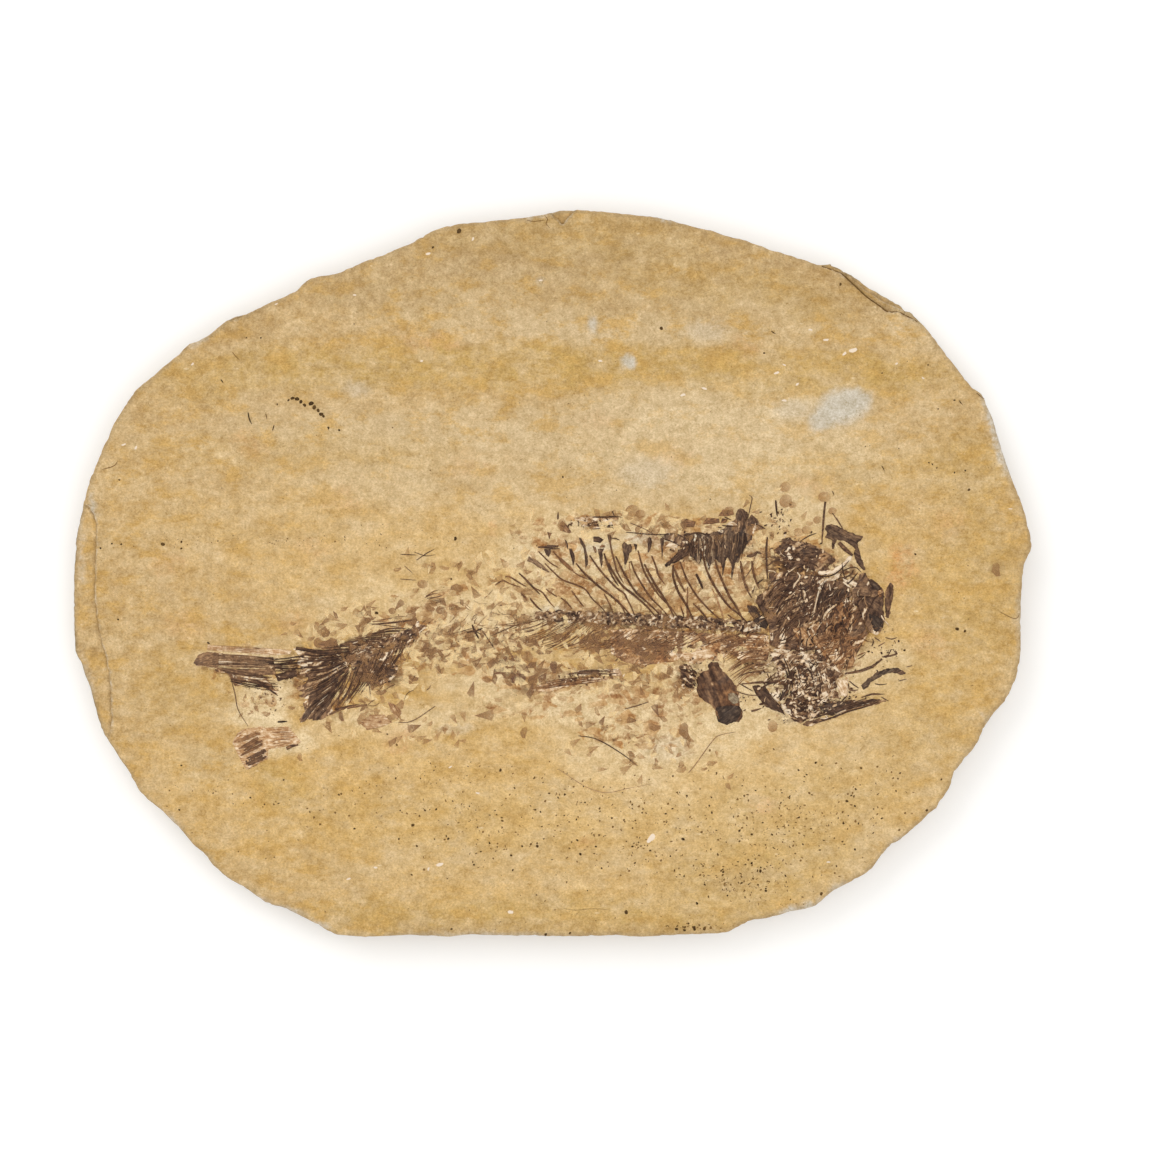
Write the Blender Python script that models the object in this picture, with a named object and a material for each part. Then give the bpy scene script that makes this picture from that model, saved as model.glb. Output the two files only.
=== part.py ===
"""Fossil fish, crushed flat, lying on a hand-trimmed slab of laminated limestone.

Frame: metres, +Z up. The slab lies on its back with the fish face up. The origin is under the middle of
the slab, +X runs towards the fish's head and +Y towards its back.
Outlines are plan views in millimetres on the bedding plane, read in the order of a walk round the piece.
"""
import math
import random

import bmesh
import bpy
from mathutils import Vector
from mathutils.geometry import delaunay_2d_cdt, intersect_point_line

# Driving dimensions, in metres
MM = 0.001
SLAB_THICKNESS = 0.012
RIM_WEAR = 0.0004
LEFT_LEDGE_DEPTH = 0.0008
CORNER_LEDGE_DEPTH = 0.0010
CORNER_STEP_DEPTH = 0.0026
TOP_CHIP_DEPTH = 0.0018
UPPER_CHIP_DEPTH = 0.0013
BONE_GAP = 0.0003
BONE_EDGE = 0.00035
BONE_CROWN = 0.0009

# Driving dimensions of the backbone, in millimetres; CRUSHED is its height as a share of a round tube's
VERTEBRA_LENGTH = 2.1
VERTEBRA_RADIUS = 1.35
VERTEBRA_WAIST = 0.95
CRUSHED = 0.42

# Relief of the bone plates: millimetres, except the shares of the plate's crown
PLATE_GRID = 2.2
EDGE_SLOPE = 1.2
LOWEST_LUMP = 0.35
RIDGE_PITCH = 2.4
RIDGE_MEAN = 0.65
RIDGE_SWING = 0.35

STONE = (0.60, 0.42, 0.22)
DARK_BONE = (0.075, 0.045, 0.032)
BROWN_BONE = (0.21, 0.115, 0.055)

BONE_BASE = SLAB_THICKNESS + BONE_GAP


# Clearing the scene and making the collections

for old in list(bpy.data.objects):
    bpy.data.objects.remove(old, do_unlink=True)

parts = bpy.data.collections.new("fossil_fish")
cutters = bpy.data.collections.new("cutters")
bpy.context.scene.collection.children.link(parts)
bpy.context.scene.collection.children.link(cutters)

materials = {}


def material(name, colour, roughness):
    """One Principled material for each finish."""
    if name not in materials:
        made = bpy.data.materials.new(name)
        made.use_nodes = True
        shader = made.node_tree.nodes["Principled BSDF"]
        shader.inputs["Base Color"].default_value = (*colour, 1.0)
        shader.inputs["Roughness"].default_value = roughness
        shader.inputs["Metallic"].default_value = 0.0
        materials[name] = made
    return materials[name]


def add_object(name, mesh, finish, collection=parts):
    thing = bpy.data.objects.new(name, mesh)
    collection.objects.link(thing)
    if finish is not None:
        mesh.materials.append(finish)
    return thing


def hide_as_cutter(thing):
    thing.hide_render = True
    thing.display_type = "WIRE"


def curve_to_mesh(curve_object, name):
    """The curve's evaluated mesh with its caps welded on; the curve is removed."""
    bpy.context.view_layer.update()
    depsgraph = bpy.context.evaluated_depsgraph_get()
    mesh = bpy.data.meshes.new_from_object(curve_object.evaluated_get(depsgraph))
    mesh.transform(curve_object.matrix_world)
    shape = bmesh.new()
    shape.from_mesh(mesh)
    bmesh.ops.remove_doubles(shape, verts=shape.verts, dist=1e-6)
    bmesh.ops.recalc_face_normals(shape, faces=shape.faces)
    shape.to_mesh(mesh)
    shape.free()
    mesh.name = name
    bpy.data.objects.remove(curve_object, do_unlink=True)
    return mesh


def outline_block(name, outline, bottom, top):
    """A block over the outline, from an extruded 2D curve, as a mesh. Heights are in metres."""
    curve = bpy.data.curves.new(name + "_outline", "CURVE")
    curve.dimensions = "2D"
    curve.fill_mode = "BOTH"
    curve.extrude = (top - bottom) / 2
    spline = curve.splines.new("POLY")
    spline.points.add(len(outline) - 1)
    for point, (x, y) in zip(spline.points, outline):
        point.co = (x * MM, y * MM, 0.0, 1.0)
    spline.use_cyclic_u = True
    guide = bpy.data.objects.new(name + "_outline", curve)
    guide.location.z = (top + bottom) / 2
    cutters.objects.link(guide)
    return curve_to_mesh(guide, name)


# The limestone slab: the outline of its upper edge, hand-trimmed into shallow scallops

SLAB_OUTLINE = [
    (-120.1, -12.9), (-120.0, -0.7), (-119.6, 7.9), (-118.7, 12.8), (-117.7, 16.9), (-115.9, 23.4),
    (-113.2, 30.0), (-110.2, 36.9), (-108.3, 39.9), (-105.7, 44.4), (-104.0, 46.2), (-99.8, 49.9),
    (-94.9, 53.8), (-90.8, 57.5), (-89.3, 57.9), (-85.7, 60.0), (-81.2, 63.6), (-79.6, 64.5),
    (-76.7, 65.0), (-74.4, 65.9), (-70.2, 68.0), (-64.2, 70.7), (-63.0, 72.4), (-61.6, 73.4),
    (-60.0, 74.1), (-58.4, 74.5), (-56.1, 74.6), (-54.1, 75.0), (-50.0, 76.8), (-46.0, 78.5),
    (-40.1, 80.8), (-35.9, 82.5), (-32.7, 84.3), (-30.0, 85.7), (-26.4, 86.9), (-23.3, 87.5),
    (-14.2, 88.4), (-6.6, 89.1), (-2.1, 89.9), (1.6, 91.1), (3.9, 91.2), (7.9, 91.0), (13.8, 90.5),
    (20.1, 89.8), (26.3, 89.3), (30.0, 88.4), (34.0, 87.3), (39.9, 85.8), (42.5, 84.8), (47.8, 83.7),
    (50.0, 82.8), (54.0, 81.4), (60.0, 79.5), (66.8, 77.2), (67.8, 77.4), (69.8, 77.6), (71.5, 77.3),
    (72.5, 76.7), (76.0, 74.2), (82.7, 70.0), (88.2, 66.7), (90.0, 65.2), (91.9, 63.2), (94.7, 60.0),
    (97.8, 56.0), (102.5, 49.7), (105.1, 46.5), (107.2, 45.2), (108.4, 43.2), (110.2, 38.9),
    (112.9, 30.0), (115.5, 22.2), (117.1, 18.5), (118.6, 14.0), (119.6, 10.0), (120.1, 7.1),
    (119.8, 5.3), (119.0, 3.8), (118.2, 2.0), (117.6, -2.7), (117.3, -6.8), (117.3, -20.2),
    (116.7, -23.9), (115.9, -26.8), (114.5, -30.0), (113.3, -32.2), (110.7, -34.9), (108.6, -38.0),
    (106.0, -43.3), (102.1, -48.0), (100.7, -50.2), (99.6, -53.9), (97.6, -56.7), (96.2, -59.0),
    (94.3, -60.2), (92.5, -62.2), (87.4, -66.5), (83.9, -69.0), (82.5, -70.6), (80.0, -74.1),
    (78.4, -75.3), (73.5, -78.0), (70.2, -79.8), (68.2, -81.4), (66.4, -83.3), (63.3, -84.2),
    (60.0, -84.7), (54.9, -86.3), (51.0, -86.9), (48.6, -87.7), (43.9, -90.0), (41.5, -90.4),
    (31.6, -90.7), (21.7, -91.2), (15.4, -90.8), (5.1, -91.1), (-6.6, -91.0), (-20.1, -90.6),
    (-25.6, -91.2), (-31.9, -90.9), (-36.7, -90.8), (-46.6, -91.2), (-54.1, -90.7), (-56.1, -89.8),
    (-60.0, -87.5), (-66.9, -83.9), (-69.8, -83.3), (-72.2, -82.4), (-75.9, -79.6), (-81.8, -76.1),
    (-85.3, -72.9), (-87.3, -70.2), (-90.0, -68.0), (-93.4, -64.1), (-97.9, -59.4), (-99.8, -58.0),
    (-102.4, -56.1), (-104.0, -53.9), (-106.7, -48.8), (-108.5, -46.5), (-110.0, -43.9),
    (-112.2, -40.8), (-113.2, -38.8), (-115.7, -30.0), (-118.1, -23.1), (-119.6, -19.8),
]

# Flake scars left in the edge by the trimming: place on the rim, half width and depth, in millimetres
FLAKE_SCARS = [
    (-119, 8, 12, 1.8), (-112, 33, 9, 1.6), (-98, 51, 10, 2.0), (-80, 64, 6, 2.4), (-62, 73, 6, 2.8),
    (-37, 82, 8, 2.4), (-14, 88, 12, 2.0), (3, 91, 6, 2.6), (26, 89, 9, 1.6), (49, 83, 10, 2.2),
    (70, 77, 6, 2.4), (96, 58, 8, 1.8), (104, 47, 8, 2.4), (113, 30, 9, 1.0), (119, 4, 5, 2.8),
    (117, -14, 12, 1.5), (110, -36, 9, 2.0), (100, -52, 7, 2.6), (92, -62, 7, 2.0), (82, -71, 8, 2.4),
    (67, -83, 8, 2.8), (49, -88, 9, 2.2), (30, -91, 12, 1.8), (0, -91, 14, 1.4), (-28, -91, 12, 1.6),
    (-57, -89, 7, 2.6), (-77, -79, 8, 2.4), (-94, -64, 9, 1.8), (-104, -54, 8, 2.6),
    (-117, -26, 9, 2.2),
]

# Beds of the edge wall from the top down: height as a share of the thickness, how far the bed stands
# back from the outline in millimetres, and its share of each flake scar
WALL_BEDS = [
    (0.955, 0.15, 0.0), (0.90, 0.0, 0.0), (0.76, 0.15, 0.05), (0.735, 1.1, 0.55), (0.45, 1.3, 0.9),
    (0.425, 0.95, 0.7), (0.12, 1.9, 0.9), (0.0, 2.6, 0.8),
]
TOP_BED = 0.9

# The bruised bevel along the right rim: from and to, and its width in millimetres
BEVEL_FROM = Vector((108.4, 43.2))
BEVEL_TO = Vector((115.0, 23.0))
BEVEL_WIDTH = 1.3
BEVEL_LEFT_BELOW = 0.45


def inward_normals(outline):
    """A unit normal at each outline point, pointing into the slab (the walk is clockwise)."""
    normals = []
    for index in range(len(outline)):
        along = Vector(outline[(index + 1) % len(outline)]) - Vector(outline[index - 1])
        normals.append(Vector((along.y, -along.x)).normalized())
    return normals


def scar_depth(x, y):
    """How deep the flake scars are at one place of the rim, in millimetres."""
    depth = 0.0
    for scar_x, scar_y, half_width, scar in FLAKE_SCARS:
        away = math.hypot(x - scar_x, y - scar_y) / half_width
        depth = max(depth, scar * max(0.0, 1.0 - away * away))
    return depth


def bevel_width(x, y):
    """Extra wear of the top edge where the right rim is bruised, in millimetres."""
    nearest, share = intersect_point_line(Vector((x, y)), BEVEL_FROM, BEVEL_TO)
    if share < 0.0 or share > 1.0:
        return 0.0
    return BEVEL_WIDTH * math.sin(math.pi * share) ** 0.5


def build_slab():
    """The slab as a loft from its worn top edge down the beds of the wall to its flat back."""
    normals = inward_normals(SLAB_OUTLINE)
    shape = bmesh.new()
    rings = []
    top_ring = []
    for (x, y), normal in zip(SLAB_OUTLINE, normals):
        inset = RIM_WEAR / MM + bevel_width(x, y)
        place = Vector((x, y)) + normal * inset
        top_ring.append(shape.verts.new((place.x * MM, place.y * MM, SLAB_THICKNESS)))
    rings.append(top_ring)
    for share, back, scar_share in WALL_BEDS:
        ring = []
        for (x, y), normal in zip(SLAB_OUTLINE, normals):
            inset = back + scar_share * scar_depth(x, y)
            if share > TOP_BED:
                inset += BEVEL_LEFT_BELOW * bevel_width(x, y)
            place = Vector((x, y)) + normal * inset
            ring.append(shape.verts.new((place.x * MM, place.y * MM, SLAB_THICKNESS * share)))
        rings.append(ring)
    count = len(SLAB_OUTLINE)
    for upper, lower in zip(rings, rings[1:]):
        for index in range(count):
            after = (index + 1) % count
            shape.faces.new((upper[index], upper[after], lower[after], lower[index]))
    shape.faces.new(rings[0])
    shape.faces.new(rings[-1])
    bmesh.ops.recalc_face_normals(shape, faces=shape.faces)
    mesh = bpy.data.meshes.new("limestone_slab")
    shape.to_mesh(mesh)
    shape.free()
    return add_object("limestone_slab", mesh, material("limestone", STONE, 0.85))


# What has split off the slab's top: outlines run past the rim, so each takes its bed away to the edge

LEFT_LEDGE = [
    (-130.0, 17.5), (-115.9, 16.9), (-114.6, 14.6), (-114.0, 12.4), (-114.0, 7.9), (-114.3, 3.4),
    (-114.4, -6.8), (-113.8, -11.3), (-112.8, -17.0), (-111.6, -21.1), (-110.8, -25.1), (-110.3, -31.0),
    (-110.2, -36.0), (-110.8, -41.8), (-112.0, -46.0), (-130.0, -46.0),
]
CORNER_LEDGE = [
    (66.0, 79.5), (67.3, 76.6), (69.8, 75.9), (71.9, 75.0), (73.9, 73.6), (76.0, 71.6), (78.0, 69.9),
    (80.0, 68.3), (82.1, 66.9), (83.4, 65.7), (84.6, 65.1), (86.6, 65.2), (88.2, 64.2), (90.7, 63.4),
    (93.0, 61.2), (97.0, 66.0), (75.0, 82.0),
]
CORNER_STEP = [
    (68.5, 80.0), (70.4, 76.3), (72.4, 75.9), (74.6, 74.1), (78.4, 70.8), (82.6, 68.0), (88.6, 65.5),
    (91.5, 64.2), (97.0, 67.0), (76.0, 82.0),
]
TOP_CHIP = [(-2.6, 92.5), (-0.6, 90.0), (2.5, 87.2), (6.2, 91.3), (6.5, 92.5)]
UPPER_CHIP = [(-85.5, 61.8), (-83.4, 61.3), (-80.8, 63.1), (-78.0, 63.9), (-75.6, 64.9), (-78.0, 68.0)]


def cut_top(slab, name, outline, depth):
    """Takes one bed away inside the outline, down to the given depth."""
    block = outline_block(name, outline, SLAB_THICKNESS - depth, SLAB_THICKNESS * 1.5)
    cutter = add_object(name, block, None, cutters)
    hide_as_cutter(cutter)
    cut = slab.modifiers.new(name, "BOOLEAN")
    cut.operation = "DIFFERENCE"
    cut.solver = "EXACT"
    cut.object = cutter


slab = build_slab()
cut_top(slab, "left_ledge", LEFT_LEDGE, LEFT_LEDGE_DEPTH)
cut_top(slab, "corner_ledge", CORNER_LEDGE, CORNER_LEDGE_DEPTH)
cut_top(slab, "corner_step", CORNER_STEP, CORNER_STEP_DEPTH)
cut_top(slab, "top_chip", TOP_CHIP, TOP_CHIP_DEPTH)
cut_top(slab, "upper_chip", UPPER_CHIP, UPPER_CHIP_DEPTH)


# Bone plates: thin, crushed sheets with a broken relief, each lying on the slab with a small gap

def edge_distance(x, y, outline):
    """Distance in millimetres from a place to the nearest edge of the outline."""
    place = Vector((x, y))
    nearest = 1e9
    for index, corner in enumerate(outline):
        start = Vector(outline[index - 1])
        end = Vector(corner)
        foot, share = intersect_point_line(place, start, end)
        foot = start if share < 0.0 else end if share > 1.0 else foot
        nearest = min(nearest, (place - foot).length)
    return nearest


def is_inside(x, y, outline):
    """True where a level line to the right of the place crosses the outline an odd number of times."""
    inside = False
    for index, (x2, y2) in enumerate(outline):
        x1, y1 = outline[index - 1]
        if (y1 > y) != (y2 > y) and x < x1 + (y - y1) / (y2 - y1) * (x2 - x1):
            inside = not inside
    return inside


def scattered_points(outline, spacing, dice):
    """Points inside the outline on a loose triangle grid, none close to its edge."""
    xs = [x for x, y in outline]
    ys = [y for x, y in outline]
    row_step = spacing * math.sqrt(0.75)
    shift = spacing / 4
    points = []
    for row in range(int((max(ys) - min(ys)) / row_step) + 1):
        for column in range(int((max(xs) - min(xs)) / spacing) + 2):
            x = min(xs) + spacing * (column + (0.5 if row % 2 else 0.0)) + dice.uniform(-shift, shift)
            y = min(ys) + spacing / 2 + row * row_step + dice.uniform(-shift, shift)
            if is_inside(x, y, outline) and edge_distance(x, y, outline) > spacing / 3:
                points.append((x, y))
    return points


def bone_plate(name, outline, finish, spacing=PLATE_GRID, ridge_angle=None, seed=1):
    """A plate over the outline: a low rim, and inside it points raised to uneven heights.

    With a ridge angle, in degrees from +X, the relief is long ridges that run that way; without one it
    is broken lumps.
    """
    dice = random.Random(seed)
    inner = scattered_points(outline, spacing, dice)
    places = [Vector(point) for point in outline] + [Vector(point) for point in inner]
    count = len(outline)
    flat_points, _, flat_faces, *_ = delaunay_2d_cdt(places, [], [list(range(count))], 1, 1e-5)
    shape = bmesh.new()
    top = []
    for index, point in enumerate(flat_points):
        height = BONE_EDGE
        if index >= count:
            away = min(1.0, edge_distance(point.x, point.y, outline) / EDGE_SLOPE)
            if ridge_angle is None:
                lift = dice.uniform(LOWEST_LUMP, 1.0)
            else:
                turn = math.radians(ridge_angle)
                across = point.y * math.cos(turn) - point.x * math.sin(turn)
                lift = RIDGE_MEAN + RIDGE_SWING * math.sin(across * math.tau / RIDGE_PITCH)
            height = BONE_EDGE + (BONE_CROWN - BONE_EDGE) * away * lift
        top.append(shape.verts.new((point.x * MM, point.y * MM, BONE_BASE + height)))
    bottom = [shape.verts.new((x * MM, y * MM, BONE_BASE)) for x, y in outline]
    for face in flat_faces:
        shape.faces.new([top[index] for index in face])
    for index in range(count):
        before = (index - 1) % count
        shape.faces.new((top[before], top[index], bottom[index], bottom[before]))
    shape.faces.new(bottom)
    bmesh.ops.recalc_face_normals(shape, faces=shape.faces)
    mesh = bpy.data.meshes.new(name)
    shape.to_mesh(mesh)
    shape.free()
    return add_object(name, mesh, finish)


# Bone rods: spines, rays and splinters, each a tapered tube laid along the slab

def rod_mesh(name, path, widths, sides=1, crushed=1.0):
    """A tube through the path. Its width, in millimetres, goes evenly through the widths given.

    sides is the curve's bevel resolution. crushed flattens the tube onto the slab.
    """
    curve = bpy.data.curves.new(name + "_path", "CURVE")
    curve.dimensions = "3D"
    curve.bevel_depth = MM
    curve.bevel_resolution = sides
    curve.use_fill_caps = True
    spline = curve.splines.new("POLY")
    spline.points.add(len(path) - 1)
    steps = len(path) - 1
    for index, (x, y) in enumerate(path):
        along = index / steps * (len(widths) - 1)
        low = min(int(along), len(widths) - 2)
        width = widths[low] + (widths[low + 1] - widths[low]) * (along - low)
        spline.points[index].co = (x * MM, y * MM, width / 2 * MM, 1.0)
        spline.points[index].radius = width / 2
    guide = bpy.data.objects.new(name + "_path", curve)
    cutters.objects.link(guide)
    mesh = curve_to_mesh(guide, name)
    lowest = min(vertex.co.z for vertex in mesh.vertices)
    for vertex in mesh.vertices:
        vertex.co.z = BONE_BASE + (vertex.co.z - lowest) * crushed
    mesh.shade_smooth()
    return mesh


def bone_rod(name, path, widths, finish, sides=1, crushed=1.0):
    return add_object(name, rod_mesh(name, path, widths, sides, crushed), finish)


dark = material("dark_bone", DARK_BONE, 0.45)
brown = material("brown_bone", BROWN_BONE, 0.5)


# The head: crushed plates of the skull, cheek, gill cover and jaws

HEAD_PLATES = {
    "skull_roof": [
        (55.3, 5.4), (56.2, 6.4), (57.2, 6.5), (57.3, 8.4), (59.4, 8.9), (60.1, 8.0), (62.3, 7.8),
        (64.5, 7.2), (66.6, 6.3), (69.2, 4.7), (70.9, 3.2), (69.8, 2.3), (67.8, 2.3), (69.2, 0.8),
        (67.0, 0.4), (64.0, 0.9), (62.0, 1.7), (59.4, 0.7), (58.0, 1.5), (57.8, 3.3), (56.6, 4.6),
    ],
    "skull_crest": [
        (67.9, 10.9), (68.5, 11.8), (69.5, 12.4), (70.9, 12.1), (73.5, 10.6), (75.8, 9.6), (77.8, 9.3),
        (76.3, 7.2), (76.5, 6.2), (77.3, 3.6), (78.4, 0.7), (77.7, 0.6), (76.0, 2.6), (75.2, 4.8),
        (75.7, 5.9), (74.6, 6.9), (72.6, 8.1), (71.0, 8.3), (70.4, 5.8), (69.7, 5.8), (69.9, 8.3),
        (68.1, 8.9), (68.6, 9.9),
    ],
    "snout_bone": [
        (84.6, -2.1), (85.3, -3.2), (85.1, -6.0), (84.5, -9.5), (84.1, -11.5), (83.3, -10.9),
        (82.9, -8.0), (83.1, -5.0), (83.7, -3.3),
    ],
    "snout_roof": [
        (74.9, -4.2), (75.6, -2.6), (76.6, -1.9), (77.0, -0.4), (78.0, -0.1), (78.6, -1.4),
        (80.5, -2.3), (82.3, -4.0), (82.6, -5.0), (82.4, -9.0), (82.9, -12.0), (82.0, -14.3),
        (81.0, -15.2), (79.3, -14.4), (78.4, -12.8), (77.4, -10.0), (75.4, -7.4),
    ],
    "gill_cover": [
        (51.1, -7.3), (51.9, -5.6), (53.2, -4.7), (56.0, -3.2), (54.4, -1.9), (54.2, -0.2), (57.0, 0.0),
        (59.3, 0.2), (62.0, -0.6), (64.0, -0.4), (67.2, -1.2), (66.0, -2.4), (66.2, -4.6), (65.6, -7.0),
        (64.9, -9.5), (64.6, -12.0), (63.4, -14.2), (64.6, -16.6), (65.6, -18.8), (62.8, -19.4),
        (58.0, -18.9), (54.6, -17.9), (54.4, -14.0), (54.2, -12.6),
    ],
    "cheek_plate": [
        (67.6, -3.6), (68.3, -2.3), (69.6, -1.9), (71.6, -2.1), (73.2, -3.2), (74.4, -4.3), (74.5, -5.6),
        (72.5, -6.6), (70.4, -8.0), (68.6, -9.8), (67.2, -11.9), (65.8, -12.0), (65.6, -10.6),
        (66.6, -7.0),
    ],
    "cheek_bone": [
        (65.9, -12.6), (67.4, -12.5), (69.0, -10.2), (71.0, -8.3), (73.6, -6.7), (74.9, -7.6),
        (77.0, -10.4), (78.0, -13.2), (78.7, -15.0), (76.9, -18.0), (76.0, -19.8), (75.2, -22.2),
        (73.4, -21.6), (71.9, -24.2), (69.6, -21.6), (67.4, -20.0), (65.9, -18.2), (65.0, -16.2),
        (64.0, -14.2),
    ],
    "throat_bones": [
        (54.6, -20.0), (58.0, -19.5), (62.6, -19.8), (64.2, -20.9), (66.3, -19.8), (68.0, -20.9),
        (70.0, -22.4), (71.4, -24.2), (72.2, -25.2), (70.8, -26.6), (70.9, -28.0), (70.4, -29.0),
        (71.8, -31.2), (66.0, -30.9), (62.0, -31.0), (59.3, -31.0), (59.9, -28.6), (61.3, -26.4),
        (61.2, -23.8), (59.2, -24.2), (57.4, -25.4), (55.8, -25.8), (56.6, -24.0), (55.6, -22.4),
    ],
    "upright_bone": [
        (60.8, -24.4), (59.4, -24.9), (58.3, -26.6), (57.7, -28.6), (57.0, -30.3), (56.7, -31.8),
        (58.2, -31.9), (58.7, -29.9), (59.4, -28.2), (60.6, -26.2),
    ],
    "jaw_hinge": [
        (58.7, -31.5), (62.0, -31.4), (66.0, -31.4), (69.4, -31.7), (67.5, -32.4), (65.9, -33.7),
        (67.2, -34.8), (66.2, -35.9), (63.6, -36.4), (62.0, -37.4), (60.6, -37.0), (59.2, -35.2),
        (58.8, -34.4), (58.0, -32.5),
    ],
    "jaw_plate": [
        (66.5, -33.7), (68.0, -32.7), (69.5, -32.2), (72.2, -32.0), (72.5, -33.0), (71.9, -34.2),
        (70.9, -35.1), (69.3, -35.6), (68.0, -34.7),
    ],
    "lower_jaw": [
        (62.6, -38.0), (64.6, -38.4), (66.0, -37.7), (72.0, -35.6), (76.2, -34.1), (80.0, -33.0),
        (84.0, -31.9), (81.0, -31.6), (77.0, -31.8), (73.1, -31.9), (73.1, -33.4), (72.5, -34.6),
        (71.1, -35.6), (69.2, -36.2), (66.8, -36.5), (65.0, -36.9), (63.6, -36.9),
    ],
    "upper_jaw": [
        (77.0, -28.1), (79.0, -26.3), (81.3, -24.6), (84.0, -23.8), (86.0, -23.6), (87.4, -24.2),
        (88.6, -25.3), (86.9, -25.6), (86.0, -24.9), (84.0, -25.0), (81.6, -26.2), (79.6, -27.3),
        (79.0, -28.6), (77.8, -29.3),
    ],
    "shoulder_wedge": [
        (48.7, -8.2), (50.4, -8.1), (51.6, -9.8), (53.0, -11.8), (53.6, -13.2), (52.8, -13.5),
        (51.6, -12.8), (50.0, -10.8), (49.2, -9.4),
    ],
    "shoulder_bone": [
        (50.0, -28.3), (51.6, -28.1), (53.0, -29.0), (55.0, -31.0), (56.6, -32.9), (58.3, -35.7),
        (57.0, -34.9), (54.4, -33.9), (52.5, -32.0), (51.0, -30.3),
    ],
}
SMOOTH_HEAD_PLATES = {
    "skull_crest": -25, "snout_bone": 82, "cheek_plate": 62, "jaw_plate": 10, "lower_jaw": 18,
    "upper_jaw": 30, "shoulder_wedge": -50, "shoulder_bone": -45, "upright_bone": 70,
}
BROWN_HEAD_PLATES = ("cheek_bone",)

for seed, (name, outline) in enumerate(HEAD_PLATES.items(), start=11):
    finish = brown if name in BROWN_HEAD_PLATES else dark
    bone_plate(name, outline, finish, ridge_angle=SMOOTH_HEAD_PLATES.get(name), seed=seed)

HEAD_RODS = {
    "crest_spine": ([(68.2, 17.8), (67.8, 14.0), (67.55, 10.6), (67.35, 7.4)], (0.5, 0.6, 0.35)),
    "crest_splint": ([(71.6, 7.6), (73.2, 5.9), (75.0, 4.4)], (0.9, 1.1, 0.6)),
    "gill_rod": ([(73.1, -25.2), (77.0, -24.5), (80.0, -23.4), (82.4, -21.5)], (0.5, 0.8, 0.5)),
    "jaw_splint_1": ([(77.2, -31.1), (79.8, -30.4), (83.0, -30.3)], (0.35, 0.4, 0.25)),
    "jaw_splint_2": ([(82.6, -21.0), (84.6, -20.7), (86.0, -20.1), (85.2, -19.3)], (0.4, 0.5, 0.3)),
    "throat_ray_1": ([(47.3, -27.7), (50.0, -27.5), (54.0, -27.3), (57.3, -26.7)], (0.35, 0.5, 0.6)),
    "throat_ray_2": ([(49.7, -34.5), (51.0, -34.3), (52.3, -33.8)], (0.5, 0.4, 0.25)),
}
for name, (path, widths) in HEAD_RODS.items():
    bone_rod(name, path, widths, dark)


# The backbone: crushed vertebrae in a row, with the thin spines that grow from their upper side

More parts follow.
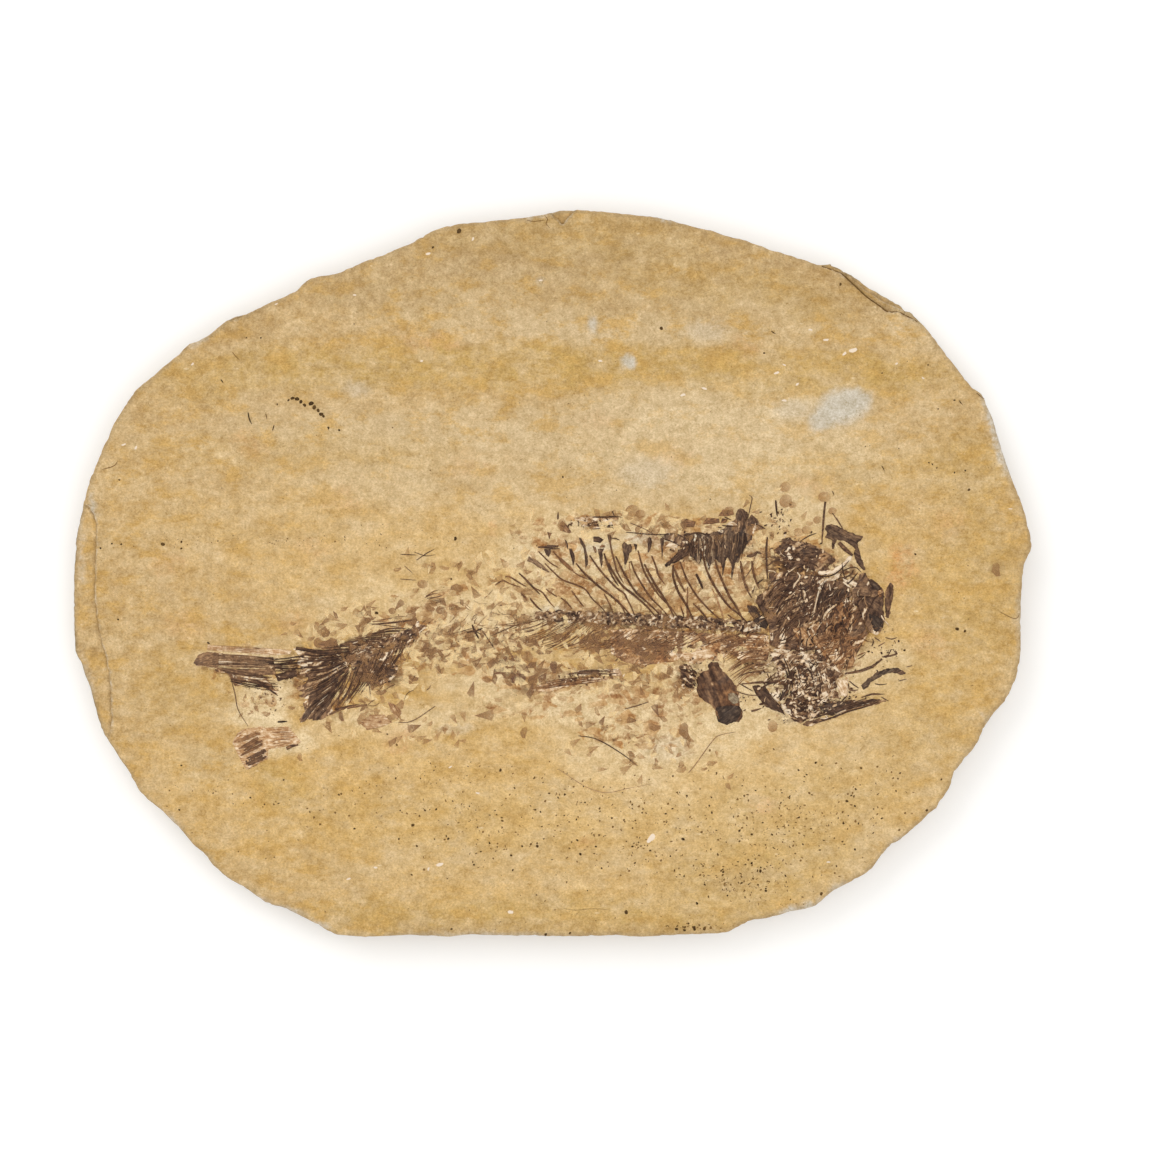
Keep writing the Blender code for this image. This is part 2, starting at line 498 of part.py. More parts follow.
COLUMN_LINE = [(-4.2, -10.6), (8.0, -11.0), (20.0, -11.5), (34.0, -12.2), (46.0, -13.0), (50.0, -13.4)]
NEURAL_SPINES = [
    [(-12.6, -1.8), (-10.2, -3.0), (-7.9, -3.7), (-3.5, -4.4)],
    [(-10.7, -0.9), (-9.0, -2.1), (-7.0, -3.3), (-4.3, -3.9)],
    [(-8.2, -0.3), (-6.7, -1.8), (-4.9, -3.6), (-2.9, -4.7), (-1.7, -6.5), (0.0, -8.3), (1.2, -10.6)],
    [(-7.9, -4.7), (-6.4, -5.9), (-4.9, -7.4), (-2.9, -9.1), (-1.8, -10.6)],
    [(0.0, -4.9), (1.8, -5.9), (2.9, -7.1), (3.8, -8.2), (4.6, -10.6)],
    [(4.5, -4.3), (5.9, -6.2), (7.0, -7.7), (7.8, -8.8), (8.4, -10.8)],
    [(-5.8, 3.5), (-4.1, 2.6), (-2.0, 1.1), (0.0, -0.3), (1.8, -1.8), (4.1, -2.8), (6.2, -3.3),
     (7.9, -4.2), (9.1, -5.3), (10.3, -7.1), (11.2, -10.8)],
    [(-3.5, 5.2), (-2.0, 3.8), (0.0, 2.0), (2.0, 1.1), (4.0, 0.2), (6.0, -0.2)],
    [(-0.4, 5.6), (1.8, 3.8), (3.5, 2.1), (5.0, 0.7), (6.2, -0.1), (7.6, -0.9), (10.3, -2.2)],
    [(6.0, 2.0), (7.3, 0.7), (8.8, -0.8), (10.3, -2.1), (11.7, -3.7), (13.8, -5.3), (15.8, -7.1),
     (17.2, -8.6), (18.2, -11.2)],
    [(9.5, 4.6), (10.3, 2.9), (11.7, 0.8), (12.9, -0.9), (14.7, -2.5), (17.6, -4.6), (19.0, -6.6),
     (20.8, -11.2)],
    [(12.9, 4.6), (13.8, 2.3), (14.7, 0.5), (16.4, -1.8), (18.2, -3.7), (20.5, -5.6), (22.6, -7.2),
     (24.5, -11.4)],
    [(14.7, 4.9), (15.3, 3.5), (16.0, 1.4), (17.0, -0.6), (18.8, -3.0), (20.4, -4.6), (22.6, -7.0)],
    [(16.3, 3.5), (17.6, 0.5), (18.8, -1.2), (19.9, -3.0), (21.1, -4.6), (23.2, -6.4), (26.2, -11.4)],
    [(19.9, 2.3), (20.5, 0.2), (21.7, -1.8), (23.2, -3.9), (24.3, -5.6), (25.8, -7.5), (28.0, -11.6)],
    [(21.7, 4.6), (22.6, 2.1), (23.5, 0.0), (24.9, -2.1), (26.4, -4.2), (27.9, -5.9), (29.3, -7.8),
     (31.4, -11.8)],
    [(24.9, 3.2), (26.1, 1.1), (27.3, -1.2), (28.6, -5.0), (30.3, -9.6)],
    [(29.9, 0.8), (30.5, -1.2), (31.4, -4.2), (32.3, -6.8), (34.2, -12.0)],
    [(31.0, 2.0), (31.9, -0.6), (33.4, -4.4), (34.6, -7.6), (36.1, -12.0)],
    [(33.0, 1.4), (34.2, -2.6), (35.6, -5.4), (37.4, -7.5), (39.4, -9.6), (41.4, -12.5)],
    [(35.9, -0.3), (37.3, -3.3), (39.3, -5.9), (41.2, -8.4), (43.4, -12.5)],
    [(38.4, 0.4), (39.2, -1.0), (40.2, -3.0), (41.1, -4.9), (42.2, -7.1), (44.0, -8.8), (46.6, -12.8)],
    [(41.0, 1.8), (41.7, -0.4), (42.5, -2.5), (43.4, -4.7), (44.3, -6.5), (45.8, -8.6), (47.8, -12.8)],
]
SPINE_WIDTHS = (0.42, 0.5, 0.55)


def along_line(line, distance):
    """The place at a distance, in millimetres, along a line of points."""
    for start, end in zip(line, line[1:]):
        step = Vector(end) - Vector(start)
        if distance <= step.length:
            return Vector(start) + step.normalized() * distance
        distance -= step.length
    return Vector(line[-1])


def build_backbone():
    """The column is one tube that swells at each joint between vertebrae; the spines are joined to it."""
    total = sum((Vector(end) - Vector(start)).length for start, end in zip(COLUMN_LINE, COLUMN_LINE[1:]))
    count = int(total / VERTEBRA_LENGTH)
    path = [tuple(along_line(COLUMN_LINE, total * step / (2 * count))) for step in range(2 * count + 1)]
    widths = [2 * (VERTEBRA_WAIST if step % 2 else VERTEBRA_RADIUS) for step in range(2 * count + 1)]
    backbone = bone_rod("backbone", path, widths, dark, sides=2, crushed=CRUSHED)
    spines = bpy.data.collections.new("neural_spines")
    cutters.children.link(spines)
    for number, spine in enumerate(NEURAL_SPINES, start=1):
        name = f"neural_spine_{number:02d}"
        cutter = add_object(name, rod_mesh(name, spine, SPINE_WIDTHS), None, spines)
        hide_as_cutter(cutter)
    union = backbone.modifiers.new("grown_on_spines", "BOOLEAN")
    union.operation = "UNION"
    union.solver = "EXACT"
    union.operand_type = "COLLECTION"
    union.collection = spines


build_backbone()


# The trunk: the dark bones of the nape, the supports of the back fin, ribs, rays and the belly plate

TRUNK_PLATES = {
    "nape_bones": ([
        (26.9, 10.1), (29.5, 9.9), (32.0, 9.6), (34.0, 10.0), (36.0, 10.0), (38.0, 9.6), (41.0, 10.4),
        (43.0, 11.2), (44.0, 12.5), (45.5, 13.5), (46.2, 16.0), (47.3, 16.1), (48.8, 15.2), (49.0, 13.5),
        (49.8, 14.6), (51.2, 13.6), (53.0, 11.0), (50.6, 10.6), (49.7, 8.3), (48.3, 6.8), (47.4, 4.6),
        (46.4, 2.6), (45.7, 2.4), (45.0, -1.6), (44.4, 2.2), (43.7, 3.8), (43.1, 2.4), (42.5, 2.3),
        (41.6, 2.6), (40.8, 3.4), (39.8, 2.2), (39.0, 1.2), (38.4, 3.0), (37.6, 4.3), (36.6, 1.6),
        (35.4, 3.6), (33.5, 4.4), (31.6, 3.0), (29.8, 2.2), (28.6, 1.4), (28.0, 2.0), (29.6, 3.4),
        (31.4, 5.6), (32.6, 6.3), (31.0, 7.2), (29.0, 8.1), (27.9, 8.6),
    ], dark, 80, 2.4),
    "dorsal_fin_rays": ([
        (4.0, 13.7), (8.5, 14.2), (14.6, 14.3), (15.2, 15.6), (15.7, 14.3), (17.7, 13.8), (16.2, 13.2),
        (14.4, 13.0), (15.3, 11.9), (14.8, 11.3), (10.0, 10.9), (9.4, 11.7), (6.0, 11.6), (8.6, 12.6),
    ], dark, 3, 1.4),
    "rib_fan": ([
        (14.5, -14.4), (20.0, -14.2), (30.0, -14.8), (40.0, -15.4), (49.0, -15.8), (53.8, -15.6),
        (53.9, -18.4), (53.6, -21.6), (47.0, -21.4), (44.2, -19.8), (42.0, -21.4), (40.0, -21.6),
        (38.6, -20.6), (36.5, -19.6), (34.0, -19.8), (31.0, -21.5), (27.0, -22.2), (22.0, -23.0),
        (18.0, -22.0), (15.0, -20.0),
    ], brown, 24, 2.6),
    "belly_plate": ([
        (38.9, -22.7), (39.7, -22.1), (41.4, -22.4), (42.4, -24.2), (44.3, -26.1), (46.0, -28.2),
        (46.6, -30.2), (46.9, -33.0), (47.5, -34.4), (47.5, -36.0), (46.6, -37.3), (44.0, -37.6),
        (41.5, -36.9), (40.8, -35.5), (40.7, -34.3), (39.8, -33.2), (38.0, -32.0), (36.8, -31.0),
        (36.0, -29.6), (36.1, -26.2), (36.9, -25.0), (38.8, -24.2),
    ], dark, 110, 2.6),
    "belly_splinters": ([
        (31.6, -23.0), (34.0, -22.8), (35.4, -24.0), (35.6, -26.0), (35.5, -29.2), (33.4, -28.2),
        (31.9, -27.2), (32.2, -25.2),
    ], dark, None, 1.3),
    "anal_fin_rays_front": ([
        (3.0, -25.4), (7.0, -24.2), (11.0, -24.0), (16.4, -23.8), (17.2, -24.6), (17.6, -25.5),
        (16.8, -25.9), (13.0, -25.6), (7.0, -25.7),
    ], dark, 6, 1.4),
    "anal_fin_rays_back": ([
        (-5.0, -28.6), (0.0, -26.8), (5.0, -26.3), (10.0, -26.2), (14.6, -26.2), (13.2, -27.0),
        (6.0, -28.0), (2.0, -29.0), (-1.0, -29.8), (-5.6, -29.4),
    ], brown, 9, 1.6),
    "fin_support_3": ([
        (6.7, 9.1), (7.6, 8.0), (8.9, 7.3), (9.5, 6.8), (8.9, 5.8), (8.7, 1.6), (8.3, 1.3), (8.0, 4.6),
        (7.5, 6.2), (6.9, 7.0),
    ], dark, 80, 1.2),
    "fin_support_4": ([
        (9.9, 9.4), (12.2, 9.2), (13.6, 8.4), (13.6, 6.4), (12.7, 5.6), (12.6, 1.7), (12.1, 1.4),
        (11.9, 4.4), (11.2, 5.6), (10.3, 6.4),
    ], dark, 85, 1.3),
    "fin_support_6": ([
        (17.6, 7.4), (18.4, 7.9), (20.2, 7.2), (20.0, 6.0), (19.3, 4.2), (18.7, 2.4), (18.2, 4.0),
        (17.8, 5.6),
    ], dark, 85, 1.2),
}
for seed, (name, (outline, finish, angle, spacing)) in enumerate(TRUNK_PLATES.items(), start=41):
    bone_plate(name, outline, finish, ridge_angle=angle, spacing=spacing, seed=seed)

TRUNK_RODS = {
    "fin_support_1": ([(3.1, 8.3), (3.4, 7.2), (3.8, 6.1)], (0.5, 0.9, 0.5), dark),
    "fin_support_2": ([(4.3, 5.9), (4.8, 4.2), (5.3, 2.3)], (0.7, 0.9, 0.4), dark),
    "fin_support_5": ([(14.2, 9.6), (14.6, 8.0), (15.1, 5.7)], (0.9, 0.8, 0.4), dark),
    "fin_support_7": ([(21.0, 7.4), (20.8, 6.4), (20.6, 5.3)], (0.7, 0.5, 0.3), dark),
    "fin_support_8": ([(24.2, 9.0), (24.1, 7.2), (23.9, 5.2)], (1.0, 1.0, 0.4), dark),
    "fin_support_9": ([(27.1, 8.0), (27.2, 7.2), (27.4, 6.2)], (0.8, 0.7, 0.4), dark),
    "nape_spine_1": ([(47.0, 1.8), (47.5, 0.0), (48.3, -3.6), (49.8, -6.2)], (0.5, 0.6, 0.4), dark),
    "nape_spine_2": ([(49.8, 2.9), (50.4, -0.9), (51.5, -3.6)], (0.5, 0.5, 0.4), dark),
    "nape_spine_3": ([(53.8, 9.0), (53.5, 6.4), (53.5, 2.3), (53.7, -1.2)], (0.3, 0.6, 0.35), dark),
    "back_stick": ([(-3.6, 6.5), (-1.0, 6.6), (1.5, 6.7)], (0.35, 0.6, 0.5), dark),
    "loose_rib": ([(-17.4, -14.6), (-15.8, -17.0), (-14.1, -19.6)], (0.4, 0.45, 0.3), dark),
}
for name, (path, widths, finish) in TRUNK_RODS.items():
    bone_rod(name, path, widths, finish)


# The tail: the last vertebrae, the fan of plates behind them and what is left of the two fin lobes

TAIL_PLATES = {
    "tail_vertebrae": ([
        (-31.7, -13.3), (-33.2, -12.9), (-33.5, -11.9), (-34.2, -13.0), (-36.0, -14.1), (-38.0, -15.0),
        (-42.0, -15.8), (-46.0, -16.6), (-49.0, -17.8), (-50.8, -19.3), (-51.2, -21.0), (-50.4, -23.0),
        (-49.9, -25.0), (-48.4, -26.6), (-46.0, -27.6), (-43.0, -27.8), (-40.7, -27.1), (-38.6, -24.4),
        (-39.0, -23.0), (-40.4, -21.8), (-39.8, -19.5), (-37.5, -19.0), (-35.8, -18.4), (-34.8, -17.2),
        (-33.4, -15.0), (-32.6, -14.2),
    ], dark, 22, 1.9),
    "tail_fan": ([
        (-64.9, -19.0), (-63.0, -18.6), (-60.9, -19.4), (-58.5, -19.4), (-56.0, -20.2), (-52.0, -20.0),
        (-51.6, -21.2), (-50.9, -23.2), (-50.6, -24.9), (-52.8, -25.2), (-53.8, -28.2), (-54.3, -30.5),
        (-55.5, -32.8), (-54.8, -34.4), (-56.0, -35.8), (-58.0, -36.9), (-60.3, -36.5), (-61.6, -36.6),
        (-62.9, -37.9), (-63.3, -36.5), (-62.0, -34.6), (-62.4, -32.6), (-61.2, -31.6), (-64.0, -30.8),
        (-62.5, -30.0), (-64.6, -28.7), (-61.6, -27.6), (-61.0, -26.2), (-63.4, -25.4), (-62.6, -23.6),
        (-64.0, -22.6), (-63.4, -20.6),
    ], dark, 15, 2.0),
    "upper_tail_lobe": ([
        (-89.7, -22.5), (-88.2, -20.4), (-86.6, -19.9), (-83.0, -20.1), (-80.0, -20.6), (-74.0, -21.0),
        (-70.0, -21.9), (-69.6, -22.8), (-67.7, -23.0), (-69.0, -24.2), (-75.0, -23.6), (-80.0, -23.6),
        (-82.5, -23.0), (-86.0, -23.3), (-89.0, -23.1),
    ], dark, -6, 1.7),
    "upper_tail_rays": ([
        (-86.0, -23.8), (-84.0, -23.9), (-80.0, -24.2), (-76.0, -24.9), (-71.2, -26.0), (-71.0, -26.8),
        (-68.4, -30.1), (-69.2, -30.3), (-73.5, -28.2), (-76.0, -27.0), (-78.4, -28.3), (-79.7, -28.2),
        (-80.2, -26.5), (-81.0, -25.1), (-83.4, -24.9),
    ], brown, -14, 1.7),
    "tail_ray_stub": ([
        (-69.4, -25.4), (-69.2, -26.2), (-66.8, -26.7), (-63.9, -25.9), (-63.6, -24.9), (-64.4, -23.9),
        (-66.6, -24.5),
    ], dark, 15, 1.4),
    "lower_tail_lobe": ([
        (-80.0, -42.0), (-79.4, -40.8), (-78.0, -39.3), (-76.0, -38.6), (-72.3, -38.3), (-71.9, -40.0),
        (-73.0, -42.2), (-74.5, -43.3), (-76.5, -44.2), (-78.7, -44.9), (-79.3, -43.7),
    ], brown, 15, 1.5),
    "lower_tail_tip": ([
        (-77.6, -46.3), (-75.0, -44.9), (-73.4, -43.9), (-72.4, -43.0), (-71.4, -44.0), (-71.1, -45.2),
        (-71.3, -46.6), (-73.5, -47.8), (-76.0, -49.3), (-77.0, -48.6),
    ], dark, 24, 1.5),
}
for seed, (name, (outline, finish, angle, spacing)) in enumerate(TAIL_PLATES.items(), start=71):
    bone_plate(name, outline, finish, ridge_angle=angle, spacing=spacing, seed=seed)

TAIL_RODS = {
    "tail_spine_1": ([(-45.8, -12.9), (-40.0, -12.4), (-34.0, -11.6)], (0.3, 0.5, 0.4)),
    "haemal_spine_1": ([(-51.8, -25.4), (-52.7, -28.4), (-53.8, -33.2)], (0.4, 0.45, 0.35)),
    "haemal_spine_2": ([(-50.2, -26.2), (-50.6, -29.2), (-51.6, -32.6)], (0.35, 0.35, 0.3)),
    "tail_base_ray": ([(-54.2, -34.1), (-50.4, -33.1), (-46.2, -32.5)], (0.5, 0.35, 0.25)),
    "tail_splint": ([(-66.5, -43.9), (-65.0, -43.2), (-63.6, -42.9)], (0.8, 0.7, 0.4)),
}
for name, (path, widths) in TAIL_RODS.items():
    bone_rod(name, path, widths, dark)
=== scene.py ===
"""The looks of a fossil fish, crushed flat on its hand-trimmed slab of laminated limestone.

The slab lies on its back with +Z up, the fish's head towards +X and its back fin towards +Y. Places on the
bedding plane are in millimetres of the real slab and are turned into metres where a mesh is made.
"""
import math
import random

import bmesh
import bpy
import numpy as np
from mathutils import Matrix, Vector, kdtree, noise
from mathutils.bvhtree import BVHTree
from mathutils.geometry import delaunay_2d_cdt


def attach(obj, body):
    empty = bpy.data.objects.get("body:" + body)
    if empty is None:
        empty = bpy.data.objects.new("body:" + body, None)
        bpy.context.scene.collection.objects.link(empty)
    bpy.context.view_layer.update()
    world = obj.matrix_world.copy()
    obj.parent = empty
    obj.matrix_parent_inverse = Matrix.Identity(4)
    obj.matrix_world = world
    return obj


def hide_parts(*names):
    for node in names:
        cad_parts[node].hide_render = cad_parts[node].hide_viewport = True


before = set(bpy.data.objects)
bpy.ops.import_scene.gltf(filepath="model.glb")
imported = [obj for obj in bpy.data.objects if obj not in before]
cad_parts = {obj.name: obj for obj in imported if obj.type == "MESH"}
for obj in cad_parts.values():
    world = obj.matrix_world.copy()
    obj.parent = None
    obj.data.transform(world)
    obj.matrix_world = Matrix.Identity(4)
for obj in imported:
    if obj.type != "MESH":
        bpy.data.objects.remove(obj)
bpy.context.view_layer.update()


# The slab: one piece of fine-grained limestone, split along its bedding and trimmed to an oval by hammer
# blows round its edge. Its face is a bedding plane, with ledges at the rim where thinner beds have flaked
# off; the wall shows the beds in section, and the back is another bedding plane.

MM = 0.001
# Sizes of the slab in millimetres: half its length and width, its face's height, the height at which its
# outline is whole, how its rim is rounded, and the spacing of the points on its face, back and ledges
HALF_LENGTH = 120.0
HALF_WIDTH = 91.0
FACE_HEIGHT = 12.0
WHOLE_OUTLINE_HEIGHT = 9.25
RIM_ROUNDING = 0.4
COARSE_GRID = 1.0
FINE_GRID = 0.52
BACK_GRID = 4.0
LEDGE_STEP = 0.45
# How far the points of the face and of the back keep from the rim
FACE_MARGIN = 0.4
BACK_MARGIN = 5.5
# Points along the rim, rows of them down the wall, and the radius that turns an angle into a length of rim
RIM_POINTS = 860
WALL_ROWS = 20
MEAN_RADIUS = 105.0
# The wall's depth behind the outline: its mean, its beds, and its large and small breaks
WALL_DEPTH, BED_DEPTH, LARGE_BREAKS, SMALL_BREAKS = 0.25, 0.22, 0.30, 0.12
# Where rays start, in metres: outside the slab's rim and above everything that lies on it
OUTSIDE = 0.2
ABOVE = 0.02
# The ovals round the fish where the face has the fine grid: middle x, middle y, half width, half height
FISH_FIELD = [
    (66, -12, 27, 33), (22, -14, 48, 34), (-28, -17, 34, 24), (-72, -31, 23, 20),
]


def welded_copy(node):
    """A CAD node's triangles as one welded mesh, to measure or to copy."""
    shape = bmesh.new()
    shape.from_mesh(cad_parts[node].data)
    bmesh.ops.remove_doubles(shape, verts=shape.verts, dist=1e-6)
    shape.normal_update()
    return shape


def rough(x, y, z, feature):
    """Smooth noise from -1 to 1 whose lumps are about one feature wide; all in millimetres."""
    return noise.fractal((x / feature, y / feature, z / feature), 0.8, 2.1, 4)


slab_shape = welded_copy("limestone_slab")
slab_solid = BVHTree.FromBMesh(slab_shape)


def side_place(turn, height):
    """Where the slab's side stands in plan, seen from its middle at an angle and a height, in millimetres."""
    away = Vector((HALF_LENGTH * math.cos(turn), HALF_WIDTH * math.sin(turn), 0.0)).normalized()
    hit = slab_solid.ray_cast(away * OUTSIDE + Vector((0.0, 0.0, height * MM)), -away)[0]
    return Vector((hit.x, hit.y)) / MM


def turn_of(x, y):
    """The angle under which side_place sees a place."""
    return math.atan2(y / HALF_WIDTH, x / HALF_LENGTH)


def height_at(surface, x, y, beside=None):
    """A surface's height at a place, in millimetres; where it has ended, beside is the answer."""
    hit = surface.ray_cast(Vector((x * MM, y * MM, ABOVE)), Vector((0.0, 0.0, -1.0)))[0]
    return beside if hit is None else hit.z / MM


def bedding_relief(x, y):
    """The uneven surface of the bedding plane: broad swells, small dips and the grain, in millimetres."""
    return 0.10 * rough(x, y, 0.0, 24.0) + 0.05 * rough(x, y, 5.0, 5.0) + 0.025 * rough(x, y, 9.0, 1.3)


def in_fish_field(x, y):
    return any(((x - cx) / rx) ** 2 + ((y - cy) / ry) ** 2 < 1.0 for cx, cy, rx, ry in FISH_FIELD)


def ledge_points():
    """Pairs of points on either side of each ledge's edge, so that the step between them stays sharp, each
    marked 1 at the lip and -1 at the foot for the painted highlight and painted shadow there.
    """
    found = []
    for edge in slab_shape.edges:
        if len(edge.link_faces) != 2:
            continue
        flat, steep = sorted(edge.link_faces, key=lambda face: -face.normal.z)
        ends = [vertex.co / MM for vertex in edge.verts]
        middle = (ends[0] + ends[1]) / 2
        is_lip = flat.normal.z > 0.9 and abs(steep.normal.z) < 0.2
        if not is_lip or steep.calc_center_median().z / MM > middle.z:
            continue
        rim = side_place(turn_of(middle.x, middle.y), WHOLE_OUTLINE_HEIGHT)
        if (rim - middle.xy).length < 0.5:
            continue
        down = Vector((steep.normal.x, steep.normal.y)).normalized()
        steps = max(1, round((ends[1] - ends[0]).length / LEDGE_STEP))
        for step in range(steps):
            place = ends[0].lerp(ends[1], (step + 0.5) / steps)
            shift = 0.22 * rough(place.x, place.y, 3.0, 2.0)
            lip = place.xy + down * (shift - 0.06)
            foot = place.xy + down * (shift + 0.10)
            low = height_at(slab_solid, *(place.xy + down * 0.3))
            if low is not None:
                found.append((lip.x, lip.y, place.z, 1.0))
                found.append((foot.x, foot.y, low, -1.0))
    return found


def rim_outline():
    """The slab's outline, nibbled by small breaks."""
    outline = []
    for index in range(RIM_POINTS):
        place = side_place(math.tau * index / RIM_POINTS, WHOLE_OUTLINE_HEIGHT)
        bite = 0.28 * max(0.0, rough(place.x, place.y, 1.0, 1.6))
        bite += 0.25 * max(0.0, rough(place.x, place.y, 7.0, 6.0))
        outline.append(place - place.normalized() * bite)
    return outline


def grid_points(spacing, low, high, wanted, dice):
    """Shaken points of a square grid that the test wants."""
    points = []
    for row in range(int((high[1] - low[1]) / spacing)):
        for column in range(int((high[0] - low[0]) / spacing)):
            x = low[0] + (column + dice.uniform(0.2, 0.8)) * spacing
            y = low[1] + (row + dice.uniform(0.2, 0.8)) * spacing
            if wanted(x, y):
                points.append((x, y))
    return points


def store_mask(mesh, name, values):
    """Keeps one number for each point of the mesh, which its material reads by name."""
    layer = mesh.attributes.new(name, "FLOAT", "POINT")
    layer.data.foreach_set("value", np.asarray(values, dtype=np.float32))


def slab_mesh():
    """The face as a sheet over shaken grid points, the wall as rings below its rim, and the back."""
    dice = random.Random(3)
    rim = rim_outline()
    edge_ring = [place - place.normalized() * RIM_ROUNDING for place in rim]
    ledges = ledge_points()
    near_ledge = kdtree.KDTree(len(ledges))
    for index, (x, y, _, _) in enumerate(ledges):
        near_ledge.insert((x, y, 0.0), index)
    near_ledge.balance()

    def inside(x, y, margin):
        share = turn_of(x, y) % math.tau / math.tau
        return Vector((x, y)).length < rim[int(share * RIM_POINTS)].length - RIM_ROUNDING - margin

    def is_free(x, y):
        return inside(x, y, FACE_MARGIN) and near_ledge.find((x, y, 0.0))[2] > 0.7 * LEDGE_STEP

    low, high = (-HALF_LENGTH - 1.0, -HALF_WIDTH - 1.0), (HALF_LENGTH + 1.0, HALF_WIDTH + 1.0)
    plan = [(place.x, place.y) for place in edge_ring]
    heights = [height_at(slab_solid, x, y) + bedding_relief(x, y) for x, y in plan]
    marks = {}
    for x, y, z, mark in ledges:
        if inside(x, y, 0.5 * FACE_MARGIN):
            marks[len(plan)] = mark
            plan.append((x, y))
            heights.append(z + bedding_relief(x, y))
    coarse = grid_points(COARSE_GRID, low, high, lambda x, y: not in_fish_field(x, y) and is_free(x, y), dice)
    fine = grid_points(FINE_GRID, low, high, lambda x, y: in_fish_field(x, y) and is_free(x, y), dice)
    for x, y in coarse + fine:
        plan.append((x, y))
        heights.append(height_at(slab_solid, x, y) + bedding_relief(x, y))
    sheet = delaunay_2d_cdt([Vector(place) for place in plan], [], [list(range(RIM_POINTS))], 1, 1e-6)

    shape = bmesh.new()
    top = []
    edge_marks = []
    for place, sources in zip(sheet[0], sheet[3]):
        height = heights[sources[0]] if sources else height_at(slab_solid, place.x, place.y)
        top.append(shape.verts.new((place.x * MM, place.y * MM, height * MM)))
        edge_marks.append(marks.get(sources[0], 0.0) if sources else 0.0)
    for face in sheet[2]:
        shape.faces.new([top[index] for index in face])
    upper = top[:RIM_POINTS]
    for row in range(WALL_ROWS + 1):
        ring = []
        for index, place in enumerate(rim):
            start = heights[index] - RIM_ROUNDING * (1.0 + 0.4 * rough(place.x, place.y, 2.0, 3.0))
            height = start * (1.0 - row / WALL_ROWS)
            side = side_place(math.tau * index / RIM_POINTS, max(0.02, min(height, WHOLE_OUTLINE_HEIGHT)))
            along = math.atan2(place.y, place.x) * MEAN_RADIUS
            bed = BED_DEPTH * noise.noise((along / 40.0, 1.7 * height, 0.0))
            broken = LARGE_BREAKS * rough(side.x, side.y, height * 1.6, 4.0)
            broken += SMALL_BREAKS * rough(side.x, side.y, height, 1.0)
            back = max(0.0, WALL_DEPTH + bed + broken) if row else 0.0
            side = min(side, place, key=lambda spot: spot.length)
            side = side - side.normalized() * back
            ring.append(shape.verts.new((side.x * MM, side.y * MM, height * MM)))
        for index in range(RIM_POINTS):
            after = (index + 1) % RIM_POINTS
            shape.faces.new((upper[index], ring[index], ring[after], upper[after]))
        upper = ring
    foot = [vertex.co.xy / MM for vertex in upper]
    back_points = grid_points(BACK_GRID, low, high, lambda x, y: inside(x, y, BACK_MARGIN), dice)
    foot += [Vector(point) for point in back_points]
    sheet = delaunay_2d_cdt(foot, [], [list(range(RIM_POINTS))], 1, 1e-6)
    back = list(upper)
    for place in sheet[0][RIM_POINTS:]:
        lift = 0.45 * abs(rough(place.x, place.y, 40.0, 26.0))
        back.append(shape.verts.new((place.x * MM, place.y * MM, lift * MM)))
    for face in sheet[2]:
        shape.faces.new([back[index] for index in reversed(face)])
    bmesh.ops.recalc_face_normals(shape, faces=shape.faces)
    mesh = bpy.data.meshes.new("limestone")
    edge_marks += [0.0] * (len(shape.verts) - len(edge_marks))
    shape.to_mesh(mesh)
    shape.free()
    # The ledge marks carry a painted highlight along each lip and a painted shadow along each foot
    store_mask(mesh, "ledge", edge_marks)
    mesh.shade_smooth()
    return mesh


def add_piece(name, mesh):
    piece = bpy.data.objects.new(name, mesh)
    bpy.context.scene.collection.objects.link(piece)
    return piece


slab = add_piece("limestone", slab_mesh())
stone_surface = BVHTree.FromPolygons([vertex.co for vertex in slab.data.vertices],
                                     [face.vertices for face in slab.data.polygons])


def stone_height(x, y):
    """Height of the finished stone face at a place, in millimetres."""
    return height_at(stone_surface, x, y, FACE_HEIGHT)


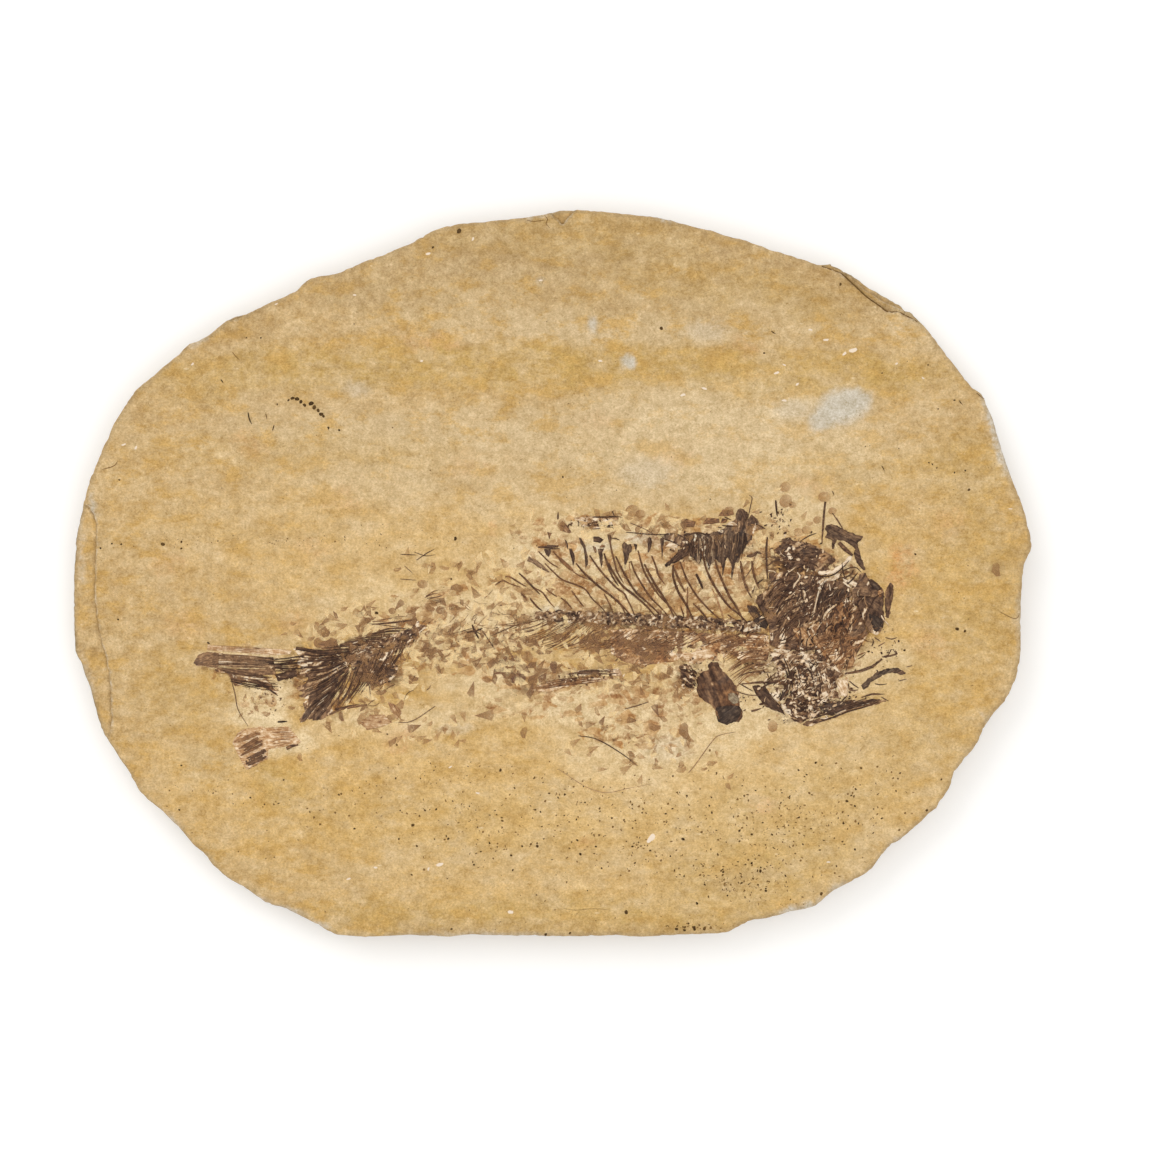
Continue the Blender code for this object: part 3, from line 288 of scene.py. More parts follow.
# Where the stone's tints lie: soft spots of middle x, middle y, half width, half height, turn in degrees and
# strength. They are stored on the face as one mask for each tint, and the stone's material breaks them up.
TINTS = {
    "ochre": [
        (-20, 51.5, 95, 6, 1, 0.95), (66, 49.5, 40, 6, 2, 0.85), (-80, 49, 20, 6, 12, 0.5),
        (45, 72, 40, 6, -9, 0.5), (4, 84, 40, 7, 0, 0.5), (0, -86, 70, 6, 0, 0.8),
        (52, -74, 26, 10, 12, 0.75), (-68, -53, 8, 6, -30, 0.8), (106, -4, 13, 24, 0, 0.55),
        (104, 26, 10, 12, 20, 0.5), (-60, 30, 40, 5, 0, 0.35), (-88, -28, 18, 12, 10, 0.4),
        (-20, -62, 60, 8, 0, 0.35), (60, -58, 32, 8, 8, 0.5), (92, -34, 14, 16, 0, 0.35),
        (76, 26, 26, 7, 0, 0.35),
    ],
    "grey": [
        (-25, 36.5, 74, 6, 2, 0.6), (42, 42, 40, 6, 0, 0.75), (-30, 68, 40, 6, -6, 0.75),
        (24, 70, 48, 7, -4, 0.75), (10, 61.5, 60, 3.5, -2, 0.7), (-10, -73, 70, 5, 0, 0.45),
        (-8, 80, 46, 8, 0, 0.9), (60, 68, 24, 7, -28, 0.65), (-86, -48, 8, 6, 0, 0.8),
        (-86, -71, 5, 4, 0, 0.8), (-110, 38, 4, 7, -30, 0.8), (-66, 47, 26, 4, 4, 0.5),
        (40, 26, 44, 8, 0, 0.4), (-46, 24, 44, 6, 0, 0.3), (45, -77, 10, 4, 0, 0.6),
        (-74, 12, 30, 8, 0, 0.25), (80, -44, 16, 8, 10, 0.3),
    ],
    "brown": [
        (-10, 84, 80, 12, 0, 0.75), (66, 76, 26, 9, -30, 0.6), (0, 72, 90, 8, 0, 0.4),
        (-60, 66, 30, 8, 15, 0.4), (-90, 46, 20, 8, 30, 0.35), (111, 1, 1.6, 2.4, 0, 1),
        (-114.5, -19.5, 1.6, 1.2, 0, 0.9), (102.5, 11.2, 1.4, 1.2, 0, 0.7), (106.8, 12.5, 1.2, 1, 0, 0.6),
        (105.3, 7.5, 1.2, 1, 0, 0.6), (100.7, -8.5, 1.4, 1, 0, 0.7), (113.5, -12.6, 1.4, 1, 0, 0.7),
        (45, -77, 8, 3, 5, 0.8), (0, -89, 50, 2, 0, 0.6), (21.5, -68, 2.5, 1.2, 0, 0.4),
        (-80, 64, 14, 3, 20, 0.4),
    ],
    "cream": [
        (24, -66, 70, 22, 0, 0.1), (48, 34, 38, 16, 0, 0.3), (50, -44, 50, 24, 0, 0.14),
        (-20, 10, 50, 30, 0, 0.16), (24, -38, 28, 10, -6, 0.55), (-6, -30, 24, 8, -4, 0.5),
        (-34, -38, 14, 5, 0, 0.45), (-20, -12, 22, 9, 8, 0.6), (8, 0, 22, 8, -20, 0.8),
        (36, 2, 18, 11, 0, 0.85), (60, 14, 14, 7, 0, 0.4), (62, -26, 14, 11, 0, 0.7),
        (50, -36, 12, 7, 0, 0.5), (82, -24, 8, 8, 0, 0.45), (-76, -22, 12, 3, -4, 0.9),
        (-72, -34, 8, 7, 0, 0.8), (-68, -43, 8, 3.5, 10, 0.8), (-54, -38, 9, 4, 0, 0.35),
        (70, -2, 10, 12, 0, 0.4), (14, 11, 18, 4, 0, 0.6), (-46, -9, 18, 7, 10, 0.25),
        (18, -48, 16, 5, -4, 0.4), (36, -24, 10, 6, 0, 0.7), (4, -10, 10, 3, -4, 0.7),
    ],
    "film": [
        (28, -17, 22, 5.5, 3, 0.95), (40, -4, 14, 8, -10, 0.6), (26, 1, 16, 7, -10, 0.5),
        (10, -6, 12, 5, -30, 0.9), (47, 0, 8, 8, 0, 0.6), (26, -31, 16, 5, 0, 0.6),
        (-5, -32, 14, 3.5, 0, 0.5), (0, 8, 10, 4, -20, 0.6), (20, -38, 18, 6, -8, 0.45),
        (44, -18, 12, 6, 0, 0.85), (8, -16, 12, 5, 0, 0.6), (26, -9, 20, 3, -3, 0.5),
        (-6, -26, 10, 4.5, 5, 0.45), (2, -27.5, 12, 2.2, 8, 0.5), (-20, -18, 18, 8, 0, 0.3),
        (-38, -20, 12, 8, 20, 0.35), (-46, -22, 8, 6, 20, 0.8), (-58, -28, 8, 9, 20, 0.7),
        (-30, -8, 10, 5, 10, 0.4), (52, -20, 5, 8, 0, 0.7), (36, 8, 12, 5, 0, 0.75), (28, 12, 8, 2.5, 0, 0.6),
        (50, 4, 6, 8, 0, 0.55), (12, 13.5, 9, 2, 0, 0.55), (62, -10, 12, 16, 0, 0.9),
        (72, -12, 9, 12, 0, 0.9), (60, 2, 10, 7, 0, 0.7), (76, -8, 6, 8, 0, 0.8), (62, -27, 8, 8, 0, 0.55),
        (24, -2, 18, 9, -10, 0.25), (-80, -22, 10, 3, 4, 0.35), (34, -25, 4, 4, 0, 0.6),
        (-74, -30, 8, 5, 0, 0.3), (0, 3, 10, 4, -30, 0.25),
    ],
    "sunny": [
        (-20, -54, 95, 24, 0, 0.85), (60, -54, 36, 20, 6, 0.7), (-30, 2, 62, 15, 0, 0.6),
        (90, -12, 22, 44, 0, 0.5), (10, -20, 100, 60, 0, 0.25), (-60, 14, 50, 9, 0, 0.4),
        (14, -70, 80, 20, 0, 0.75), (60, -20, 60, 40, 0, 0.25),
    ],
    "pale": [
        (22, 34, 76, 8, 0, 0.85), (56, 24, 34, 10, 0, 0.6), (0, 22, 62, 8, 0, 0.5), (-62, 37, 34, 6, 0, 0.6),
        (12, 60.5, 44, 4, -1, 0.9), (-14, 38, 60, 3, 2, 0.5), (36, 43, 34, 5, 0, 0.6),
        (88, 66, 14, 6, -40, 0.8), (80, -70, 12, 6, 30, 0.7), (74, -82, 12, 5, 20, 0.6),
        (-20, 66, 26, 3, -4, 0.4),
    ],
    "stain": [
        (62, -7, 12.5, 12, 0, 0.95), (72, -8, 9, 12, 20, 0.9), (58, 2.5, 6, 3.6, -20, 0.8),
        (68, -22, 7, 7, 0, 0.75), (61, -24, 8, 9, 0, 0.5), (66, -34, 9.5, 2.6, 14, 0.75),
        (40, 6, 10, 3.4, 10, 0.8), (22, -12.2, 27, 2, -2.5, 0.9), (36, -17, 15, 3.5, 0, 0.5),
        (50, -19, 5, 7, 0, 0.6), (23, -17.6, 11, 3.2, -4, 0.95), (20, -19.4, 5, 2.4, 0, 0.9),
        (28, -18, 4, 3, 0, 0.9), (-61, -23, 7, 5, 14, 0.8), (-50, -20, 9, 3.6, 26, 0.9),
        (-42.5, -25.4, 5, 3.2, -14, 0.95), (-56, -28, 5, 8, 20, 0.6), (-2, -28, 9, 1.6, 8, 0.5),
        (10, -25, 8, 1.4, 4, 0.6), (-80, -24.6, 8, 1.4, -8, 0.5), (34, -25.5, 3, 4, -20, 0.6),
        (14, -9.2, 4, 1.6, -30, 0.6), (12, 12.8, 6, 1.4, 0, 0.4),
    ],
    "bleached": [
        (72.5, 41.6, 6.5, 4.6, 8, 1), (67.5, 38.4, 4, 3, 20, 0.9), (76, 43.4, 4, 3, 0, 0.9),
        (25, 8.4, 8, 1.8, -4, 0.5), (11, 6.3, 5.5, 1.2, 4, 0.45), (0.6, -9.1, 3.4, 0.8, -4, 0.4),
        (18.7, 52.8, 2.2, 1.8, -30, 1), (10.2, 62.4, 1.7, 2, 20, 0.9), (39, 61, 5.4, 3, 0, 0.3),
        (29, -44, 7, 4, 0, 0.25), (-3, 73.2, 1, 1, 0, 0.5), (60, 41, 5, 3, 0, 0.35), (-49, 46, 4, 2, 0, 0.35),
        (-115, 17, 1, 2.5, 10, 0.8), (-24, -39, 5, 1.6, 0, 0.3), (24, 25, 8, 4, 0, 0.3),
    ],
    "rusty": [
        (87.5, 1.5, 4.5, 5.5, 0, 1), (-14.5, 11, 1.6, 1.6, 0, 1), (-39, -41, 4, 3, 0, 0.9),
        (52.5, -57.5, 3, 2, 0, 0.8), (8.5, -67.5, 2.5, 1.6, 0, 0.7), (-96, 2, 5, 3, 0, 0.35),
        (-60, 6, 6, 3, 0, 0.3), (-30, 58, 9, 3, 0, 0.4), (30, 30, 5, 3, 0, 0.35), (80, -20, 4, 6, 0, 0.35),
        (-92, -14, 5, 3, 0, 0.4), (48, 57, 6, 3, 0, 0.4), (-52, 18, 5, 3, 0, 0.35), (-20, 26, 6, 3, 0, 0.3),
        (94, -18, 5, 4, 0, 0.4), (64, 22, 6, 3, 0, 0.35), (-64, -12, 5, 3, 0, 0.35), (12, 38, 5, 2.5, 0, 0.3),
        (-76, 32, 5, 3, 0, 0.35), (100, 12, 4, 5, 0, 0.4),
    ],
    # Pale rim marks: bruising of the trimmed edge, and painted highlight where the rounded rim catches the
    # light
    "bruised_and_lit_rim": [
        (111, 34, 1.6, 11, 18, 1), (-74, -84, 6, 3, -35, 0.9), (-66, -84.5, 5, 1.4, -10, 0.7),
        (62, -84, 6, 1.4, 10, 0.9), (71, -79, 3, 1.4, 30, 0.6), (-58, -88, 3, 1.2, -20, 0.6),
        (86, -68, 3, 1.2, 40, 0.6), (-95, -62, 3, 1.2, -45, 0.6), (30, 88.4, 5, 0.8, -6, 0.7),
        (-4, 89.4, 4, 0.8, 10, 0.5), (-118, 4, 0.9, 9, 0, 0.45), (-88, 58.5, 4, 1, 35, 0.6),
        (109, -37, 1, 4, 40, 0.5), (116.5, -12, 0.8, 9, 0, 0.4), (-20, -90.4, 20, 0.8, 0, 0.5),
        (-116.5, -24, 1, 6, 15, 0.4),
    ],
    "speckled": [
        (10, -64, 80, 16, -4, 0.7), (40, -76, 22, 10, 8, 1), (60, -60, 26, 12, 10, 0.8),
        (-60, 8, 60, 3, 0, 0.8), (34, -88, 10, 3, 0, 1), (92, 0, 20, 34, 0, 0.3), (-76, -56, 20, 5, -8, 0.8),
        (0, -56, 60, 6, 0, 0.6), (-90, 10, 24, 30, 0, 0.2),
    ],
}


# Tints whose spots are small, so that they are frayed without being shifted about
SMALL_TINTS = ("bruised_and_lit_rim", "bleached", "brown", "stain")
# The wall starts this far inside the outline, fades over this width, and takes in all below this height
WALL_START = 0.25
WALL_FADE = 0.5
WALL_TOP = 9.0


def tint_mask(places, spots):
    """The strength of a tint at each place, 0 to 1."""
    mask = np.zeros(len(places))
    for x, y, half_width, half_height, turn, strength in spots:
        turn = math.radians(turn)
        dx = places[:, 0] - x
        dy = places[:, 1] - y
        along = (dx * math.cos(turn) + dy * math.sin(turn)) / half_width
        across = (dy * math.cos(turn) - dx * math.sin(turn)) / half_height
        here = strength * np.clip(1.35 - along ** 2 - across ** 2, 0.0, 1.0)
        mask = 1.0 - (1.0 - mask) * (1.0 - here)
    return mask


def tint_slab(mesh):
    """Writes the tint masks, shifted about by noise so that no spot keeps an even outline."""
    places = np.empty(len(mesh.vertices) * 3)
    mesh.vertices.foreach_get("co", places)
    places = places.reshape(-1, 3) / MM
    wander = np.array([(rough(x, y, 11.0, 7.0), rough(x, y, 17.0, 7.0)) for x, y, z in places])
    fray = np.array([(rough(x, y, 21.0, 1.8), rough(x, y, 27.0, 1.8)) for x, y, z in places])
    shifted = places[:, :2] + 2.4 * wander + 0.7 * fray
    for name, spots in TINTS.items():
        spot_places = places[:, :2] + 0.8 * fray if name in SMALL_TINTS else shifted
        store_mask(mesh, name, tint_mask(spot_places, spots))
    rim_radius = [place.length for place in rim_outline()]
    turns = np.arctan2(places[:, 1] / HALF_WIDTH, places[:, 0] / HALF_LENGTH) % math.tau
    rim_here = np.array(rim_radius)[(turns / math.tau * RIM_POINTS).astype(int) % RIM_POINTS]
    from_rim = rim_here - np.hypot(places[:, 0], places[:, 1])
    wall = np.clip(1.0 - (from_rim - WALL_START) / WALL_FADE, 0.0, 1.0)
    wall[places[:, 2] < WALL_TOP] = 1.0
    store_mask(mesh, "wall", wall)


tint_slab(slab.data)


def feed(tree, node, inputs):
    """Fills a node's inputs: a socket is linked, and any other value is set on the input."""
    for key, value in inputs.items():
        if isinstance(value, bpy.types.NodeSocket):
            tree.links.new(value, node.inputs[key])
        else:
            node.inputs[key].default_value = value


def place_node(tree, kind, inputs=None, **settings):
    """Adds a node with its settings and its inputs."""
    made = tree.nodes.new(kind)
    for name, value in settings.items():
        setattr(made, name, value)
    feed(tree, made, inputs or {})
    return made


# How much brighter the light is than the colours were picked for
LIGHT_GAIN = 1.14


def linear(red, green, blue):
    """A colour given 0 to 255, as the linear colour that looks like it in this light."""
    steps = [value / 255.0 for value in (red, green, blue)]
    steps = [s / 12.92 if s <= 0.04045 else ((s + 0.055) / 1.055) ** 2.4 for s in steps]
    return (*[s / LIGHT_GAIN for s in steps], 1.0)


def blend_colours(tree, share, first, second, mode="MIX"):
    return place_node(tree, "ShaderNodeMix", {0: share, 6: first, 7: second}, data_type="RGBA",
                      blend_type=mode).outputs[2]


def reach(tree, value, low, high, bottom=0.0, top=1.0):
    """The value moved from low..high to bottom..top and held there."""
    return place_node(tree, "ShaderNodeMapRange", {0: value, 1: low, 2: high, 3: bottom, 4: top}).outputs[0]


def times(tree, first, second, operation="MULTIPLY"):
    return place_node(tree, "ShaderNodeMath", {0: first, 1: second}, operation=operation).outputs[0]


def mask_of(tree, name):
    return place_node(tree, "ShaderNodeAttribute", attribute_name=name).outputs["Fac"]


def mapped(tree, vector, shift=(0.0, 0.0, 0.0), turn=0.0, scale=(1.0, 1.0, 1.0)):
    return place_node(tree, "ShaderNodeMapping", {"Vector": vector, "Location": shift, "Scale": scale,
                                                  "Rotation": (0.0, 0.0, turn)}).outputs[0]


def grain_noise(tree, vector, feature, detail=4.0, roughness=0.55):
    """Noise whose lumps are about one feature wide, in metres."""
    return place_node(tree, "ShaderNodeTexNoise",
                      {"Vector": vector, "Scale": 1.0 / feature, "Detail": detail,
                       "Roughness": roughness}).outputs[0]


def new_material(name, specular):
    """A material, with its tree, its shader, and the place on the piece for its patterns."""
    made = bpy.data.materials.new(name)
    made.use_nodes = True
    tree = made.node_tree
    shader = tree.nodes["Principled BSDF"]
    shader.inputs["Specular IOR Level"].default_value = specular
    return made, tree, shader, place_node(tree, "ShaderNodeTexCoord").outputs["Object"]


def bump_of(tree, strength, distance, height):
    return place_node(tree, "ShaderNodeBump", {"Strength": strength, "Distance": distance,
                                               "Height": height}).outputs[0]


def shader_group(name, vectors, numbers, outputs):
    """A node group with named inputs for vectors and for numbers, and outputs that are numbers."""
    tree = bpy.data.node_groups.new(name, "ShaderNodeTree")
    for label in vectors:
        tree.interface.new_socket(label, in_out="INPUT", socket_type="NodeSocketVector")
    for label, value in numbers.items():
        socket = tree.interface.new_socket(label, in_out="INPUT", socket_type="NodeSocketFloat")
        socket.default_value = value
    for label in outputs:
        tree.interface.new_socket(label, in_out="OUTPUT", socket_type="NodeSocketFloat")
    return tree, tree.nodes.new("NodeGroupInput").outputs, tree.nodes.new("NodeGroupOutput")


def speck_group():
    """Node group: round specks scattered in the stone. Puts out where they are."""
    tree, entry, leave = shader_group("scattered_specks", ["Vector"],
                                      {"Spacing": 0.002, "Size": 0.1, "Share": 0.3}, ["Speck"])
    scale = times(tree, 1.0, entry["Spacing"], "DIVIDE")
    cells = place_node(tree, "ShaderNodeTexVoronoi", {"Vector": entry["Vector"], "Scale": scale})
    own = place_node(tree, "ShaderNodeSeparateColor", {0: cells.outputs["Color"]})
    size = times(tree, entry["Size"], reach(tree, own.outputs[1], 0.0, 1.0, 0.35, 1.0))
    away = times(tree, cells.outputs["Distance"], size, "DIVIDE")
    dot = reach(tree, away, 0.75, 1.1, 1.0, 0.0)
    chosen = times(tree, own.outputs[0], entry["Share"], "LESS_THAN")
    feed(tree, leave, {"Speck": times(tree, dot, chosen)})
    return tree


def film_group():
    """Node group: angular flakes of thin film with gaps between them. Puts out how dense the film is."""
    tree, entry, leave = shader_group("film_flakes", ["Vector"], {"Spacing": 0.002, "Share": 0.5}, ["Film"])
    scale = times(tree, 1.0, entry["Spacing"], "DIVIDE")
    drift = place_node(tree, "ShaderNodeTexNoise", {"Vector": entry["Vector"], "Scale": 700.0,
                                                    "Detail": 3.0}).outputs["Color"]
    bent = place_node(tree, "ShaderNodeVectorMath", {0: drift, 1: (0.0016, 0.0016, 0.0), 2: entry["Vector"]},
                      operation="MULTIPLY_ADD").outputs[0]
    cells = place_node(tree, "ShaderNodeTexVoronoi", {"Vector": bent, "Scale": scale})
    edges = place_node(tree, "ShaderNodeTexVoronoi", {"Vector": bent, "Scale": scale},
                       feature="DISTANCE_TO_EDGE").outputs["Distance"]
    own = place_node(tree, "ShaderNodeSeparateColor", {0: cells.outputs["Color"]})
    chosen = times(tree, own.outputs[0], entry["Share"], "LESS_THAN")
    whole = times(tree, chosen, reach(tree, edges, 0.015, 0.06))
    offset = place_node(tree, "ShaderNodeVectorMath", {0: bent, 1: cells.outputs["Position"]},
                        operation="SUBTRACT").outputs[0]
    away = place_node(tree, "ShaderNodeVectorMath", {0: offset, 1: (0.8, 0.6, 0.0)},
                      operation="DOT_PRODUCT").outputs["Value"]
    dense = times(tree, whole, reach(tree, times(tree, away, scale), -0.5, 0.4, 0.5, 1.0))
    feed(tree, leave, {"Film": times(tree, dense, reach(tree, own.outputs[1], 0.0, 1.0, 0.7, 1.1))})
    return tree


SPECKS = speck_group()
FILM_FLAKES = film_group()

STONE_PALE = linear(226, 196, 147)
STONE_MID = linear(214, 180, 126)
STONE_DARK = linear(197, 159, 100)
STONE_OCHRE = linear(203, 166, 94)
STONE_GREY = linear(212, 184, 137)
STONE_BROWN = linear(176, 142, 93)
STONE_CREAM = linear(245, 221, 178)
STONE_BLEACHED = linear(214, 206, 190)
STONE_RUST = linear(220, 158, 92)
# Pale grey-white of the rim's bruises, also used as painted highlight on the rim and along the ledges' lips
STONE_BRUISE_AND_HIGHLIGHT = linear(220, 210, 193)
STONE_SUNNY = linear(228, 188, 120)
STONE_SOFT = linear(221, 194, 150)
STONE_SPECK = linear(84, 68, 46)
FILM_BROWN = linear(146, 98, 54)
STAIN_BROWN = linear(98, 70, 48)
BLOTCH_OCHRE = linear(211, 168, 94)
BLOTCH_GREY = linear(222, 194, 149)
WALL_TAN = linear(188, 160, 118)
WALL_GREY = linear(150, 134, 107)

# The stone's patterns: width of their lumps in metres, layers of detail, and roughness
CLOUD = (0.0065, 7.0, 0.66)
MOTTLE = (0.0019, 5.0, 0.72)
GRAIN = (0.0005, 2.0, 0.6)
BLOTCHES = (0.0044, 7.0, 0.68)
VEINS = (0.0013, 5.0, 0.7)
CRINKLES = (0.0026, 5.0, 0.92)
WRINKLES = (0.0034, 3.0, 0.6)

# The film's layers on the stone: spacing of its flakes in metres, turn, share of flakes and how they dye it
FILM_LAYERS = [
    (0.0030, 0.4, 0.58, (0.76, 0.56, 0.37, 1.0)), (0.0022, 1.5, 0.44, (0.66, 0.49, 0.37, 1.0)),
    (0.0014, 2.6, 0.46, (0.66, 0.54, 0.45, 1.0)),
]


def stone_material():
    """Ochre limestone: clouded grain, bands and stains from the masks, flecks, beds on the wall, and painted
    shade and highlight at the rim, the ledges and the small relief.
    """
    made, tree, shader, spot = new_material("limestone", 0.3)
    stretched = mapped(tree, spot, scale=(0.55, 1.0, 1.0))
    cloud = grain_noise(tree, stretched, *CLOUD)
    mottle = grain_noise(tree, spot, *MOTTLE)
    fine = grain_noise(tree, spot, *GRAIN)
    blotch = grain_noise(tree, mapped(tree, stretched, shift=(0.02, 0.05, 0.0)), *BLOTCHES)
    veins = grain_noise(tree, spot, *VEINS)
    crinkle = grain_noise(tree, spot, *CRINKLES)
    wrinkle = grain_noise(tree, spot, *WRINKLES)
    body = times(tree, times(tree, cloud, 0.5), times(tree, mottle, 0.5), "ADD")

    def tinted(name, tint, pattern, low, high, least, most):
        """The colour so far with a tint where its mask is, as strong as the pattern makes it there."""
        share = times(tree, mask_of(tree, name), reach(tree, pattern, low, high, least, most))
        return blend_colours(tree, share, colour, tint)

    ramp = place_node(tree, "ShaderNodeValToRGB", {0: reach(tree, body, 0.37, 0.63)})
    ramp.color_ramp.elements[0].color = STONE_DARK
    ramp.color_ramp.elements[1].color = STONE_PALE
    ramp.color_ramp.elements.new(0.5).color = STONE_MID
    colour = ramp.outputs[0]
    colour = tinted("sunny", STONE_SUNNY, cloud, 0.3, 0.7, 0.4, 0.9)
    colour = tinted("grey", STONE_GREY, cloud, 0.3, 0.7, 0.35, 0.95)
    colour = tinted("pale", STONE_SOFT, cloud, 0.3, 0.7, 0.4, 0.95)
    colour = tinted("ochre", STONE_OCHRE, body, 0.60, 0.40, 0.3, 0.95)
    colour = tinted("rusty", STONE_RUST, mottle, 0.38, 0.62, 0.1, 0.9)
    colour = blend_colours(tree, reach(tree, blotch, 0.51, 0.62, 0.0, 0.75), colour, BLOTCH_OCHRE)
    colour = blend_colours(tree, reach(tree, blotch, 0.49, 0.36, 0.0, 0.55), colour, BLOTCH_GREY)
    colour = tinted("cream", STONE_CREAM, body, 0.36, 0.54, 0.5, 1.0)
    colour = blend_colours(tree, times(tree, mask_of(tree, "bleached"), 0.85), colour, STONE_BLEACHED)
    colour = tinted("brown", STONE_BROWN, body, 0.62, 0.36, 0.0, 0.8)

    colour = tinted("film", FILM_BROWN, veins, 0.60, 0.42, 0.0, 0.25)
    for spacing, turn, share, dye in FILM_LAYERS:
        flakes = place_node(tree, "ShaderNodeGroup", {
            "Vector": mapped(tree, spot, turn=turn, scale=(0.8, 1.2, 1.0)), "Spacing": spacing,
            "Share": times(tree, mask_of(tree, "film"), share)}, node_tree=FILM_FLAKES)
        dense = times(tree, flakes.outputs[0], reach(tree, veins, 0.35, 0.6, 1.0, 0.7))
        colour = blend_colours(tree, dense, colour, dye, "MULTIPLY")
    colour = tinted("stain", STAIN_BROWN, veins, 0.58, 0.48, 0.0, 0.9)

    dark_specks = place_node(tree, "ShaderNodeGroup", {
        "Vector": spot, "Spacing": 0.0016, "Size": 0.13,
        "Share": reach(tree, mask_of(tree, "speckled"), 0.0, 1.0, 0.012, 0.16)}, node_tree=SPECKS).outputs[0]
    colour = blend_colours(tree, times(tree, dark_specks, 0.8), colour, STONE_SPECK)
    pale_flecks = place_node(tree, "ShaderNodeGroup", {
        "Vector": mapped(tree, spot, (0.03, 0.01, 0.0), 0.5, (0.55, 1.3, 1.0)),
        "Spacing": 0.0021, "Size": 0.2, "Share": 0.10}, node_tree=SPECKS).outputs[0]
    patchy = reach(tree, mottle, 0.40, 0.58, 0.0, 0.6)
    colour = blend_colours(tree, times(tree, pale_flecks, patchy), colour, STONE_CREAM)

    height = place_node(tree, "ShaderNodeSeparateXYZ", {0: spot}).outputs[2]
    level = times(tree, height, times(tree, cloud, 0.0012), "ADD")
    beds = place_node(tree, "ShaderNodeTexNoise", {
        "W": times(tree, level, 1100.0), "Scale": 1.0, "Detail": 3.0, "Roughness": 0.7},
        noise_dimensions="1D").outputs[0]
    section = blend_colours(tree, reach(tree, beds, 0.38, 0.62), WALL_GREY, WALL_TAN)
    section = blend_colours(tree, reach(tree, body, 0.36, 0.62, 0.0, 0.5), section, STONE_MID)
    colour = blend_colours(tree, times(tree, mask_of(tree, "wall"), 0.85), colour, section)
    # Bruising and painted highlight along the rim
    colour = tinted("bruised_and_lit_rim", STONE_BRUISE_AND_HIGHLIGHT, mottle, 0.35, 0.6, 0.2, 0.95)
    # Painted light at the ledges: a pale painted highlight along each step's lip and a brown painted shadow
    # along its foot
    ledge = mask_of(tree, "ledge")
    lip = times(tree, reach(tree, ledge, 0.3, 1.0), reach(tree, mottle, 0.40, 0.62, 0.0, 0.6))
    colour = blend_colours(tree, lip, colour, STONE_BRUISE_AND_HIGHLIGHT)
    foot = times(tree, reach(tree, ledge, -0.1, -0.9), reach(tree, mottle, 0.36, 0.6, 0.95, 0.4))
    colour = blend_colours(tree, foot, colour, STONE_BROWN)

    hairline = times(tree, times(tree, wrinkle, 0.5, "SUBTRACT"), 0.0, "ABSOLUTE")
    hairline = reach(tree, hairline, 0.002, 0.008, 1.0, 0.0)
    hairline = times(tree, hairline, reach(tree, mottle, 0.47, 0.57, 0.0, 0.3))
    # The shade below is partly the stone's own grain and partly painted shade of its small relief; the
    # hairlines are dark marks in it
    shade = times(tree, reach(tree, fine, 0.28, 0.72, 0.80, 1.16), reach(tree, crinkle, 0.3, 0.7, 0.66, 1.34))
    shade = times(tree, shade, hairline, "SUBTRACT")
    # Shade takes most from blue and least from red, so that it stays ochre
    ochre_shade = place_node(tree, "ShaderNodeCombineColor", {
        channel: reach(tree, shade, 0.4, 1.6, 1.0 - 0.6 * pull, 1.0 + 0.6 * pull)
        for channel, pull in enumerate((0.82, 0.97, 1.32))}).outputs[0]
    pits = times(tree, times(tree, crinkle, 3.0), times(tree, fine, 0.5), "ADD")
    feed(tree, shader, {
        "Base Color": blend_colours(tree, 1.0, colour, ochre_shade, "MULTIPLY"),
        "Roughness": reach(tree, mottle, 0.3, 0.7, 0.74, 0.92),
        "Normal": bump_of(tree, 0.8, 0.0004, pits)})
    return made


STONE = stone_material()
slab.data.materials.append(STONE)
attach(slab, "root")
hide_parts("limestone_slab")


# The bone plates: crushed bones of the skull, gill cover, nape, belly and fins, turned to dark brown mineral
# and split into fragments along their fibres, with the pale stone showing in the cracks. Each is grown into
# the bedding plane, so that only its uneven upper face stands proud.

# In millimetres: spacing of the points of a plate and of its outline, how far the outline is frayed, how deep
# a plate's underside and its edge lie in the stone, the least that its face stands proud, the width of the
# cracks, and the width of the slope at its rim
BONE_GRID = 0.27
OUTLINE_STEP = 0.3
OUTLINE_FRAY = 0.22
BURIED = 0.35
EDGE_SUNK = 0.03
LEAST_CROWN = 0.08
CRACK_WIDTH = 0.16
RIM_SLOPE = 0.25


def straight_fibres(angle, fineness=1.0):
    """Fibres that run one way: place along them and across them, in millimetres at a fineness of 1."""
    along, across = fineness * math.cos(math.radians(angle)), fineness * math.sin(math.radians(angle))
    return lambda x, y: (x * along + y * across, y * along - x * across)


def spreading_fibres(focus_x, focus_y, heading, reach_mm):
    """Fibres that fan out of a focus; reach_mm is where their spacing is true."""
    turn = math.radians(heading)

    def place(x, y):
        dx, dy = x - focus_x, y - focus_y
        along = dx * math.cos(turn) + dy * math.sin(turn)
        across = dy * math.cos(turn) - dx * math.sin(turn)
        return math.hypot(dx, dy), math.atan2(across, along) * reach_mm
    return place


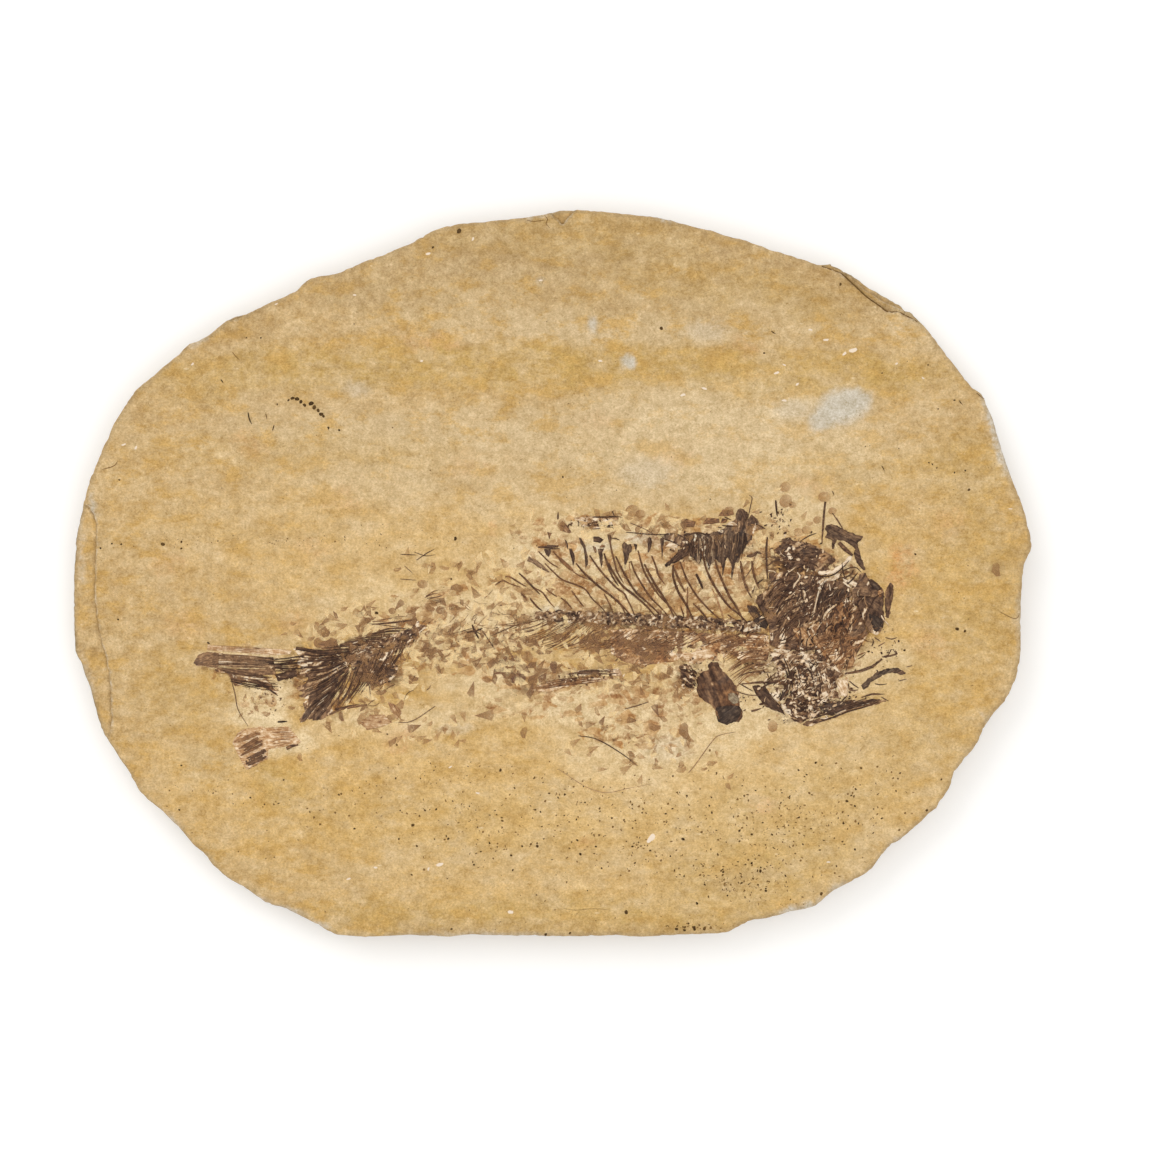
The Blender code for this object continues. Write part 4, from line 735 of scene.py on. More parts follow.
# How each plate is broken: its fibres; the length and width of its fragments; the height of its face; its
# mean tone and spread of tone (0 near black, 1 the cream of the stone); the share of cream fragments; how
# orange it is; how far it has spread past its outline; and how much its fibres bend
PLATE_LOOKS = {
    "skull_roof": (straight_fibres(20), 3.2, 1.1, 0.50, 0.43, 0.14, 0.03, 0.0, 0.3, 1.2),
    "skull_crest": (straight_fibres(-28), 6.0, 1.2, 0.50, 0.34, 0.07, 0.0, -0.2, 0.0, 0.4),
    "snout_bone": (straight_fibres(82), 7.0, 1.0, 0.45, 0.42, 0.08, 0.0, 0.1, 0.0, 0.3),
    "snout_roof": (straight_fibres(62), 3.2, 1.1, 0.55, 0.41, 0.14, 0.04, 0.0, 0.3, 1.2),
    "gill_cover": (straight_fibres(52), 3.2, 0.9, 0.55, 0.42, 0.13, 0.04, 0.1, 0.3, 1.6),
    "cheek_plate": (straight_fibres(66), 5.0, 1.1, 0.55, 0.42, 0.11, 0.02, 0.0, 0.3, 0.9),
    "cheek_bone": (straight_fibres(40), 2.6, 0.8, 0.60, 0.50, 0.15, 0.08, 0.4, 0.4, 1.6),
    "throat_bones": (straight_fibres(25), 1.6, 0.8, 0.55, 0.44, 0.16, 0.28, 0.0, 0.3, 1.2),
    "upright_bone": (straight_fibres(70), 5.0, 0.9, 0.50, 0.26, 0.06, 0.0, -0.2, 0.0, 0.3),
    "jaw_hinge": (straight_fibres(-12), 1.4, 0.6, 0.60, 0.30, 0.14, 0.16, 0.0, 0.2, 0.8),
    "jaw_plate": (straight_fibres(10), 4.5, 1.6, 0.50, 0.26, 0.05, 0.0, -0.6, 0.0, 0.4),
    "lower_jaw": (straight_fibres(18), 4.5, 0.6, 0.45, 0.34, 0.14, 0.14, 0.1, 0.1, 0.4),
    "upper_jaw": (straight_fibres(30), 6.0, 1.0, 0.45, 0.29, 0.06, 0.0, -0.5, 0.0, 0.3),
    "shoulder_wedge": (straight_fibres(-50), 4.0, 1.0, 0.50, 0.24, 0.06, 0.0, -0.2, 0.2, 0.4),
    "shoulder_bone": (straight_fibres(-45), 5.0, 0.9, 0.45, 0.26, 0.07, 0.0, -0.2, 0.1, 0.3),
    "nape_bones": (straight_fibres(80), 3.0, 0.7, 0.40, 0.37, 0.12, 0.06, -0.4, 0.0, 0.5),
    "dorsal_fin_rays": (straight_fibres(3), 3.0, 0.35, 0.15, 0.60, 0.20, 0.45, 0.1, 0.0, 0.3),
    "rib_fan": (straight_fibres(28), 2.2, 1.3, 0.10, 0.62, 0.14, 0.26, 0.8, 0.6, 1.4),
    "belly_plate": (straight_fibres(115, 0.3), 3.6, 1.0, 0.50, 0.31, 0.03, 0.0, 0.4, 0.0, 0.3),
    "belly_splinters": (straight_fibres(-35), 1.6, 0.4, 0.40, 0.34, 0.18, 0.22, 0.1, 0.1, 0.6),
    "anal_fin_rays_front": (straight_fibres(6), 2.0, 0.6, 0.12, 0.78, 0.14, 0.50, 0.6, 0.0, 0.3),
    "anal_fin_rays_back": (straight_fibres(9), 2.0, 0.8, 0.10, 0.68, 0.12, 0.34, 0.6, 0.0, 0.3),
    "tail_vertebrae": (straight_fibres(24), 1.6, 0.5, 0.45, 0.42, 0.16, 0.20, 0.0, 0.2, 1.0),
    "tail_fan": (spreading_fibres(-41, -12, 215, 18), 4.0, 0.45, 0.35, 0.50, 0.15, 0.22, 0.1, 0.0, 0.6),
    "upper_tail_lobe": (straight_fibres(-5), 6.0, 0.4, 0.28, 0.60, 0.14, 0.10, 0.0, 0.2, 0.25),
    "upper_tail_rays": (straight_fibres(-14), 4.0, 0.4, 0.2, 0.56, 0.16, 0.40, 0.35, 0.0, 0.3),
    "tail_ray_stub": (straight_fibres(14), 4.0, 0.5, 0.30, 0.30, 0.12, 0.08, 0.1, 0.0, 0.3),
    "lower_tail_lobe": (straight_fibres(22), 4.0, 0.8, 0.16, 0.79, 0.10, 0.16, 1.0, 0.0, 0.3),
    "lower_tail_tip": (straight_fibres(30), 4.0, 0.8, 0.18, 0.62, 0.12, 0.30, 0.1, 0.0, 0.3),
}


def footprint(node):
    """The outline of a CAD plate's underside, in order, in millimetres."""
    shape = welded_copy(node)
    lowest = min(vertex.co.z for vertex in shape.verts)
    under = [face for face in shape.faces if max(vertex.co.z for vertex in face.verts) < lowest + 1e-5]
    following = {}
    for face in under:
        for loop in face.loops:
            if any(other not in under for other in loop.edge.link_faces):
                following[loop.vert] = loop.link_loop_next.vert
    start = next(iter(following))
    outline = [start.co.xy / MM]
    step = following[start]
    while step is not start:
        outline.append(step.co.xy / MM)
        step = following[step]
    shape.free()
    return outline


def frayed(outline, fray, spread):
    """The outline walked in short steps, spread outwards and pushed in and out a little."""
    walked = []
    area = sum(outline[index - 1].cross(end) for index, end in enumerate(outline))
    spread = -math.copysign(spread, area)
    for index, end in enumerate(outline):
        start = outline[index - 1]
        steps = max(1, round((end - start).length / OUTLINE_STEP))
        side = Vector((start.y - end.y, end.x - start.x)).normalized()
        for step in range(steps):
            place = start.lerp(end, step / steps)
            walked.append(place + side * (spread + fray * rough(place.x, place.y, 31.0, 0.9)))
    return walked


def frayed_floor(outline, fray, spread):
    """The frayed outline and its faces; a fray that would make it cross itself is made smaller."""
    for share in (1.0, 0.8, 0.6, 0.4, 0.2, 0.0):
        walked = frayed(outline, fray * share, spread * share)
        floor = delaunay_2d_cdt(walked, [], [list(range(len(walked)))], 1, 1e-6)
        if len(floor[0]) == len(walked):
            break
    return walked, floor[2]


def is_within(x, y, outline):
    within = False
    for index, corner in enumerate(outline):
        before = outline[index - 1]
        if (before.y > y) != (corner.y > y):
            if x < before.x + (y - before.y) / (corner.y - before.y) * (corner.x - before.x):
                within = not within
    return within


def closed_sheet(shape, outline, floor, inner, height_of):
    """Adds a sheet over the outline and its inner points, closed in the stone below; returns its places."""
    sheet = delaunay_2d_cdt(list(outline) + inner, [], [list(range(len(outline)))], 1, 1e-6)
    places = list(sheet[0])
    top = [shape.verts.new((place.x * MM, place.y * MM, height_of(index, place) * MM))
           for index, place in enumerate(places)]
    under = [shape.verts.new((place.x * MM, place.y * MM, (stone_height(place.x, place.y) - BURIED) * MM))
             for place in outline]
    for face in sheet[2]:
        shape.faces.new([top[index] for index in face])
    for index in range(len(outline)):
        before = (index - 1) % len(outline)
        shape.faces.new((top[before], top[index], under[index], under[before]))
    for face in floor:
        shape.faces.new([under[index] for index in face])
    return places + list(outline)


def finished_bone(name, shape, tones, warms, fibre_places):
    """The shape as a mesh with its tones, its warmth and the map of its fibres."""
    bmesh.ops.recalc_face_normals(shape, faces=shape.faces)
    fibre_map = shape.loops.layers.uv.new("fibre")
    shape.verts.index_update()
    for face in shape.faces:
        for loop in face.loops:
            loop[fibre_map].uv = fibre_places[loop.vert.index]
    mesh = bpy.data.meshes.new(name)
    shape.to_mesh(mesh)
    shape.free()
    store_mask(mesh, "tone", np.clip(tones, 0.0, 1.0))
    store_mask(mesh, "warm", np.clip(warms, -1.0, 1.0))
    mesh.shade_smooth()
    return mesh


def broken_plate(name, coarse_outline, look, seed):
    """The plate's upper face as fragments of uneven height and tone, closed underneath inside the stone."""
    fibres, length, width, crown, mean_tone, tone_spread, cream_share, warmth, spread, bend = look
    dice = random.Random(seed)
    outline, floor = frayed_floor(coarse_outline, OUTLINE_FRAY, spread)
    xs = [place.x for place in outline]
    ys = [place.y for place in outline]
    low, high = (min(xs), min(ys)), (max(xs), max(ys))
    rim = kdtree.KDTree(len(outline))
    for index, place in enumerate(outline):
        rim.insert((place.x, place.y, 0.0), index)
    rim.balance()

    def along_fibres(x, y):
        return fibres(x + bend * rough(x, y, seed * 3.7, 5.0), y + bend * rough(x, y, seed * 5.3, 5.0))

    count = int((high[0] - low[0] + 2) * (high[1] - low[1] + 2) / (length * width)) + 6
    fragments = kdtree.KDTree(count)
    nature = []
    for index in range(count):
        x = dice.uniform(low[0] - 1, high[0] + 1)
        y = dice.uniform(low[1] - 1, high[1] + 1)
        u, v = along_fibres(x, y)
        fragments.insert((u / length, v / width, 0.0), index)
        tone = dice.gauss(mean_tone, tone_spread) + 0.22 * rough(x, y, seed * 1.3, 4.0)
        if dice.random() < cream_share:
            tone = dice.uniform(0.8, 1.0)
        warm = warmth * (1.0 + 1.6 * rough(x, y, seed * 2.1, 5.0))
        lift, tilt_x, tilt_y = dice.uniform(0.35, 1.0), dice.uniform(-0.12, 0.12), dice.uniform(-0.12, 0.12)
        nature.append((x, y, tone, lift, tilt_x, tilt_y, warm))
    fragments.balance()

    def wanted(x, y):
        return rim.find((x, y, 0.0))[2] > 0.6 * BONE_GRID and is_within(x, y, outline)

    inner = [Vector(place) for place in grid_points(BONE_GRID, low, high, wanted, dice)]
    tones = []
    warms = []
    fibre_places = []

    def height_of(index, place):
        """The fragment's height at a place; its tone, warmth and fibres are noted on the way."""
        x, y = place.x, place.y
        u, v = along_fibres(x, y)
        (_, first, near), (_, _, next_near) = fragments.find_n((u / length, v / width, 0.0), 2)
        fx, fy, tone, lift, tilt_x, tilt_y, warm = nature[first]
        crack = max(0.0, 1.0 - (next_near - near) * width / CRACK_WIDTH)
        tones.append(tone + crack * 0.4 * noise.noise((x, y, seed + 0.5)))
        warms.append(warm)
        fibre_places.append((u, v))
        if index < len(outline):
            return stone_height(x, y) - EDGE_SUNK
        rise = min(1.0, rim.find((x, y, 0.0))[2] / RIM_SLOPE) ** 0.5
        ridges = 0.05 * noise.noise((u * 0.35, v * 2.6, seed))
        height = crown * lift + tilt_x * (x - fx) + tilt_y * (y - fy) + ridges
        return stone_height(x, y) + rise * max(LEAST_CROWN, height * (1.0 - 0.75 * crack)) - EDGE_SUNK

    shape = bmesh.new()
    places = closed_sheet(shape, outline, floor, inner, height_of)
    for place in places[len(tones):]:
        tones.append(mean_tone)
        warms.append(warmth)
        fibre_places.append(fibres(place.x, place.y))
    return finished_bone(name, shape, tones, warms, fibre_places)


# The colours of bone from tone 0 to 1
BONE_TONES = [
    (0.00, linear(44, 27, 18)), (0.22, linear(74, 51, 37)), (0.42, linear(108, 80, 59)),
    (0.60, linear(148, 113, 81)), (0.80, linear(194, 160, 120)), (1.00, linear(240, 219, 190)),
]


def bone_colours(tree, tone):
    """The colour of bone at a tone: near black, through brown and tan, to the cream of the stone."""
    ramp = place_node(tree, "ShaderNodeValToRGB", {0: tone})
    points = ramp.color_ramp.elements
    points[0].position, points[0].color = BONE_TONES[0]
    points[1].position, points[1].color = BONE_TONES[-1]
    for position, colour in BONE_TONES[1:-1]:
        points.new(position).color = colour
    return ramp.outputs[0]


def fibre_group():
    """Node group: fine fibres along the bone's own map, with broken flecks between them."""
    tree, entry, leave = shader_group("bone_fibres", ["Map", "Vector"], {}, ["Fibres", "Mottle"])
    drawn = mapped(tree, entry["Map"], scale=(0.4, 2.2, 1.0))
    fibres = place_node(tree, "ShaderNodeTexNoise", {"Vector": drawn, "Scale": 1.0, "Detail": 4.0,
                                                     "Roughness": 0.7, "Distortion": 0.4}).outputs[0]
    feed(tree, leave, {"Fibres": fibres, "Mottle": grain_noise(tree, entry["Vector"], 0.0009, 5.0, 0.7)})
    return tree


FIBRES = fibre_group()


def bone_material(name, roughness):
    """Mineralised bone: the fragment's tone, streaked along the fibres and mottled across them."""
    made, tree, shader, spot = new_material(name, 0.2)
    bone_map = place_node(tree, "ShaderNodeUVMap", uv_map="fibre").outputs[0]
    texture = place_node(tree, "ShaderNodeGroup", {"Map": bone_map, "Vector": spot}, node_tree=FIBRES)
    fibres, mottle = texture.outputs
    tone = times(tree, mask_of(tree, "tone"), reach(tree, fibres, 0.3, 0.7, -0.24, 0.24), "ADD")
    tone = times(tree, tone, reach(tree, mottle, 0.3, 0.7, -0.15, 0.17), "ADD")
    colour = bone_colours(tree, tone)
    warmth = mask_of(tree, "warm")
    orange = times(tree, reach(tree, warmth, 0.0, 1.0), reach(tree, tone, 0.55, 0.85, 1.0, 0.2))
    colour = blend_colours(tree, orange, colour, (1.20, 0.96, 0.68, 1.0), "MULTIPLY")
    colour = blend_colours(tree, reach(tree, warmth, 0.0, -1.0), colour, (0.76, 0.93, 1.10, 1.0), "MULTIPLY")
    grey = reach(tree, grain_noise(tree, spot, 0.004, 2.0), 0.55, 0.75, 0.0, 0.35)
    colour = blend_colours(tree, grey, colour, blend_colours(tree, 0.6, colour, linear(104, 95, 88)))
    feed(tree, shader, {
        "Base Color": colour, "Roughness": reach(tree, mottle, 0.3, 0.7, roughness - 0.08, roughness + 0.12),
        "Normal": bump_of(tree, 0.7, 0.0002, times(tree, fibres, mottle, "ADD"))})
    return made


BONE = bone_material("mineral_bone", 0.6)
plates = []
for seed, (node, look) in enumerate(PLATE_LOOKS.items(), start=100):
    plate = add_piece(node + "_bone", broken_plate(node + "_bone", footprint(node), look, seed))
    plate.data.materials.append(BONE)
    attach(plate, "root")
    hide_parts(node)
    plates.append(plate)


# The single rods: the stick over the back, loose ribs, rays, spines and splinters of the head. Each is one
# bone of mineral, round and uneven along its length, and lies half sunk in the stone.

# How deep a rod is sunk, in millimetres; the longest edge of its mesh; and how often it is cut finer
SUNK_DEPTH = 0.19
ROD_EDGE = 0.55
ROD_CUTS = 3


def sunk_copy(node):
    """A CAD rod's mesh, cut finer, roughened and lowered into the stone."""
    shape = welded_copy(node)
    for _ in range(ROD_CUTS):
        long_edges = [edge for edge in shape.edges if edge.calc_length() > ROD_EDGE * MM]
        bmesh.ops.subdivide_edges(shape, edges=long_edges, cuts=1, use_grid_fill=True)
    bmesh.ops.triangulate(shape, faces=shape.faces)
    base = min(vertex.co.z for vertex in shape.verts) / MM
    tones = []
    for vertex in shape.verts:
        x, y, z = vertex.co / MM
        grain = noise.fractal((x * 1.4, y * 1.4, z * 1.4), 0.6, 2.2, 3)
        tones.append(0.32 + 0.16 * grain)
        height = 0.85 * (z - base) - SUNK_DEPTH + 0.05 * grain
        vertex.co = Vector((x + 0.05 * grain, y - 0.05 * grain, stone_height(x, y) + height)) * MM
    places = [(vertex.co.x / MM, vertex.co.y / MM) for vertex in shape.verts]
    return finished_bone(node + "_bone", shape, tones, [0.2] * len(tones), places)


for node in sorted(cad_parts):
    if node in ("limestone_slab", "backbone") or node in PLATE_LOOKS or node.startswith("fin_support"):
        continue
    rod = add_piece(node + "_bone", sunk_copy(node))
    rod.data.materials.append(BONE)
    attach(rod, "root")
    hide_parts(node)


# The backbone: vertebrae of mineral bone, pressed together into a rough granular band that is grown into the
# stone, and the thin spines of its upper side, which lean back over the flank.

# The band's middle line, and its look, said as for the plates
COLUMN_LINE = [(-4.2, -10.6), (8.0, -11.0), (20.0, -11.5), (34.0, -12.2), (46.0, -13.0), (52.0, -13.6)]
COLUMN_LOOK = (straight_fibres(20), 0.7, 0.6, 1.0, 0.46, 0.20, 0.18, -0.1, 0.2, 0.9)
# The spines, swept with the slivers below: width, tone and line of each
NEURAL_SPINES = [
    (0.3, 0.45, [(-14.4, -3), (-12.4, -1.9), (-10.8, -2.6), (-8, -3.6)]),
    (0.35, 0.4, [(-11.8, -1), (-10.8, -0.9), (-8, -2.6), (-6.5, -3.5)]),
    (0.4, 0.3, [(-8.4, -0.1), (-7.4, -0.9), (-5, -3.4), (-3, -5.5)]),
    (0.35, 0.4, [(-4.6, -3.7), (-2.5, -4.9), (-0.8, -7.2), (0.5, -8.6)]),
    (0.35, 0.4, [(-7.9, -5), (-7.1, -5.9), (-6.3, -6.9)]),
    (0.4, 0.38, [(-5.6, -6.4), (-3.9, -8.4), (-2.5, -9.5)]),
    (0.3, 0.45, [(-1.6, -4), (-0.6, -4.8), (1.2, -6)]), (0.35, 0.4, [(2.1, -6.2), (3.6, -7.4), (4.9, -8.9)]),
    (0.3, 0.4, [(-3.5, 5.4), (-2, 3.9), (-0.6, 2.6), (1.8, 1.1)]),
    (0.35, 0.36, [(-1.9, 2.4), (0, 0.5), (2.4, -1.6), (6, -3), (8.2, -4.1), (9.9, -6.4), (11.6, -8)]),
    (0.35, 0.35, [(0.2, 5.4), (1, 4.4), (2.4, 3)]), (0.85, 0.5, [(1.8, 3.6), (3.4, 2.1), (5.2, 0.5)]),
    (0.25, 0.45, [(5.2, 0.3), (7, -0.8), (10, -2)]),
    (0.45, 0.3, [(5.9, 2.4), (8, -0.1), (11.4, -3.2), (14, -5.2), (16.2, -7.1)]),
    (0.3, 0.75, [(10.5, -1.9), (12, -2.6), (14.8, -5.1)]),
    (0.35, 0.4, [(4.8, -4.4), (6.2, -6.4), (7.8, -8.4)]),
    (0.4, 0.33, [(9.3, 4.4), (11, 1.9), (13, -0.6), (16, -3.7), (17.8, -5), (18.6, -6.4)]),
    (0.3, 0.4, [(12.9, -5.2), (13.7, -6.7)]), (0.35, 0.4, [(16.2, -6.5), (17.1, -8)]),
    (0.45, 0.3, [(12.9, 4.9), (13.9, 1.8), (15, -0.9), (16.6, -3.4)]),
    (0.5, 0.3, [(14, 2.5), (15.6, -0.5), (17.6, -3.3), (20, -5.2)]),
    (0.4, 0.4, [(14.2, 9.4), (14.7, 6), (15.5, 2.8), (16.2, 0.2), (17.8, -2.6)]),
    (0.45, 0.33, [(15.8, 4.2), (17.7, 0.3), (20, -3.6), (21.8, -5.7), (24, -7.6)]),
    (0.3, 0.7, [(19.2, 2.4), (19.3, 0), (19.6, -2)]),
    (0.4, 0.35, [(19.6, 3), (20.6, 0.2), (22.8, -3.6), (24.6, -6.2), (27.2, -8.8)]),
    (0.4, 0.38, [(21.4, 5.6), (22.2, 2.6), (23.2, -0.2), (26, -4.8), (28.8, -7.8)]),
    (0.5, 0.32, [(23, 2.2), (24.4, -0.6), (26, -3.4), (27.4, -5.5)]),
    (0.4, 0.38, [(24.8, 4.3), (26, 1.2), (26.4, -0.4), (28, -2.8)]),
    (0.5, 0.3, [(30.2, 2), (30.2, -1), (31.4, -4.6), (32.8, -6.9)]),
    (0.5, 0.42, [(30.4, 1.2), (32, -2.6), (33.2, -4.8)]),
    (0.4, 0.35, [(31.9, 2.8), (33.6, -1.6), (36, -5.6), (39.2, -9.2), (41.2, -11)]),
    (0.3, 0.5, [(33.8, -3.5), (33.7, -7.2)]), (0.3, 0.5, [(33.8, -8), (33.9, -10)]),
    (0.55, 0.12, [(35.9, -0.2), (36.6, -1.6), (37.6, -4)]),
    (0.4, 0.35, [(35.2, -7.6), (37, -9.4), (38, -10.6)]),
    (0.5, 0.3, [(37.4, 5.4), (38.6, 0.6), (41.2, -4.4), (44, -8.2), (46, -9.8)]),
    (0.5, 0.35, [(40.6, 3.4), (41.5, 0.4), (44, -5.4), (45.4, -7.6)]),
    (0.35, 0.7, [(39.9, -3.9), (41.2, -6.8), (42.2, -9.6)]), (0.35, 0.4, [(43.8, -10.4), (45.6, -11.8)]),
    (0.45, 0.38, [(47, 3), (47.9, -2), (49, -3.9)]), (0.45, 0.38, [(49.8, 2.8), (50.4, -0.6), (51.6, -3.8)]),
    (0.3, 0.4, [(32, -8.2), (32.4, -9.4)]),
]


def smooth_path(points, step):
    """A smooth line through the points, in even steps, in millimetres."""
    spots = [Vector(point) for point in points]
    spots = [2 * spots[0] - spots[1]] + spots + [2 * spots[-1] - spots[-2]]
    line = []
    for before, start, end, after in zip(spots, spots[1:], spots[2:], spots[3:]):
        count = max(1, round((end - start).length / step))
        for index in range(count):
            t = index / count
            line.append(0.5 * (2 * start + (end - before) * t
                               + (2 * before - 5 * start + 4 * end - after) * t * t
                               + (3 * start - before - 3 * end + after) * t ** 3))
    return line + [spots[-2]]


def column_outline():
    """The crushed column's two edges, wavy at the joints of its vertebrae."""
    line = smooth_path(COLUMN_LINE, 0.5)
    upper, lower = [], []
    for index, place in enumerate(line):
        taper = min(1.0, 0.5 + index / 16)
        wave = 0.16 * math.sin(index * 1.25)
        upper.append(place + Vector((0.0, taper * (1.25 + wave + 0.25 * rough(place.x, 1.0, 3.0, 2.0)))))
        lower.append(place - Vector((0.0, taper * (1.35 + wave + 0.3 * rough(place.x, 7.0, 3.0, 2.0)))))
    return lower + upper[::-1]


column = add_piece("backbone_bone", broken_plate("backbone_bone", column_outline(), COLUMN_LOOK, 90))
column.data.materials.append(BONE)
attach(column, "root")
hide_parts("backbone")


# The facets: single flakes and daggers of bone that can be told apart on the fin supports, the nape, the head
# and the tail, and facets of pale stone between them. Each is let into the surface that it lies on.

# The spacing of a facet's points and how far it stands proud, in millimetres
FACET_GRID = 0.4
FACET_CROWN = 0.13

